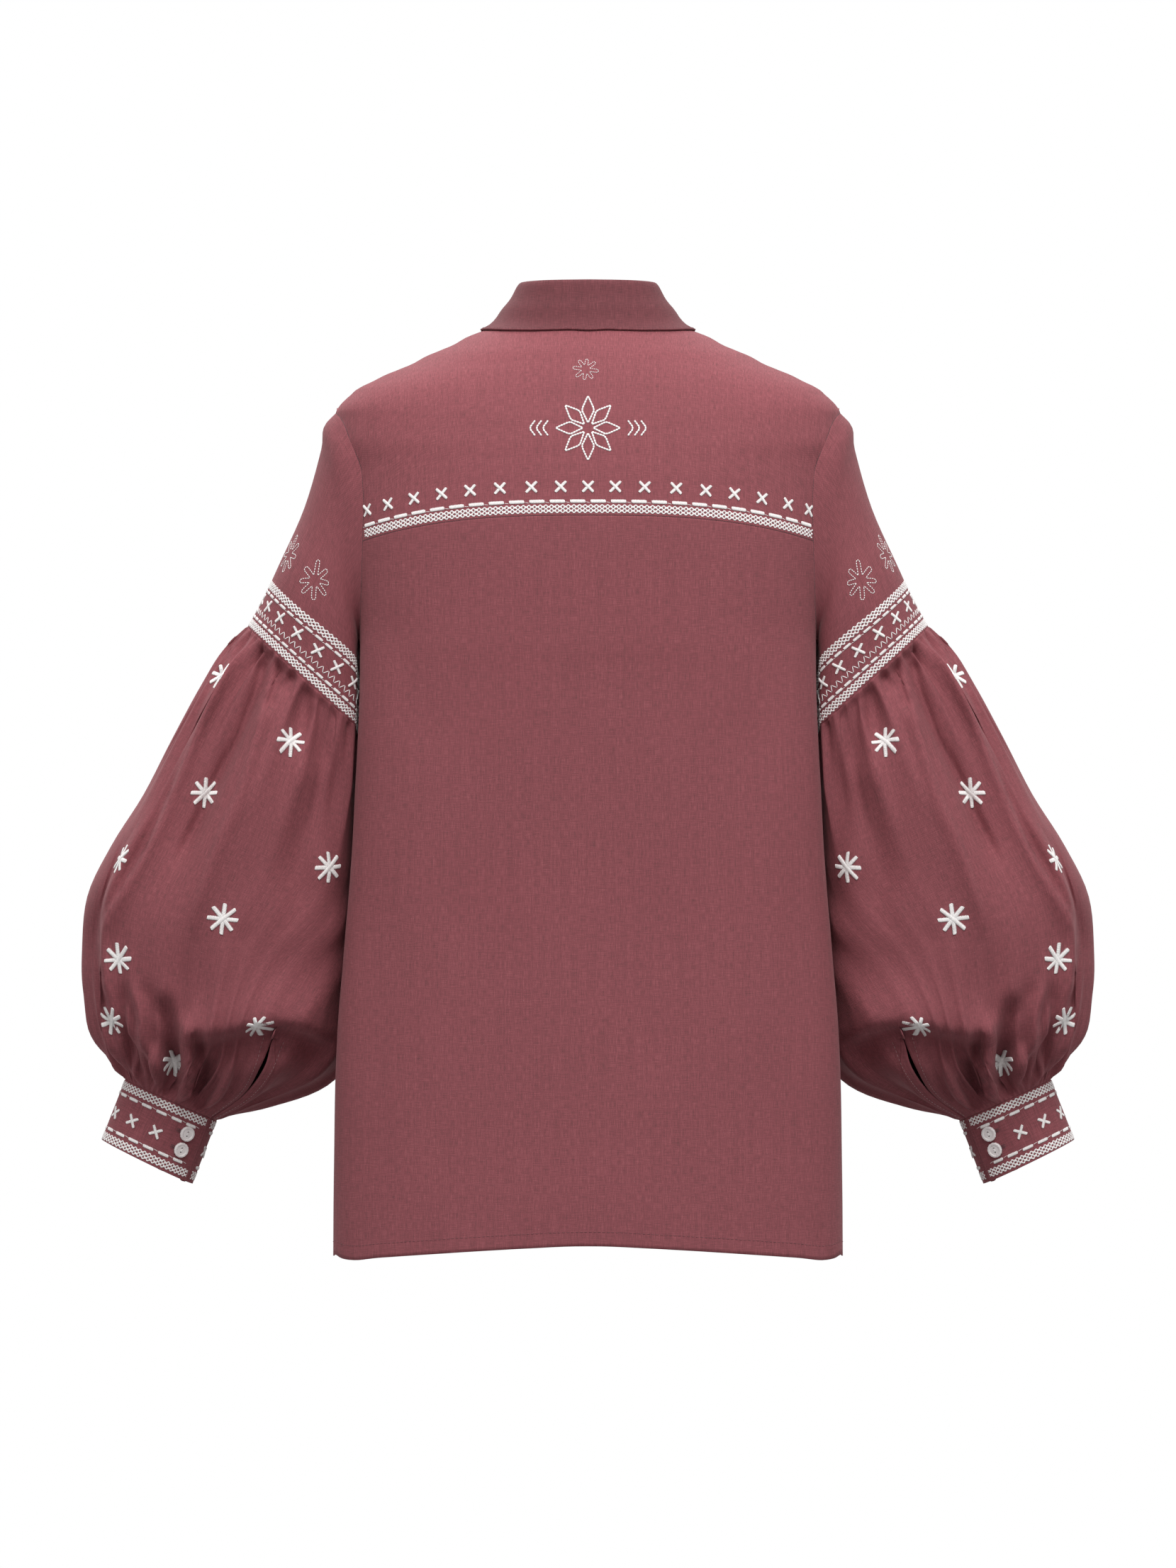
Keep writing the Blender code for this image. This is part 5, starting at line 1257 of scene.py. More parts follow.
def upper_sleeve_grid():
    """The sleeve from the armhole down to the gathered seam."""
    yoke_part, back_part, front_part = armhole_turns()
    tip_first = np.concatenate([yoke_part, back_part[1:], front_part[1:-1]])
    loop = torso(*armhole(tip_first))
    covered = run_along(np.concatenate([loop, loop[:1]]))
    tip_at = np.interp(0.0, yoke_part, covered[: len(yoke_part)])
    loop_shares = (covered[:-1] - tip_at) / covered[-1]
    columns = len(loop)
    even_shares = (np.arange(columns) - np.argmin(np.abs(yoke_part))) / columns
    below_head = SLEEVE_HEAD_SHARE + (1.0 - SLEEVE_HEAD_SHARE) * ring_run(UPPER_RINGS)
    stations = np.concatenate([[0.0], below_head])
    rings = [loop]
    for station, values in zip(stations[1:], UPPER_RINGS):
        blend = eased(station)
        shares = loop_shares * (1.0 - blend) + even_shares * blend
        rings.append(ring(dict(zip(RING_COLUMNS, values)), shares))
    grid = through(stations, np.array(rings), np.array(UPPER_ROWS))
    at_tip = np.clip(np.cos(2.0 * math.pi * even_shares), 0.0, 1.0)[:, None]
    grid[1] += grid_normals(grid, wrap=True)[1] * at_tip * SLEEVE_HEAD_LIFT
    from_seam = np.linalg.norm(grid - grid[:1], axis=-1)
    grid = clear_of_body(grid, from_seam)
    return grid, even_shares


def way_round(shares, centre):
    """How far round the sleeve places lie from a centre, the short way."""
    return (shares - centre + 0.5) % 1.0 - 0.5


def gather_heights(rows, columns):
    """How far each point of the lower sleeve stands out for its gathers."""
    order = np.arange(columns)
    shape = np.array(GATHER_SHAPE)[order % len(GATHER_SHAPE)]
    count = order // len(GATHER_SHAPE)
    uneven = 1.0 + GATHER_UNEVENNESS * np.sin(2.4 * count) * np.cos(0.9 * count + 1.0)
    table = np.array(GATHER_ROWS)
    size = through(table[:, 0], table[:, 1], rows)
    return size[:, None] * (shape * uneven)[None, :]


def fold_heights(rows, shares):
    """How far each point stands out for the soft folds of the puff."""
    total = np.zeros(shares.shape)
    for fold in PUFF_FOLDS:
        named = dict(zip(PUFF_FOLD_COLUMNS, fold))
        span = named["to_row"] - named["from_row"]
        along = (rows - named["from_row"]) / span
        centre = named["from_round"] + (named["to_round"] - named["from_round"]) * along
        fade = eased(along * PUFF_FOLD_FADE) * eased((1.0 - along) * PUFF_FOLD_FADE)
        across = np.exp(-((way_round(shares, centre[:, None]) / named["half_width"]) ** 2))
        total += named["height"] * across * fade[:, None]
    return total


def slit_shares(shares, row, length_round):
    """The columns' shares round the sleeve at a row, parted at the opening above the cuff."""
    at = columns_of(SLIT_COLUMNS, SLIT, np.array([max(row, SLIT[0][0])]))
    middle, width = float(at["round"][0]), float(at["width"][0])
    lead = eased((row - SLIT_LEAD_FROM) / (SLIT[0][0] - SLIT_LEAD_FROM))
    start = (shares[SLIT_COLUMN] + shares[SLIT_COLUMN + 1]) / 2.0
    near = np.exp(-(((np.arange(len(shares)) - SLIT_COLUMN - 0.5) / SLIT_SPREAD) ** 2))
    moved = shares + (middle - start) * lead * near
    if row >= SLIT[0][0]:
        moved[SLIT_COLUMN] = middle - width / 2.0 / length_round
        moved[SLIT_COLUMN + 1] = middle + width / 2.0 / length_round
    return moved


def doubled(ring_points):
    """A ring with a point added halfway along each of its straight sides."""
    halfway = (ring_points + np.roll(ring_points, -1, axis=0)) / 2.0
    return np.stack([ring_points, halfway], axis=1).reshape(-1, 3)


def lower_sleeve_grid(top_ring, cuff_ring, even_shares):
    """The full, gathered part of the sleeve, from the gathered seam to the cuff."""
    rows = np.array(LOWER_ROWS)
    stations = ring_run(LOWER_RINGS)
    step = 1.0 / (2 * len(even_shares))
    shares = np.stack([even_shares, even_shares + step], axis=1).reshape(-1)
    first = int(np.argmin(np.abs(shares)))
    shares = np.roll(shares, -first) % 1.0
    shares[0] = 0.0
    grid = np.empty((len(rows), len(shares), 3))
    row_shares = np.empty(grid.shape[:2])
    for index, row in enumerate(rows):
        named = ring_at(LOWER_RINGS, stations, row)
        length_round = run_along(ring(named, np.linspace(0.0, 0.999, 90)))[-1]
        row_shares[index] = slit_shares(shares, row, length_round)
        grid[index] = ring(named, row_shares[index])
    grid[0] = np.roll(doubled(top_ring), -first, axis=0)
    grid[-1] = doubled(cuff_ring)
    outward = grid_normals(grid, wrap=True)
    heights = gather_heights(rows, len(shares)) + fold_heights(rows, row_shares)
    heights[[0, -1]] = 0.0
    heights[SLIT_FIRST_ROW:, SLIT_COLUMN - 1 : SLIT_COLUMN + 3] *= SLIT_CALM
    grid = grid + outward * heights[..., None]
    grid[1:-1] = clear_of_body(grid, np.full(grid.shape[:2], FAR_FROM_SEAM))[1:-1]
    return grid


upper_coarse, even_shares = upper_sleeve_grid()
cuff_top, cuff_bottom = (dict(zip(RING_COLUMNS, values)) for values in CUFF_RINGS)
cuff_columns = len(even_shares)
cuff_ring = ring(cuff_top, np.arange(cuff_columns) / cuff_columns)
lower_coarse = lower_sleeve_grid(upper_coarse[-1], cuff_ring, even_shares)
print("the lower sleeve is drawn through", lower_coarse.shape[:2], "points")

# %% [markdown]
# ## Gathers and folds of the sleeve
# Three scales of fold lie on one another: the broad soft folds of the puff, which are in
# the solids already; the pleats that run up from the cuff and down from the gathered seam;
# and the tight little puckers right at the stitching. The pleats are placed one by one.

# %% Pleats and folds
LOWER_ROW_TIMES = 5
LOWER_COLUMN_TIMES = 5
UPPER_COLUMN_TIMES = 8


def around(grid, times):
    """A closed ring grid read more finely round, with its columns' places from 0 to 1."""
    columns = grid.shape[1]
    at = np.linspace(0.0, columns, columns * times, endpoint=False)
    fine = smooth_through(np.arange(columns), np.swapaxes(grid, 0, 1), at, wrap=True)
    return np.swapaxes(fine, 0, 1), at / columns


def fine_stations(stations, times):
    """Stations with each gap cut into steps, and extra ones close to both ends."""
    inner = [np.linspace(a, b, times + 1)[:-1] for a, b in zip(stations, stations[1:])]
    span = stations[-1] - stations[0]
    ends = np.array([0.002, 0.006])
    return np.unique(np.round(np.concatenate(
        inner + [[stations[-1]], stations[0] + ends * span, stations[-1] - ends * span]
    ), 6))


# Pleats that fall from the gathered seam: where each starts and ends round the sleeve, how
# far down it ends, its half width as a share of the way round, and its height in millimetres.
PLEATS = (
    (0.020, 0.022, 0.10, 0.007, -2.6), (0.058, 0.066, 0.16, 0.008, -3.4),
    (0.090, 0.096, 0.09, 0.006, -2.4), (0.118, 0.130, 0.20, 0.008, -3.8),
    (0.150, 0.158, 0.12, 0.006, -3.0), (0.180, 0.192, 0.22, 0.009, -4.2),
    (0.212, 0.220, 0.14, 0.006, -2.8), (0.245, 0.256, 0.24, 0.009, -4.4),
    (0.280, 0.286, 0.10, 0.006, -2.6), (0.312, 0.322, 0.20, 0.008, -3.8),
    (0.350, 0.354, 0.12, 0.007, -2.8), (0.395, 0.400, 0.18, 0.008, -3.2),
    (0.450, 0.452, 0.12, 0.007, -2.6), (0.505, 0.505, 0.20, 0.009, -3.4),
    (0.560, 0.552, 0.12, 0.007, -2.8), (0.610, 0.600, 0.22, 0.009, -3.8),
    (0.655, 0.650, 0.12, 0.006, -2.6), (0.700, 0.690, 0.22, 0.009, -4.2),
    (0.745, 0.740, 0.13, 0.006, -2.8), (0.790, 0.778, 0.24, 0.009, -4.0),
    (0.835, 0.830, 0.12, 0.006, -2.6), (0.880, 0.872, 0.20, 0.009, -3.8),
    (0.930, 0.926, 0.14, 0.007, -3.0), (0.970, 0.968, 0.18, 0.008, -3.2),
)
PLEAT_COLUMNS = ("from_round", "to_round", "to_row", "half_width", "height")
PLEAT_WIDENS = 1.6
PLEAT_START = 0.02
PLEAT_RISE = 0.14
PLEAT_FALL_POWER = 1.2
# Pleats at the cuff, in turn a ridge and a valley: the place round the cuff, the place
# round the puff above it, the height in millimetres and how far up it reaches.
CUFF_PLEATS = (
    (0.005, -0.030, -4.5, 0.84), (0.048, 0.012, 4.5, 0.80), (0.095, 0.052, -5.0, 0.84),
    (0.140, 0.093, 5.5, 0.77), (0.183, 0.128, -5.5, 0.82), (0.222, 0.163, 6.0, 0.75),
    (0.252, 0.200, -6.5, 0.81), (0.284, 0.238, 7.5, 0.76), (0.322, 0.292, -7.0, 0.83),
    (0.372, 0.352, 4.5, 0.84), (0.398, 0.395, -1.5, 0.88),
    (0.416, 0.412, 0.0, 0.90), (0.455, 0.455, 0.0, 0.90), (0.492, 0.500, -5.0, 0.85),
    (0.525, 0.545, 4.0, 0.80), (0.560, 0.590, -5.0, 0.83), (0.605, 0.628, 5.0, 0.78),
    (0.642, 0.668, -5.5, 0.83), (0.684, 0.712, 5.5, 0.76), (0.726, 0.756, -6.5, 0.82),
    (0.770, 0.806, 6.5, 0.77), (0.818, 0.852, -5.5, 0.83),
    (0.862, 0.900, 4.5, 0.79), (0.915, 0.938, -4.5, 0.84), (0.960, 0.957, 3.5, 0.82),
)
CUFF_PLEAT_SHARE = 0.8
CUFF_PLEAT_RUN = 0.12
CUFF_PLEAT_SPREAD = 1.25
CUFF_PLEAT_FADE = 0.10
CUFF_PLEAT_START = 0.4
PUCKER_COUNT = 58
PUCKER_HEIGHT = 0.55
PUCKER_REACH = 0.022
PUCKER_START = 0.006
PUCKER_UNEVENNESS = 0.3


def cuff_pleat_heights(rows, shares):
    """How far each point stands out for the pleats that run up from the cuff."""
    total = np.zeros(shares.shape)
    table = np.array(CUFF_PLEATS)
    one_round = [[1.0, 1.0, 0.0, 0.0]]
    table = np.concatenate([table - one_round, table, table + one_round])
    for index, row in enumerate(rows):
        up = (1.0 - row) / CUFF_PLEAT_RUN
        places = table[:, 0] + (table[:, 1] - table[:, 0]) * min(up, CUFF_PLEAT_SPREAD)
        fade = eased((row - table[:, 3]) / CUFF_PLEAT_FADE) * eased(up / CUFF_PLEAT_START)
        heights = table[:, 2] * fade
        right = np.clip(np.searchsorted(places, shares[index]), 1, len(places) - 1)
        share = (shares[index] - places[right - 1]) / (places[right] - places[right - 1])
        blend = 0.5 - 0.5 * np.cos(math.pi * np.clip(share, 0.0, 1.0))
        total[index] = heights[right - 1] + (heights[right] - heights[right - 1]) * blend
    return total


def pleat_heights(rows, shares):
    """How far each point stands out for the pleats and for the puckers at both seams."""
    total = np.zeros(shares.shape)
    for row in PLEATS:
        pleat = dict(zip(PLEAT_COLUMNS, row))
        along = rows[:, None] / pleat["to_row"]
        centre = pleat["from_round"] + (pleat["to_round"] - pleat["from_round"]) * along
        width = pleat["half_width"] * (1.0 + PLEAT_WIDENS * np.clip(along, 0.0, 1.0))
        rise = eased((along + PLEAT_START) / PLEAT_RISE) * eased(1.0 - along) ** PLEAT_FALL_POWER
        rise = np.where((along >= 0.0) & (along <= 1.0), rise, 0.0)
        total += pleat["height"] * rise * np.exp(-((way_round(shares, centre) / width) ** 2))
    from_seam = np.minimum(rows, 1.0 - rows)[:, None]
    uneven = PUCKER_UNEVENNESS * np.sin(7.0 * math.pi * shares)
    pucker = np.sin(2.0 * math.pi * (PUCKER_COUNT * shares + uneven))
    near = np.exp(-from_seam / PUCKER_REACH) * eased(from_seam / PUCKER_START)
    return total + PUCKER_HEIGHT * pucker * near


# Folds of the puff, each a path of places along and round the sleeve, with its half width and
# its height in millimetres. These two are the broad soft hollows on the inner side.
BACK_FOLDS = (
    (((0.08, 0.262), (0.26, 0.300), (0.46, 0.336)), 15.0, 3.5),
    (((0.10, 0.330), (0.30, 0.372), (0.52, 0.400)), 16.0, -3.5),
)
# The folds that can be seen from behind, each a line of (x, z) places in millimetres that parts
# two levels of the cloth. After the line come the height and reach of its outer or lower side,
# those of its inner or upper side, and the width of the step between them. Equal heights on
# both sides make a plain trough or ridge.
PUFF_RELIEF = (
    (((256, -216), (269, -236), (277, -247), (284, -264), (293, -281), (300, -297), (308, -319),
      (322, -354), (339, -394), (361, -432), (374, -453), (380, -468), (380, -476), (378, -494),
      (376, -508), (373, -521), (370, -534), (367, -548), (363, -563), (357, -581)),
     -9.0, 10.0, 7.5, 9.0, 4.0),
    (((244, -233), (251, -249), (258, -275), (265, -295), (274, -317), (284, -335), (293, -354),
      (304, -379), (315, -401), (322, -423)),
     -4.3, 12.0, -14.0, 9.0, 5.0),
    (((242, -256), (248, -278), (254, -297), (260, -319), (266, -341), (274, -365), (284, -385),
      (293, -409), (300, -431), (306, -453), (308, -476)),
     2.2, 7.0, 9.7, 11.0, 3.2),
    (((234, -249), (236, -256), (240, -269), (246, -288), (251, -296)),
     -8.8, 4.5, -8.8, 4.5, 3.2),
    (((221, -255), (226, -263), (233, -272), (239, -282)),
     -7.0, 4.5, -7.0, 4.5, 3.2),
    (((244, -236), (247, -244), (252, -256), (255, -267)),
     -6.1, 4.0, -6.1, 4.0, 3.2),
    (((220, -260), (217, -284), (213, -306), (207, -324), (201, -343), (212, -372), (220, -398),
      (224, -425), (225, -453), (223, -476)),
     -6.8, 13.0, -6.8, 13.0, 6.0),
    (((286, -463), (277, -468), (267, -470), (258, -473)),
     -3.3, 4.0, -0.8, 4.0, 3.2),
    (((355, -502), (354, -515), (351, -523), (349, -532), (349, -546), (349, -560), (346, -574),
      (343, -589)),
     -8.3, 9.0, 6.4, 9.0, 3.4),
    (((347, -502), (342, -516), (339, -532), (336, -549), (332, -565)),
     -4.5, 7.0, -4.5, 7.0, 5.0),
    (((330, -510), (327, -527), (324, -541), (322, -554), (321, -568), (324, -583), (326, -598)),
     -14.7, 7.0, -14.7, 6.0, 3.2),
    (((316, -527), (313, -543), (311, -557), (311, -571), (313, -585)),
     6.0, 5.0, 6.0, 5.0, 3.2),
    (((305, -541), (306, -551), (305, -564), (306, -575), (309, -585), (312, -596)),
     7.5, 5.0, -18.7, 8.0, 3.4),
    (((324, -543), (306, -549), (297, -550), (287, -549), (277, -547), (266, -544), (255, -542),
      (243, -541), (231, -541), (221, -543), (213, -548), (205, -551), (189, -550)),
     -19.0, 18.0, 11.5, 26.0, 6.5),
    (((299, -557), (297, -571), (300, -585), (302, -594), (303, -608)),
     -10.2, 5.0, -8.2, 5.0, 3.2),
    (((287, -576), (293, -589), (298, -598), (303, -609)),
     -7.2, 4.0, -6.1, 4.0, 3.2),
    (((332, -571), (330, -582), (326, -597)),
     -7.2, 4.0, -6.1, 4.0, 3.2),
    (((310, -579), (312, -589), (319, -598)),
     -6.1, 3.5, -6.1, 3.5, 3.2),
    (((275, -236), (291, -267), (312, -303), (328, -335), (346, -368), (367, -400), (378, -432),
      (383, -455), (385, -480)),
     15.0, 9.0, 15.0, 16.0, 3.2),
)
RELIEF_LIMIT = 30.0
RELIEF_EDGE = 0.42
RELIEF_FADE = 0.2
FOLD_FADE = 0.30
SEAM_FADE = 0.02
FAR_AWAY = 1e9


def relief_heights(points, facing, lines):
    """How far the cloth stands out, straight behind it, for the folds drawn over it."""
    total = np.zeros(points.shape[:-1])
    for path, outer, outer_reach, inner, inner_reach, step in lines:
        path = np.array(path, dtype=float)
        covered = run_along(path)
        at = np.linspace(0.0, covered[-1], 80)
        line = np.stack([through(covered, path[:, axis], at) for axis in (0, 1)], axis=-1)
        ways = unit(np.gradient(line, axis=0))
        nearest = np.full(total.shape, FAR_AWAY)
        signed, reached = np.zeros(total.shape), np.zeros(total.shape)
        for share, spot, way in zip(at / covered[-1], line, ways):
            off_x, off_z = points[..., 0] - spot[0], points[..., 2] - spot[1]
            away = np.hypot(off_x, off_z)
            closer = away < nearest
            nearest = np.where(closer, away, nearest)
            signed = np.where(closer, np.copysign(away, way[0] * off_z - way[1] * off_x), signed)
            reached = np.where(closer, share, reached)
        mix = eased((signed / step + 1.0) / 2.0)
        height = outer * mix * np.exp(-((np.maximum(signed, 0.0) / outer_reach) ** 2))
        height += inner * (1.0 - mix) * np.exp(-((np.minimum(signed, 0.0) / inner_reach) ** 2))
        total += height * eased(reached / RELIEF_FADE) * eased((1.0 - reached) / RELIEF_FADE)
    return RELIEF_LIMIT * np.tanh(total / RELIEF_LIMIT) * eased(np.abs(facing) / RELIEF_EDGE)


def fold_path_heights(rows, shares, grid, folds):
    """How far each point stands out for folds that follow paths over the cloth."""
    closed = np.concatenate([grid, grid[:, :1]], axis=1)
    round_mm = np.linalg.norm(np.diff(closed, axis=1), axis=-1).sum(axis=1)
    long_mm = float(np.linalg.norm(np.diff(grid, axis=0), axis=-1).sum(axis=0).mean())
    total = np.zeros(shares.shape)
    for path, half_width, height in folds:
        path = np.array(path)
        covered = np.concatenate([[0.0], np.cumsum(np.hypot(
            np.diff(path[:, 0]) * long_mm, np.diff(path[:, 1]) * round_mm.mean()))])
        at = np.linspace(0.0, covered[-1], 90)
        path_rows = through(covered, path[:, 0], at)
        path_shares = through(covered, path[:, 1], at)
        nearest = np.full(shares.shape, FAR_AWAY)
        reached = np.zeros(shares.shape)
        for share, row, turn in zip(at / covered[-1], path_rows, path_shares):
            across = way_round(shares, turn) * round_mm[:, None]
            away = np.hypot(across, (rows[:, None] - row) * long_mm)
            closer = away < nearest
            nearest = np.where(closer, away, nearest)
            reached = np.where(closer, share, reached)
        strength = eased(reached / FOLD_FADE) * eased((1.0 - reached) / FOLD_FADE)
        total += height * strength * np.exp(-((nearest / half_width) ** 2))
    from_seam = np.minimum(rows, 1.0 - rows)[:, None]
    return total * eased(from_seam / SEAM_FADE)


lower_rows = fine_stations(np.array(LOWER_ROWS), LOWER_ROW_TIMES)
tall = smooth_through(LOWER_ROWS, lower_coarse, lower_rows)
lower_fine, lower_round = around(tall, LOWER_COLUMN_TIMES)
print(len(PLEATS), "pleats on", lower_fine.shape[:2], "points")

# %% [markdown]
# ## The sleeves' cloth
# The left sleeve is cut and then mirrored. A mirrored mesh is inside out, so its faces are
# turned round again. The lower sleeve has a slit above the cuff, which is left as a gap in
# the grid.

# %% Sleeve pieces
UPPER_CUT = (330.0, 150.0)
LOWER_CUT = (560.0, 430.0)
PLEAT_SHARE = 1.25
FRONT_SHARE = 0.85
FRONT_SHIFT = (-3.0, 7.0)
FRONT_FOLD_SHARE = 0.9
FRONT_FOLD_ROWS = (0.02, 0.97)
FRONT_FOLD_TURN = 1.012
CLEARANCE_ROWS = 3
SLIT_CALM_COLUMNS = 8.0
SLIT_CALM_RISE = 0.06
SLIT_CALM_MOST = 0.85
SLIT_CLOSING = 0.62
SLIT_CLOSING_RISE = 0.01
SLIT_PULL_COLUMNS = 14


def mirrored(piece, name):
    """A piece's mesh on the other side of the blouse, its outside still outside."""
    data = piece.data.copy()
    data.name = name
    for vertex in data.vertices:
        vertex.co.x = -vertex.co.x
    data.flip_normals()
    return data


def cloth_pair(name, grid, flat, held, rests_on, area=None, thick=CLOTH_THICK, **cloth):
    """A left piece and its mirror image on the right; rests_on is not used."""
    pieces = {"left": cloth_piece(f"{name}_left_cloth", *grid, thick=thick, **cloth)}
    other = f"{name}_right_cloth"
    pieces["right"] = walled(other, mirrored(pieces["left"], other), thick)
    for side, piece in pieces.items():
        settle(piece, [f"{name}_{side}"])


def sleeve_weave(points, rows, width, length):
    """Warp along the sleeve and weft round it, as it was cut, before it was gathered."""
    weft = np.linspace(0.0, width, points.shape[1] + 1)
    return np.stack(np.broadcast_arrays(weft, (rows * length)[:, None]), axis=-1)


def tube_tucked(points, normals, uv, edges):
    """As tucked, for a tube, whose weave has one column more than its points."""
    closed = (np.concatenate([grid, grid[:, :1]], axis=1) for grid in (points, normals))
    made, made_uv, distance = tucked(*closed, uv, edges)
    return made[:, :-1], made_uv, distance[:, :-1]


upper_rows = fine_stations(np.array(UPPER_ROWS), times=5)
tall = smooth_through(UPPER_ROWS, upper_coarse, upper_rows)
upper_fine = around(tall, UPPER_COLUMN_TIMES)[0]
upper_normals = grid_normals(upper_fine, wrap=True)
uv = sleeve_weave(upper_fine, upper_rows, *UPPER_CUT)
grid = tube_tucked(upper_fine, upper_normals, uv, {"first_row": SEAM_UNDER, "last_row": SEAM_TUCK})
cloth_pair("sleeve_upper", grid, flat=(0.40, 0.17), held="hung", rests_on="back_yoke_cloth",
           area=0.052, wrap=True)

lower_normals = grid_normals(lower_fine, wrap=True)
round_shares = np.broadcast_to(lower_round, lower_fine.shape[:2])
first, run = FRONT_FOLD_ROWS
front_folds = [
    ([(row * run + first, FRONT_FOLD_TURN - share) for row, share in path],
     width, height * FRONT_FOLD_SHARE)
    for path, width, height in BACK_FOLDS
]
lift = (
    PLEAT_SHARE * pleat_heights(lower_rows, round_shares)
    + CUFF_PLEAT_SHARE * cuff_pleat_heights(lower_rows, round_shares)
    + fold_path_heights(lower_rows, round_shares, lower_fine, list(BACK_FOLDS) + front_folds)
)
slit_from, slit_to = SLIT_COLUMN * LOWER_COLUMN_TIMES, (SLIT_COLUMN + 1) * LOWER_COLUMN_TIMES
slit_row = LOWER_ROWS[SLIT_FIRST_ROW]
from_slit = np.arange(lower_fine.shape[1]) - (slit_from + slit_to) / 2.0
near_slit = np.exp(-((from_slit / SLIT_CALM_COLUMNS) ** 2))
by_slit = eased((lower_rows - slit_row + SLIT_CALM_RISE) / SLIT_CALM_RISE)
lift = lift * (1.0 - SLIT_CALM_MOST * near_slit[None] * by_slit[:, None])
lower_cloth = lower_fine + lower_normals * lift[..., None]
# The front has the same folds, a little lower and moved, so that the two sides are not twins.
FRONT_RELIEF = [
    (np.array(path) + FRONT_SHIFT, outer * FRONT_SHARE, outer_reach,
     inner * FRONT_SHARE, inner_reach, step + 1.0)
    for path, outer, outer_reach, inner, inner_reach, step in PUFF_RELIEF
]
in_from_seams = eased(np.minimum(lower_rows, 1.0 - lower_rows) / SEAM_FADE)[:, None]
facing = lower_normals[..., 1]
relief = np.where(
    facing > 0.0, relief_heights(lower_cloth, facing, PUFF_RELIEF),
    -relief_heights(lower_cloth, facing, FRONT_RELIEF),
)
lower_cloth[..., 1] += relief * in_from_seams
print("folds of the puff from", round(float(relief.min())), "to", round(float(relief.max())), "mm")
rows_in = np.minimum(np.arange(len(lower_rows)), CLEARANCE_ROWS)[:, None]
lower_cloth = clear_of_body(lower_cloth, FAR_FROM_SEAM * (rows_in / CLEARANCE_ROWS))
slit_middle = (lower_cloth[:, slit_from] + lower_cloth[:, slit_to]) / 2.0
pull = SLIT_CLOSING * eased((lower_rows - slit_row) / SLIT_CLOSING_RISE)
for edge, way in ((slit_from, -1), (slit_to, 1)):
    to_middle = slit_middle - lower_cloth[:, edge]
    for off in range(SLIT_PULL_COLUMNS):
        weight = pull * (1.0 - off / SLIT_PULL_COLUMNS)
        lower_cloth[:, edge + way * off] += to_middle * weight[:, None]
lower_cloth_normals = grid_normals(lower_cloth, wrap=True)
uv = sleeve_weave(lower_cloth, lower_rows, *LOWER_CUT)
grid = tube_tucked(
    lower_cloth, lower_cloth_normals, uv, {"first_row": SEAM_UNDER, "last_row": SEAM_UNDER}
)
missing = np.zeros((len(grid[0]) - 1, grid[0].shape[1]), bool)
first_missing = 2 + int(np.argmin(np.abs(lower_rows - slit_row)))
missing[first_missing:-2, slit_from:slit_to] = True
flat = (LOWER_CUT[0] * MM, LOWER_CUT[1] * MM)
cloth_pair("sleeve_lower", grid, flat=flat, held="gathered", rests_on="sleeve_upper_{}_cloth",
           wrap=True, missing=missing)

# %% [markdown]
# ## Slit binding and cuff

# %% The binding of the slit
BINDING_THICK = 0.4
BINDING_LIFT = 0.6
BINDING_ACROSS = np.array([0.2, 1.2, 4.0, 7.0, 8.0])
BINDING_BED_COLUMNS = 12
BINDING_TAPER_ROWS = 5.0
BINDING_START = 0.3


def binding_grid():
    """The strip along the inner side of the slit, following the sleeve's cloth."""
    rows = np.arange(first_missing - 2, len(lower_rows) - 1)
    full = eased(np.arange(len(rows)) / BINDING_TAPER_ROWS)
    taper = BINDING_START + (1.0 - BINDING_START) * full
    bed = []
    for row, share in zip(rows, taper):
        strip = lower_cloth[row, slit_to : slit_to + BINDING_BED_COLUMNS]
        bed.append(read_line(BINDING_ACROSS * share, run_along(strip), strip))
    outward = unit(lower_cloth_normals[rows, slit_to : slit_to + len(BINDING_ACROSS)])
    return np.array(bed) + outward * BINDING_LIFT


binding = binding_grid()
grid = tucked(binding, grid_normals(binding, wrap=False), weave_upright(binding, 0), {
    "first_column": (1.4, 1.2), "last_column": (0.8, 0.8),
})
cloth_pair("sleeve_binding", grid, flat=(0.014, 0.09), held="folded",
           rests_on="sleeve_lower_{}_cloth", thick=BINDING_THICK)

# %% The cuffs
CUFF_STRIP_CELLS = 38
CUFF_END_COLUMN = 14
CUFF_LAP_COLUMNS = 4
CUFF_RAMP_COLUMNS = 3
CUFF_LAP_DEPTH = 2.0
CUFF_DEPTH = 48.0
CUFF_LIFT = 0.3
CUFF_BESIDE_ENDS = np.array([0.12, 0.4])
CUFF_STATIONS = (0.0, 0.015, 0.05, 0.12, 0.25, 0.4, 0.55, 0.7, 0.82, 0.91, 0.96, 0.987, 1.0)
CUFF_TUCK = (1.3, 6.0)


def cuff_grid(down):
    """The cuff as a band whose end laps over its beginning."""
    start = CUFF_END_COLUMN - CUFF_LAP_COLUMNS
    end = start + cuff_columns + CUFF_LAP_COLUMNS
    order = np.linspace(start, end, CUFF_STRIP_CELLS * 4 + 1)
    beside = [order[0] + CUFF_BESIDE_ENDS, order[-1] - CUFF_BESIDE_ENDS]
    order = np.unique(np.concatenate([order, *beside]))
    depth = CUFF_LAP_DEPTH * (1.0 - eased((order - CUFF_END_COLUMN) / CUFF_RAMP_COLUMNS))
    shares = order / cuff_columns
    down = np.asarray(down)[:, None, None]
    grid = ring(cuff_top, shares)[None] * (1.0 - down) + ring(cuff_bottom, shares)[None] * down
    return grid + grid_normals(grid, wrap=False) * (CUFF_LIFT - depth[None, :, None])


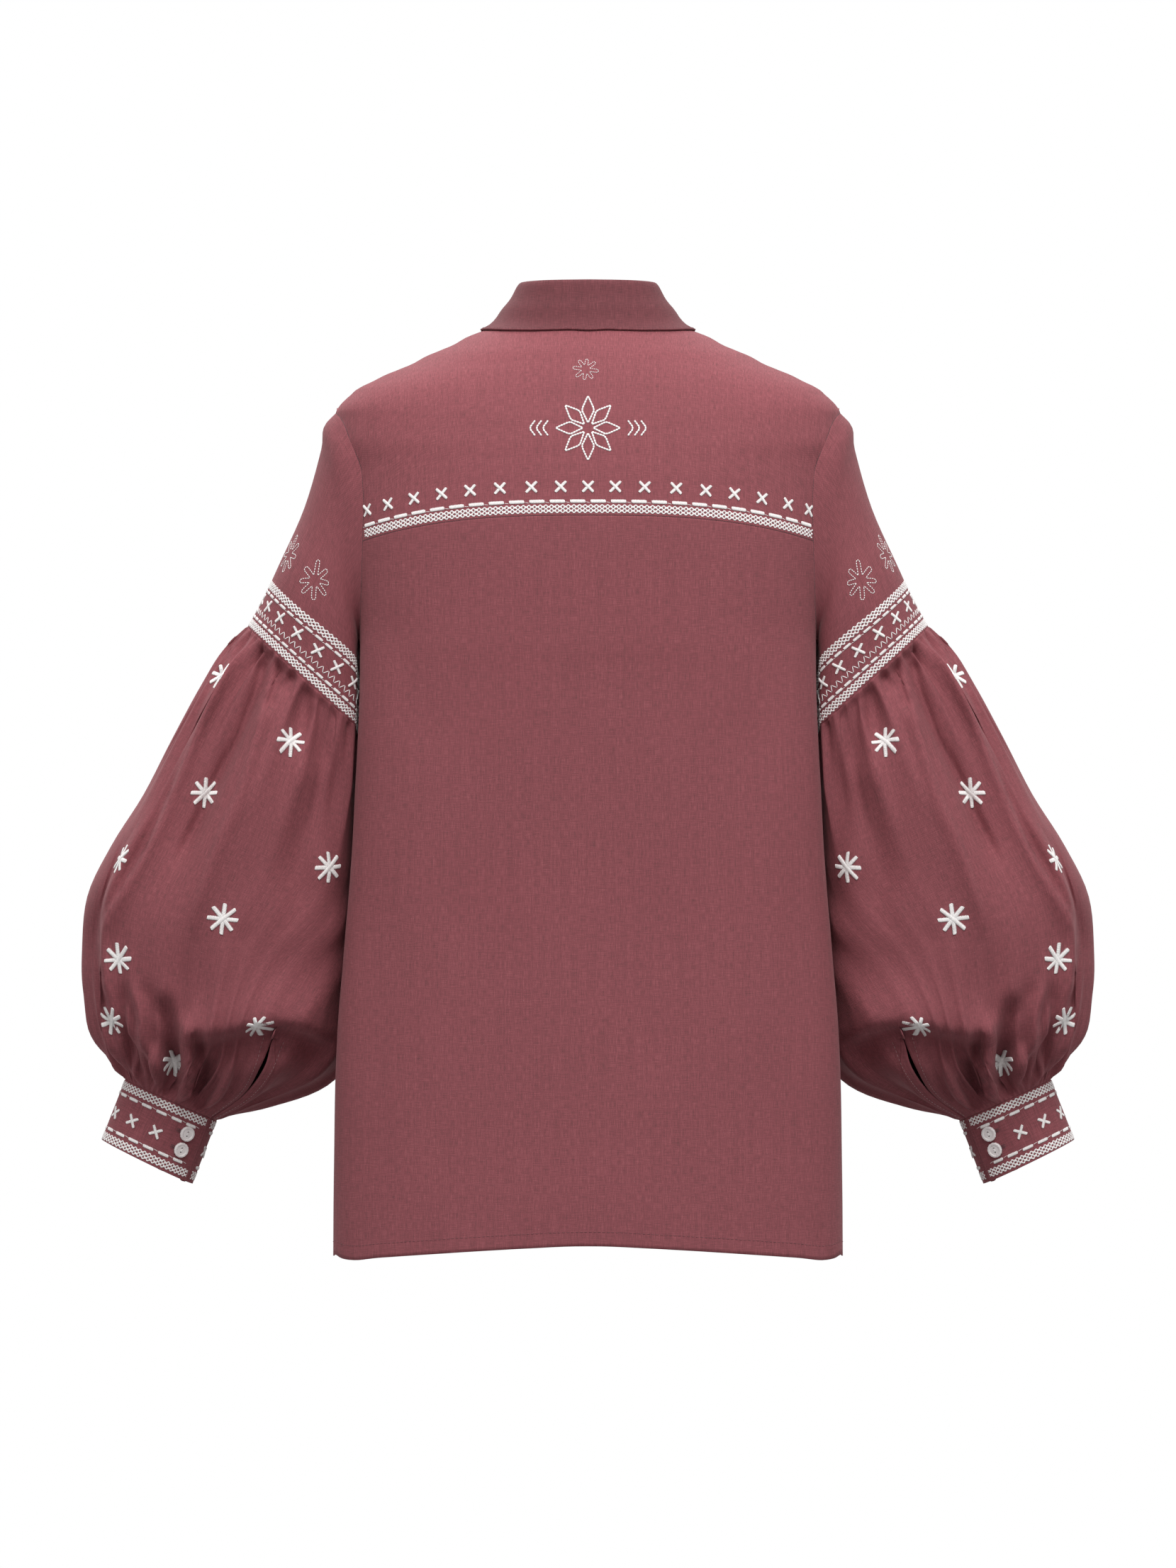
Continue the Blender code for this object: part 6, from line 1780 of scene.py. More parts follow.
cuff_cloth = cuff_grid(CUFF_STATIONS)
uv = weave_upright(cuff_cloth, 0)
uv[..., 1] = np.linspace(0.0, CUFF_DEPTH, len(cuff_cloth))[:, None]
grid = tucked(cuff_cloth, grid_normals(cuff_cloth, wrap=False), uv, {
    "first_row": CUFF_TUCK, "last_row": CUFF_TUCK, "first_column": (0.9, 4.0),
    "last_column": (1.3, 4.0),
})
cloth_pair("cuff", grid, flat=(0.25, 0.06), held="folded", rests_on="sleeve_lower_{}_cloth",
           thick=DOUBLED_THICK, finish=cuff_linen_painted_shade)

# %% [markdown]
# ## The collar
# A narrow band stands up from the neck seam. The leaf folds over its top and falls on to
# the yoke, a little proud of it, with two spread points in front.

# %% The collar
ROLL_COLUMNS = ("station", "x", "y", "z")
ROLL = (
    (0.0, 0.0, 54.0, 38.4),
    (25.0, 24.0, 49.5, 38.3),
    (50.0, 42.0, 35.5, 38.1),
    (75.0, 51.5, 13.0, 37.6),
    (95.0, 52.5, -7.0, 34.5),
    (120.0, 46.0, -36.0, 19.0),
    (145.0, 31.0, -60.5, -9.0),
    (165.0, 14.5, -74.5, -33.0),
    (180.0, 0.0, -79.0, -42.0),
)
LEAF_EDGE_COLUMNS = ("station", "x", "y", "stand_off")
LEAF_EDGE = (
    (0.0, 0.0, 71.0, 3.4),
    (25.0, 31.0, 67.5, 3.4),
    (50.0, 60.0, 54.5, 3.2),
    (72.0, 78.0, 29.0, 3.0),
    (90.0, 83.0, 2.0, 3.0),
    (120.0, 78.0, -40.0, 3.2),
    (150.0, 62.0, -69.0, 3.4),
    (175.0, 43.5, -83.0, 3.6),
)
FOLD = ((-3.0, 6.0), (-2.6, 2.0), (0.0, 0.0), (3.2, 2.6))
LEAF_STATION_END = 175.0
LEAF_LEAST_OFF = 3.2
LEAF_FALL_CELLS = 3
LEAF_FLARE = 1.4
STAND_CELLS = 1
BAND_TOP_GAP = 0.8
COLLAR_CLOTH = 1.6
COLLAR_THICK = 0.8
BAND_TUCK = (1.3, 4.0)
LEAF_TUCK = (1.3, 5.0)
LEAF_REST = 2.1
LEAF_REST_MOST = 6.0
LEAF_REST_CELLS = 1.6


def outward_from_roll(stations):
    """Level directions square to the collar's fold line, away from the neck."""
    ahead = roll_line(stations + 1.0) - roll_line(stations - 1.0)
    run = unit(ahead * np.array([1.0, 1.0, 0.0]))
    return np.stack([-run[:, 1], run[:, 0], np.zeros(len(run))], axis=-1)


def roll_line(stations):
    """The collar's fold line, the same on both sides of the centre back."""
    turned = (np.asarray(stations, float) + 180.0) % 360.0 - 180.0
    table = columns_of(ROLL_COLUMNS, ROLL, np.abs(turned))
    return np.stack([table["x"] * np.sign(turned), table["y"], table["z"]], axis=-1)


def fold_point(stations, outward, down):
    """A point of the collar's section near its fold line."""
    return roll_line(stations) + outward_from_roll(stations) * outward - np.array([0.0, 0.0, down])


def collar_stand_grid():
    """The band that stands up from the neck seam; it laps the placket's width in front."""
    yoke_part, front_part = neck_stations()
    half = np.concatenate([yoke_part, front_part[1:]])
    stations = np.concatenate([[half[-1] - 360.0, -180.0], -half[::-1], half[1:]])
    bottom = torso(*neck(stations))
    top = fold_point(stations, FOLD[0][0] + COLLAR_CLOTH, FOLD[0][1] + BAND_TOP_GAP)
    rise = np.linspace(0.0, 1.0, STAND_CELLS + 1)[:, None, None]
    return bottom[None] * (1.0 - rise) + top[None] * rise


def above_body(points):
    """How far points lie off the yoke or the fronts, and which way is outwards there."""
    angle, height = torso_at(points[..., 0], points[..., 1])
    outward = torso_normal(angle, height)
    return (points[..., 2] - height) * outward[..., 2], outward


def lifted_off_body(points):
    """Points of the leaf moved out where they would come too near the body."""
    off, outward = above_body(points)
    return points + outward * np.maximum(LEAF_LEAST_OFF - off, 0.0)[:, None]


def collar_leaf_grid():
    """The leaf: up from the band, over the fold and down to its free edge."""
    yoke_part, front_part = neck_stations()
    half = np.concatenate([yoke_part[::2], front_part[1:], [LEAF_STATION_END]])
    stations = np.concatenate([half[::-1], -half[1:]])
    rows = [fold_point(stations, outward, down) for outward, down in FOLD]
    edge_table = columns_of(LEAF_EDGE_COLUMNS, LEAF_EDGE, np.abs(stations))
    angle, height = torso_at(edge_table["x"] * np.sign(stations), edge_table["y"])
    edge = torso(angle, height)
    edge = edge + torso_normal(angle, height) * edge_table["stand_off"][:, None]
    start = rows[-1]
    for index in range(1, LEAF_FALL_CELLS + 1):
        share = index / LEAF_FALL_CELLS
        level = share ** LEAF_FLARE
        plan = start * (1.0 - level) + edge * level
        plan[:, 2] = start[:, 2] * (1.0 - share) + edge[:, 2] * share
        rows.append(lifted_off_body(plan))
    return np.stack(rows)


def rested(grid, cells):
    """The leaf with its free edge let down on to the body, over its last few cells."""
    off, outward = above_body(grid)
    share = eased(1.0 - (cells[-1] - cells) / LEAF_REST_CELLS)[:, None]
    down = np.clip(off - LEAF_REST, 0.0, LEAF_REST_MOST) * share
    return grid - outward * down[..., None]


stand = finer(collar_stand_grid(), row_times=8, column_times=3)
grid = tucked(stand, grid_normals(stand, wrap=False), weave_upright(stand, 0), {
    **dict.fromkeys(ALL_EDGES, BAND_TUCK), "first_row": SEAM_TUCK,
})
band = cloth_piece("collar_band_cloth", *grid, thick=COLLAR_THICK, finish=collar_linen_painted_shade)
settle(band, ["collar_band"])

coarse_leaf = collar_leaf_grid()
leaf = finer(coarse_leaf, row_times=4, column_times=4)
leaf = rested(leaf, cut_fine(len(coarse_leaf) - 1, times=4))
leaf_normals = grid_normals(leaf, wrap=False)
cloth_grids["collar_leaf"] = (leaf, leaf_normals)
uv = weave_upright(leaf, leaf.shape[1] // 2)
uv[..., 1] = run_along(leaf)
grid = tucked(leaf, leaf_normals, uv, dict.fromkeys(ALL_EDGES[1:], LEAF_TUCK))
leaf_piece = cloth_piece("collar_leaf_cloth", *grid, thick=COLLAR_THICK, finish=collar_linen_painted_shade)
settle(leaf_piece, ["collar_leaf"])

# %% [markdown]
# ## Sewing on stitches
# Every stitch is one thread from a point to a point, lying on the cloth. A satin bar is a
# row of them side by side. Python works out where each thread lies; one Geometry Nodes
# tree then puts a small spindle of thread on each place, turned along the stitch and away
# from the cloth, and realises the whole into one mesh.

# %% The stitch tree
def stitch_tree():
    """Puts a thread on every vertex, turned and sized by the vertex's own attributes."""
    tree = bpy.data.node_groups.new("laid_stitches", "GeometryNodeTree")
    for name, way, kind in (
        ("Places", "INPUT", "Geometry"), ("Sides of thread", "INPUT", "Int"),
        ("Rings of thread", "INPUT", "Int"), ("Finish", "INPUT", "Material"),
        ("Stitches", "OUTPUT", "Geometry"),
    ):
        tree.interface.new_socket(name, in_out=way, socket_type="NodeSocket" + kind)
    given = add_node(tree, "NodeGroupInput")
    thread = add_node(tree, "GeometryNodeMeshUVSphere", {
        "Segments": given.outputs["Sides of thread"], "Rings": given.outputs["Rings of thread"],
        "Radius": 0.5,
    })
    smooth = add_node(tree, "GeometryNodeSetShadeSmooth", {"Geometry": thread.outputs["Mesh"]})
    named = {
        name: add_node(
            tree, "GeometryNodeInputNamedAttribute", {"Name": name}, data_type="FLOAT_VECTOR"
        ).outputs["Attribute"]
        for name in ("along", "outward", "sizes")
    }
    turned = add_node(tree, "FunctionNodeAxesToRotation", {
        "Primary Axis": named["along"], "Secondary Axis": named["outward"],
    }, primary_axis="Z", secondary_axis="X")
    placed = add_node(tree, "GeometryNodeInstanceOnPoints", {
        "Points": given.outputs["Places"], "Instance": smooth.outputs["Geometry"],
        "Rotation": turned.outputs["Rotation"], "Scale": named["sizes"],
    })
    real = add_node(tree, "GeometryNodeRealizeInstances", {"Geometry": placed.outputs["Instances"]})
    finished = add_node(tree, "GeometryNodeSetMaterial", {
        "Geometry": real.outputs["Geometry"], "Material": given.outputs["Finish"],
    })
    add_node(tree, "NodeGroupOutput", {"Stitches": finished.outputs["Geometry"]})
    return tree


laid_stitches = stitch_tree()
THREAD_SIDES = 6
THREAD_RINGS = 3
SHADE_STEP = 0.61803


def sewn_on(name, mesh):
    """A mesh of stitches put in the scene, to ride with the blouse."""
    piece = bpy.data.objects.new(name, mesh)
    scene.collection.objects.link(piece)
    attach(piece, "root")
    return piece


def sewn_piece(name, work, finish):
    """One mesh of all the threads in a list of stitches."""
    rows = np.concatenate(work)
    start, end, outward = rows[:, 0:3], rows[:, 3:6], rows[:, 6:9]
    length = np.linalg.norm(end - start, axis=1)
    order = np.arange(len(rows))
    values = {
        "along": ("FLOAT_VECTOR", unit(end - start)),
        "outward": ("FLOAT_VECTOR", outward),
        "sizes": ("FLOAT_VECTOR", np.stack([rows[:, 10], rows[:, 9], length], axis=1) * MM),
        "shade": ("FLOAT", (order * SHADE_STEP) % 1.0),
    }
    data = bpy.data.meshes.new(name)
    data.from_pydata(((start + end) / 2.0 * MM).tolist(), [], [])
    for key, (kind, value) in values.items():
        made = data.attributes.new(key, kind, "POINT")
        field = "vector" if kind == "FLOAT_VECTOR" else "value"
        made.data.foreach_set(field, value.astype(np.float32).reshape(-1))
    holder = bpy.data.objects.new(name + "_places", data)
    scene.collection.objects.link(holder)
    maker = holder.modifiers.new("stitches", "NODES")
    maker.node_group = laid_stitches
    sockets = {
        item.name: item.identifier
        for item in laid_stitches.interface.items_tree if item.in_out == "INPUT"
    }
    maker[sockets["Sides of thread"]] = THREAD_SIDES
    maker[sockets["Rings of thread"]] = THREAD_RINGS
    maker[sockets["Finish"]] = finish
    graph = bpy.context.evaluated_depsgraph_get()
    mesh = bpy.data.meshes.new_from_object(holder.evaluated_get(graph))
    mesh.name = name
    bpy.data.objects.remove(holder, do_unlink=True)
    print(name, len(rows), "stitches,", len(mesh.polygons), "faces")
    return sewn_on(name, mesh)


# %% Ways of stitching
THREAD_PITCH = 0.72
SATIN_THREAD = THREAD_PITCH * 1.45
SATIN_SLANT = 0.10
SATIN_END = 0.6
SATIN_END_FULLNESS = 0.84
NET_THREAD = 1.4
RAY_WIDTH = 4.0
RAY_CORNER = 1.2
RAY_TIP = 0.28


def lay(work, start, end, outward, width, height, lift=0.15):
    """Threads from starts to ends, lying on the cloth."""
    sizes = np.tile([width, height], (len(start), 1))
    ends = [start + outward * lift, end + outward * lift]
    work.append(np.concatenate([*ends, outward, sizes], axis=1))


def lay_between(work, place, start, end, width, height, lift=0.15):
    """Threads from starts to ends that are drawn flat."""
    one, normal_one = place(start)
    two, normal_two = place(end)
    lay(work, one, two, unit(normal_one + normal_two), width, height, lift)


def satin_bar(work, place, start, end, width, height=1.0):
    """A padded bar of threads laid side by side across it."""
    start, end = np.array(start, float), np.array(end, float)
    run = end - start
    length = float(np.hypot(*run))
    ahead = run / length
    side = np.array([-ahead[1], ahead[0]])
    count = max(2, int(round(length / THREAD_PITCH)))
    share = (np.arange(count) + 0.5) / count
    middle = start + share[:, None] * run
    from_end = np.minimum(share, 1.0 - share) * length
    fullness = np.where(from_end < SATIN_END, SATIN_END_FULLNESS, 1.0)[:, None]
    reach = (side * width / 2.0 + ahead * SATIN_SLANT * width) * fullness
    lay_between(work, place, middle - reach, middle + reach, SATIN_THREAD, height, lift=0.25)


def crossed_bars(work, place, centre, reach, ways, width, heights):
    """Satin bars across one centre, each over the one before it."""
    centre = np.asarray(centre, float)
    for way, height in zip(ways, heights):
        ahead = np.array([math.cos(way * DEGREES), math.sin(way * DEGREES)]) * reach
        satin_bar(work, place, centre - ahead, centre + ahead, width, height)


def cross(work, place, centre, arm, turn, width=2.8):
    """Two satin bars, one over the other."""
    crossed_bars(work, place, centre, arm, (turn + 135.0, turn + 45.0), width, (1.0, 1.9))


def rayed_star(work, place, radius, turn):
    """Eight blunt satin rays: four bars across one centre, the last one on top."""
    ways = [way + turn for way in (0.0, 90.0, 135.0, 45.0)]
    crossed_bars(work, place, (0.0, 0.0), radius, ways, RAY_WIDTH, (1.0, 1.15, 1.3, 2.0))


def thread_line(work, place, line, width, height):
    """One thread after another through the corners of a line."""
    line = np.asarray(line, float)
    points, normals = place(line)
    lay(work, points[:-1], points[1:], unit(normals[:-1] + normals[1:]), width, height, lift=0.1)


def back_stitch(work, place, line, stitch=1.7, gap=0.25, width=0.72, height=0.55):
    """Small even stitches along a line."""
    line = np.asarray(line, float)
    covered = run_along(line)
    count = max(1, int(round(covered[-1] / (stitch + gap))))
    ends = np.linspace(0.0, covered[-1], count + 1)
    at = np.stack([ends[:-1] + gap / 2.0, ends[1:] - gap / 2.0], axis=1).reshape(-1)
    points, normals = place(read_line(at, covered, line))
    lay(work, points[::2], points[1::2], unit(normals[::2] + normals[1::2]), width, height)


def net_band(work, place, start, end, low, high, period):
    """An open lattice two crossings high, with a round loop at each step of its edges."""
    count = int(round((end - start) / period))
    step = (end - start) / count
    middle = (low + high) / 2.0
    left = start + np.arange(count) * step

    def level_threads(level, reach, width, height):
        row = np.stack([left, np.full(count, level)], axis=1)
        off = np.array([reach * step, 0.0])
        lay_between(work, place, row - off, row + off, NET_THREAD * width, height)

    for edge, way in ((low, -1.0), (high, 1.0)):
        foot_level = np.full(count, middle + way * NET_THREAD * 0.25)
        for side in (0.0, 1.0):
            foot = np.stack([left + side * step, foot_level], axis=1)
            head = np.stack([left + (1.0 - side) * step, np.full(count, edge)], axis=1)
            lay_between(work, place, foot, head, NET_THREAD, height=0.8)
        level_threads(edge + way * NET_THREAD * 0.1, reach=0.27, width=0.95, height=0.9)
    level_threads(middle, reach=0.30, width=1.1, height=1.0)


def dash_row(work, place, start, end, level, length, pitch, height):
    """Satin dashes in a row, with one thin thread running from each to the next."""
    count = int(round((end - start) / pitch))
    step = (end - start) / count
    for index in range(count):
        left = start + step * (index + 0.5) - length / 2.0
        satin_bar(work, place, (left, level), (left + length, level), height)
        thread_line(work, place, [
            (left + length, level - height * 0.35),
            (left + step, level - height * 0.1),
        ], width=0.45, height=0.4)


def zigzag(work, place, start, end, low, high, period):
    """One thread that runs up and down."""
    count = int(round((end - start) / period)) * 2
    at = np.linspace(start, end, count + 1)
    level = np.where(np.arange(count + 1) % 2 == 0, low, high)
    thread_line(work, place, np.stack([at, level], axis=1), width=0.85, height=0.7)


def outlined_star(work, place, centre, wide, tall, bar=3.4, turn=0.0, **stitch):
    """The outline of eight blunt rays round an open middle, in back stitch."""
    centre = np.asarray(centre, float)
    stretch = np.array([wide, tall])
    half_gap = 22.5 * DEGREES
    notch = bar / 2.0 / math.sin(half_gap)
    line = []
    for index in range(8):
        way = (index * 45.0 + turn) * DEGREES
        size = float(np.hypot(*(np.array([math.cos(way), math.sin(way)]) * stretch)))
        line.append([notch * math.cos(way - half_gap), notch * math.sin(way - half_gap)])
        shoulder = size - RAY_CORNER
        for out, aside in ((shoulder, -0.5), (size, -RAY_TIP), (size, RAY_TIP), (shoulder, 0.5)):
            y = aside * bar
            line.append([
                out * math.cos(way) - y * math.sin(way), out * math.sin(way) + y * math.cos(way),
            ])
    line.append(line[0])
    back_stitch(work, place, centre + np.array(line), **stitch)


print("stitches: satin bar, cross, star, net, dash row, zigzag, outlined star, back stitch")

# %% [markdown]
# ## Finding places on the cloth
# A motif is drawn flat, in millimetres, and laid on the cloth by a small map: on the yoke
# its two directions are along the seam and up from it; on a sleeve or cuff they are round
# it and up from an edge; anywhere else they are level and upright on the cloth itself.

# %% Places on the cloth
def yoke_place(flat):
    """Along the yoke seam from the centre back, and up from it."""
    seam_angles = np.linspace(-70.0, 70.0, 561)
    seam_points = torso(*yoke_seam(seam_angles))
    covered = run_along(seam_points)
    covered = covered - np.interp(0.0, seam_angles, covered)
    angle = np.interp(flat[:, 0], covered, seam_angles)
    height = yoke_seam(angle)[1] + flat[:, 1]
    return torso(angle, height), torso_normal(angle, height)


def read_grid(grid, row, column, wrap):
    """A fine grid read at fractional rows and columns."""
    rows, columns = grid.shape[:2]
    row = np.clip(row, 0.0, rows - 1.001)
    column = column % columns if wrap else np.clip(column, 0.0, columns - 1.001)
    top, left = row.astype(int), column.astype(int)
    down, along = (row - top)[:, None], (column - left)[:, None]
    right = (left + 1) % columns
    high = grid[top, left] * (1.0 - along) + grid[top, right] * along
    low = grid[top + 1, left] * (1.0 - along) + grid[top + 1, right] * along
    return high * (1.0 - down) + low * down


MAP_STEP = 3.0
SPOT_REACH = 3.0


def edge_map(grid, normals, wrap, from_last, reach):
    """Places by the distance along a tube's edge and the distance at right angles from it."""
    def at(row, column):
        return read_grid(grid, row, column, wrap)

    rows, columns = grid.shape[:2]
    row = np.full(columns, rows - 1.01 if from_last else 0.01)
    column = np.arange(columns, dtype=float)
    line = at(row, column)
    along = run_along(np.concatenate([line, line[:1]]) if wrap else line)
    inward = -1.0 if from_last else 1.0
    paths = [np.stack([row, column], axis=1)]
    for _ in range(int(math.ceil(reach / MAP_STEP)) + 1):
        here = at(row, column)
        if wrap:
            ahead = np.roll(here, -1, axis=0) - np.roll(here, 1, axis=0)
        else:
            ahead = np.gradient(here, axis=0)
        away = unit(np.cross(unit(read_grid(normals, row, column, wrap)), ahead))
        middle = np.clip(row, 0.5, rows - 1.51)
        by_row = at(middle + 0.5, column) - at(middle - 0.5, column)
        by_column = at(row, column + 0.5) - at(row, column - 0.5)
        away *= np.sign((away * by_row).sum(axis=1) * inward)[:, None]
        a, b, c = (
            (one * two).sum(axis=1)
            for one, two in ((by_row, by_row), (by_row, by_column), (by_column, by_column))
        )
        p, q = ((way * away).sum(axis=1) * MAP_STEP for way in (by_row, by_column))
        spread = np.maximum(a * c - b * b, 1e-9)
        row = np.clip(row + (c * p - b * q) / spread, 0.0, rows - 1.001)
        if wrap:
            column = column + (a * q - b * p) / spread
        paths.append(np.stack([row, column], axis=1))
    paths = np.array(paths)
    if wrap:
        paths = np.concatenate([paths, paths[:, :1] + np.array([0.0, columns])], axis=1)

    def place(flat):
        asked = flat[:, 0] % along[-1] if wrap else flat[:, 0]
        path = np.interp(asked, along, np.arange(len(along)))
        spot = read_grid(paths, np.clip(flat[:, 1] / MAP_STEP, 0.0, None), path, False)
        return at(*spot.T), unit(read_grid(normals, *spot.T, wrap))

    return place, float(along[-1])


def spot_map(grid, normals, row, column):
    """Level and upright distances from one spot of a tube's cloth."""
    def at(down, along, values=grid):
        return read_grid(values, np.array([row + down]), np.array([column + along]), True)[0]

    spot_normal = unit(at(0.0, 0.0, normals))
    up = np.array([0.0, 0.0, 1.0])
    up = unit(up - spot_normal * np.dot(up, spot_normal))
    right = np.cross(up, spot_normal)
    by_row = (at(SPOT_REACH, 0.0) - at(-SPOT_REACH, 0.0)) / (2.0 * SPOT_REACH)
    by_column = (at(0.0, SPOT_REACH) - at(0.0, -SPOT_REACH)) / (2.0 * SPOT_REACH)
    slopes = np.stack([by_row, by_column], axis=1)

    def place(flat):
        wanted = flat[:, :1] * right + flat[:, 1:] * up
        moves = np.linalg.lstsq(slopes, wanted.T, rcond=None)[0].T
        rows, columns = row + moves[:, 0], column + moves[:, 1]
        return read_grid(grid, rows, columns, True), unit(read_grid(normals, rows, columns, True))

    return place


def nearest_spot(grid, normals, x, z, behind=True):
    """The row and column of a tube's cloth seen at a place from behind or from in front."""
    off = np.hypot(grid[..., 0] - x, grid[..., 2] - z)
    facing = normals[..., 1] > 0.0 if behind else normals[..., 1] < 0.0
    off = np.where(facing, off, FAR_AWAY)
    row, column = np.unravel_index(np.argmin(off), off.shape)
    flat = grid[..., (0, 2)]
    columns = grid.shape[1]
    slopes = np.stack([
        (flat[min(row + 1, len(grid) - 1), column] - flat[max(row - 1, 0), column]) / 2.0,
        (flat[row, (column + 1) % columns] - flat[row, column - 1]) / 2.0,
    ], axis=1)
    moves = np.linalg.lstsq(slopes, np.array([x, z]) - flat[row, column], rcond=None)[0]
    moves = np.clip(moves, -0.8, 0.8)
    return row + moves[0], column + moves[1]


print("seam length across the yoke:",
      round(float(run_along(torso(*yoke_seam(np.linspace(-64.0, 64.0, 200))))[-1])), "mm")

# %% [markdown]
# ## The yoke's stitching
# Above the seam runs the open net, then a row of satin dashes, then large crosses. The
# centre back carries a rosette of eight rhombs in corded stitch between two stacks of
# chevrons, and a small outlined star sits under the collar.

# %% Stitching on the yoke
YOKE_REACH = 187.0
yoke_corner = float(armhole(YOKE_BACK_TURN)[0])
CROSS_PLACES = (0.0, 20.7, 43.0, 67.0, 90.0, 112.6, 135.5, 159.0, 181.0)
yoke_work = []
yoke_way = (yoke_work, yoke_place, -YOKE_REACH, YOKE_REACH)
net_band(*yoke_way, low=2.2, high=7.6, period=4.3)
dash_row(*yoke_way, level=10.7, length=11.6, pitch=15.3, height=3.3)
for x in CROSS_PLACES:
    for side in (-1.0, 1.0) if x else (1.0,):
        cross(yoke_work, yoke_place, (side * x, 22.0), arm=5.8, turn=0.0)
sewn_piece("stitching_yoke", yoke_work, white_thread)


def back_place(flat):
    """Level and upright on the back of the yoke."""
    low, high = halved(
        np.full(len(flat), -80.0), np.full(len(flat), 80.0),
        lambda angle: torso(angle, flat[:, 1])[:, 0] < flat[:, 0], 25,
    )
    angle = (low + high) / 2.0
    return torso(angle, flat[:, 1]), torso_normal(angle, flat[:, 1])


CORD = {"stitch": 2.6, "gap": -0.5, "width": 1.75, "height": 1.1}
rosette_work = []
ROSETTE = np.array([0.0, -78.0])
RHOMB = (4.0, 14.0, 25.0)
RHOMB_HALF_WIDTH = 4.9
CHEVRONS = (30.5, 35.5, 40.5)
CHEVRON_REACH = 4.5
CHEVRON_HALF_HEIGHT = 6.0
for index in range(8):
    way = index * 45.0 * DEGREES
    ahead = np.array([math.cos(way), math.sin(way)])
    side = np.array([-ahead[1], ahead[0]])
    root, middle, tip = (ROSETTE + ahead * out for out in RHOMB)
    aside = side * RHOMB_HALF_WIDTH
    line = [root, middle + aside, tip, middle - aside, root]
    back_stitch(rosette_work, back_place, line, **CORD)
for side in (-1.0, 1.0):
    for out in CHEVRONS:
        line = ROSETTE + np.array([
            (side * out, -CHEVRON_HALF_HEIGHT), (side * (out + CHEVRON_REACH), 0.0),
            (side * out, CHEVRON_HALF_HEIGHT),
        ])
        back_stitch(rosette_work, back_place, line, **CORD)
outlined_star(rosette_work, back_place, (1.8, -32.5), wide=10.0, tall=8.0, bar=2.4, turn=8.0,
              stitch=1.3, gap=0.2, width=0.62)
sewn_piece("stitching_centre_back", rosette_work, white_thread)

# %% [markdown]
# ## The sleeves' and cuffs' stitching

# %% Stitching on the upper sleeves
UPPER_CROSS_PITCH = 19.0
UPPER_BANDS_DEPTH = 44.0
UPPER_STARS = ((231.0, -174.0), (210.6, -194.0))
even_rows = np.linspace(UPPER_ROWS[0], UPPER_ROWS[-1], 61)
upper_even = around(smooth_through(UPPER_ROWS, upper_coarse, even_rows), UPPER_COLUMN_TIMES)[0]
upper_even_normals = grid_normals(upper_even, wrap=True)
upper_place, upper_round_mm = edge_map(
    upper_even, upper_even_normals, wrap=True, from_last=True, reach=UPPER_BANDS_DEPTH
)
upper_work = []
upper_way = (upper_work, upper_place, 0.0, upper_round_mm)
net_band(*upper_way, low=1.6, high=6.6, period=4.0)
dash_row(*upper_way, level=9.8, length=6.4, pitch=8.9, height=2.7)
zigzag(*upper_way, low=12.6, high=17.6, period=5.6)
crosses = int(round(upper_round_mm / UPPER_CROSS_PITCH))
for index in range(crosses):
    spot = (upper_round_mm * (index + 0.5) / crosses, 23.8)
    cross(upper_work, upper_place, spot, arm=5.7, turn=20.0, width=2.6)
dash_row(*upper_way, level=31.9, length=6.4, pitch=8.9, height=2.7)
net_band(*upper_way, low=35.0, high=40.2, period=4.0)
for behind in (True, False):
    for x, z in UPPER_STARS:
        spot = nearest_spot(upper_even, upper_even_normals, x, z, behind)
        place = spot_map(upper_even, upper_even_normals, *spot)
        outlined_star(upper_work, place, (0.0, 0.0), wide=12.5, tall=15.5, turn=-5.0, width=0.85)
upper_stitching_left = sewn_piece("stitching_upper_left", upper_work, white_thread)

# %% Stitching on the lower sleeves
BACK_STARS = (
    (284.0, -267.0, -8.0), (229.4, -317.6, -6.0), (296.2, -358.1, 2.0), (362.1, -409.1, -7.0),
    (199.9, -415.4, 3.0), (281.7, -455.1, -6.0), (363.4, -487.3, 4.0), (369.3, -534.7, 8.0),
    (256.0, -538.0, 4.0), (321.5, -566.2, 12.0),
)
FRONT_STARS = (
    (262.0, -338.0, 15.0), (304.0, -388.0, 9.0), (228.0, -390.0, 12.0), (341.0, -436.0, 14.0),
    (268.0, -430.0, 10.0), (222.0, -470.0, 16.0), (310.0, -480.0, 12.0), (350.0, -498.0, 10.0),
    (264.0, -516.0, 14.0), (331.0, -529.0, 18.0),
)
STAR_RADIUS = 12.0
lower_work = []
for stars, behind in ((BACK_STARS, True), (FRONT_STARS, False)):
    for x, z, turn in stars:
        spot = nearest_spot(lower_cloth, lower_cloth_normals, x, z, behind)
        place = spot_map(lower_cloth, lower_cloth_normals, *spot)
        rayed_star(lower_work, place, STAR_RADIUS, turn)
lower_stitching_left = sewn_piece("stitching_lower_left", lower_work, white_thread)

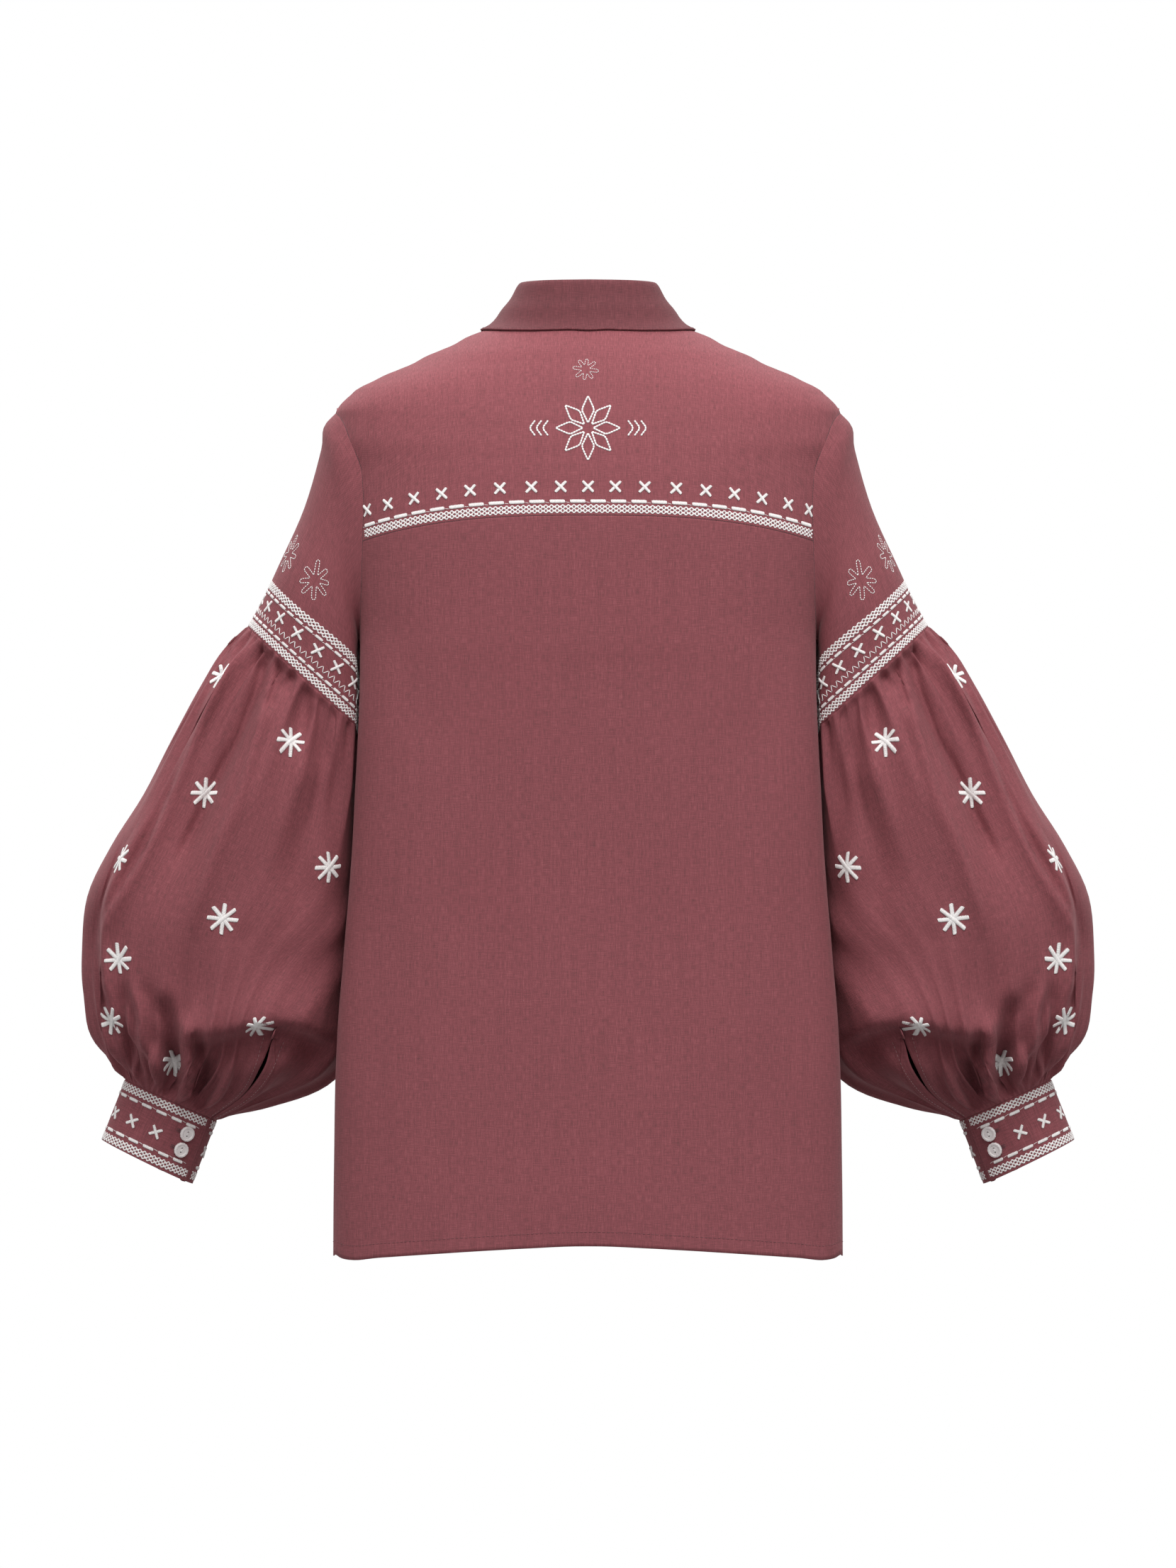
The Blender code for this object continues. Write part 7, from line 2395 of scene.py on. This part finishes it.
# %% Stitching on the cuffs
CUFF_CROSSES = 9
CUFF_CROSS_PITCH = 21.0
CUFF_CROSS_LEVEL = 0.52
CUFF_FIRST_CROSS = 38.0
CUFF_NET = (1.6, 7.0)
CUFF_DASH_LEVEL = 11.0
CUFF_DASHES_GAP = 7.0
CUFF_NET_GAP = 2.0
CUFF_NET_FROM_CELL = 5.0
CUFF_MEASURED_COLUMN = 80
cuff_even = cuff_grid(np.linspace(0.0, 1.0, 25))
cuff_even_normals = grid_normals(cuff_even, wrap=False)
cuff_place, cuff_round_mm = edge_map(
    cuff_even, cuff_even_normals, wrap=False, from_last=False, reach=CUFF_DEPTH + 2.0
)
cuff_depth_mm = float(run_along(cuff_even[:, CUFF_MEASURED_COLUMN])[-1])
cuff_from = cuff_round_mm * CUFF_NET_FROM_CELL / CUFF_STRIP_CELLS
cuff_to = cuff_round_mm - CUFF_NET_GAP
cuff_work = []
for low, high in (CUFF_NET, [cuff_depth_mm - level for level in CUFF_NET[::-1]]):
    net_band(cuff_work, cuff_place, cuff_from, cuff_to, low, high, period=4.0)
for level in (CUFF_DASH_LEVEL, cuff_depth_mm - CUFF_DASH_LEVEL):
    dash_row(cuff_work, cuff_place, cuff_from, cuff_to - CUFF_DASHES_GAP, level,
             length=8.6, pitch=12.8, height=3.0)
for index in range(CUFF_CROSSES):
    along = cuff_to - CUFF_FIRST_CROSS - CUFF_CROSS_PITCH * index
    spot = (along, cuff_depth_mm * CUFF_CROSS_LEVEL)
    cross(cuff_work, cuff_place, spot, arm=5.6, turn=8.0)
cuff_stitching_left = sewn_piece("stitching_cuff_left", cuff_work, white_thread)
for piece, name in (
    (upper_stitching_left, "stitching_upper_right"),
    (lower_stitching_left, "stitching_lower_right"),
    (cuff_stitching_left, "stitching_cuff_right"),
):
    sewn_on(name, mirrored(piece, name))

# %% [markdown]
# ## Topstitching and buttonholes
# The hem is turned up and stitched a finger's width above its edge, and the placket and the
# collar are edge-stitched, all in thread of the linen's own colour. A line of
# stitches follows a piece's own grid at a set distance from one of its edges.

# %% Topstitching
TOPSTITCHING = (
    ("back", "first_row", 11.0), ("front_left", "first_row", 11.0),
    ("front_right", "first_row", 11.0), ("placket_over", "first_column", 3.0),
    ("placket_over", "last_column", 3.0), ("placket_over", "first_row", 3.0),
    ("collar_leaf", "last_row", 1.9), ("collar_leaf", "first_column", 1.9),
    ("collar_leaf", "last_column", 1.9),
)
TOPSTITCH = 2.6
TOPSTITCH_GAP = 0.8


def line_inside(points, normals, edge, distance):
    """A line at one distance from a named edge of a grid."""
    if edge.endswith("column"):
        points, normals = np.swapaxes(points, 0, 1), np.swapaxes(normals, 0, 1)
    if edge.startswith("last"):
        points, normals = points[::-1], normals[::-1]
    line, line_normals = [], []
    for column in range(points.shape[1]):
        covered = run_along(points[:, column])
        line.append(read_line(distance, covered, points[:, column]))
        line_normals.append(read_line(distance, covered, normals[:, column]))
    return np.array(line), unit(np.array(line_normals))


def run_stitches(work, line, line_normals, width=0.55, height=0.4):
    """Even stitches along a line on the cloth."""
    covered = run_along(line)
    count = int(covered[-1] / (TOPSTITCH + TOPSTITCH_GAP))
    start = (np.arange(count) + 0.1) * covered[-1] / count
    ends = [read_line(at, covered, line) for at in (start, start + TOPSTITCH)]
    lay(work, *ends, unit(read_line(start, covered, line_normals)), width, height, lift=0.12)


seam_work = []
for name, edge, distance in TOPSTITCHING:
    run_stitches(seam_work, *line_inside(*cloth_grids[name], edge, distance))
sewn_piece("topstitching", seam_work, linen_thread)

# %% Seam lines of painted shade
SEAM_SHADE_STEP = 2.0
SEAM_SHADE_WIDTH = 0.62
SEAM_SHADE_HEIGHT = 0.34
SEAM_SHADE_OVERLAP = 0.25
BOTH_SIDES = (np.ones(3), np.array([-1.0, 1.0, 1.0]))


def lay_seam_shade(work, line, line_normals):
    """Dark thread laid piece after piece in the valley of a seam, to paint its shade."""
    covered = run_along(line)
    at = np.linspace(0.0, covered[-1], int(covered[-1] / SEAM_SHADE_STEP) + 1)
    points, outward = (read_line(at, covered, grid) for grid in (line, line_normals))
    along = unit(np.diff(points, axis=0)) * SEAM_SHADE_OVERLAP
    lay(work, points[:-1] - along, points[1:] + along, unit(outward[:-1]),
        SEAM_SHADE_WIDTH, SEAM_SHADE_HEIGHT, lift=0.05)


# The dark thread in the armhole and yoke seams paints the shade in their valleys.
seam_shade_work = []
armhole_line = np.concatenate([upper_fine[0], upper_fine[0, :1]])
armhole_out = np.concatenate([upper_normals[0], upper_normals[0, :1]])
for turn in BOTH_SIDES:
    lay_seam_shade(seam_shade_work, armhole_line * turn, armhole_out * turn)
seam_at = np.linspace(-yoke_corner, yoke_corner, 200)
lay_seam_shade(seam_shade_work, torso(*yoke_seam(seam_at)), torso_normal(*yoke_seam(seam_at)))
sewn_piece("painted_seam_shade", seam_shade_work, buttonhole_thread_and_seam_shade)

# %% Buttonholes, button threads and the slit's edges
BUTTON_THICKNESS = 2.0
BUTTON_DISH_DEPTH = 0.5
BUTTON_HOLE_OFFSET = 1.5
BUTTON_GAP = 0.5
PLACKET_BUTTON_TOP = -96.0
PLACKET_BUTTON_PITCH = 92.0
PLACKET_BUTTONS = 6
CUFF_BUTTON_ROUND = 0.351
CUFF_BUTTON_ROWS = (0.345, 0.6)
THREAD_HEIGHT = BUTTON_GAP + BUTTON_THICKNESS - BUTTON_DISH_DEPTH
THREAD_PASSES = (-0.35, 0.0, 0.35)
THREAD_OVERLAP = 0.25
BUTTONHOLE_PITCH = 0.6
BUTTONHOLE_CUT = 0.25
BUTTONHOLE_STITCH = 1.1
BUTTONHOLE_LIFT = 0.5
CUFF_HOLE_OFFSET = 5.0
SLIT_STITCH_OFFSET = 3


def sew_button(threads, point, outward, direction):
    """Three passes of thread between the two holes of a button."""
    aside = unit(np.cross(outward, direction))
    for off in THREAD_PASSES:
        middle = point + outward * THREAD_HEIGHT + aside * off
        reach = direction * (BUTTON_HOLE_OFFSET + THREAD_OVERLAP)
        lay(threads, (middle - reach)[None], (middle + reach)[None], outward[None],
            width=0.5, height=0.5, lift=0.1)


def work_buttonhole(stitches, point, outward, direction, length):
    """Two close rows of small stitches along the two sides of a cut."""
    aside = unit(np.cross(outward, direction))
    places = np.linspace(-length / 2.0, length / 2.0, int(length / BUTTONHOLE_PITCH))
    for side in (-1.0, 1.0):
        inner = point + direction * places[:, None] + aside * side * BUTTONHOLE_CUT
        outer = inner + aside * side * BUTTONHOLE_STITCH
        lay(stitches, inner, outer, np.repeat(outward[None], len(places), axis=0),
            width=0.6, height=0.5)


white_work, dark_work, slit_highlight_work = [], [], []
step = 0.5 / cuff_columns
shares = np.array([CUFF_BUTTON_ROUND - step, CUFF_BUTTON_ROUND, CUFF_BUTTON_ROUND + step])
for row in CUFF_BUTTON_ROWS:
    line = ring(cuff_top, shares) * (1.0 - row) + ring(cuff_bottom, shares) * row
    along = unit(line[2] - line[0])
    down = unit(ring(cuff_bottom, shares)[1] - ring(cuff_top, shares)[1])
    outward = unit(np.cross(down, along))
    hole = line[1] - along * CUFF_HOLE_OFFSET + outward * BUTTONHOLE_LIFT
    for turn in BOTH_SIDES:
        sew_button(white_work, line[1] * turn, outward * turn, down * turn)
        work_buttonhole(dark_work, hole * turn, outward * turn, along * turn, length=9.0)
for index in range(PLACKET_BUTTONS):
    height = PLACKET_BUTTON_TOP - PLACKET_BUTTON_PITCH * index
    point, outward = torso(CENTRE_FRONT, height), torso_normal(CENTRE_FRONT, height)
    upright = unit(torso(CENTRE_FRONT, height + 1.0) - torso(CENTRE_FRONT, height - 1.0))
    sew_button(white_work, point, outward, upright)
    work_buttonhole(dark_work, point + outward * BUTTONHOLE_LIFT, outward, upright, length=17.0)
# Stitches along both edges of the slit, in the pale thread that paints their highlight.
rows = np.arange(first_missing - 2, len(lower_rows) - 2)
for column, lift in ((slit_from - SLIT_STITCH_OFFSET, 0.1), (slit_to + SLIT_STITCH_OFFSET, 1.0)):
    normals = lower_cloth_normals[rows, column]
    line = lower_cloth[rows, column] + normals * lift
    for turn in BOTH_SIDES:
        run_stitches(slit_highlight_work, line * turn, normals * turn, width=0.45, height=0.3)
sewn_piece("button_threads", white_work, white_thread)
sewn_piece("buttonholes", dark_work, buttonhole_thread_and_seam_shade)
sewn_piece("slit_stitching_painted_highlight", slit_highlight_work, slit_highlight_thread)

# %% [markdown]
# ## Closing the lesson
# The size of everything shown but the floor is worked out, and the triangles are counted.

# %% Finish
low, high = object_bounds()
triangles = sum(len(o.data.polygons) for o in scene.objects if o.type == "MESH") * 2
print("about", triangles, "triangles in the scene")
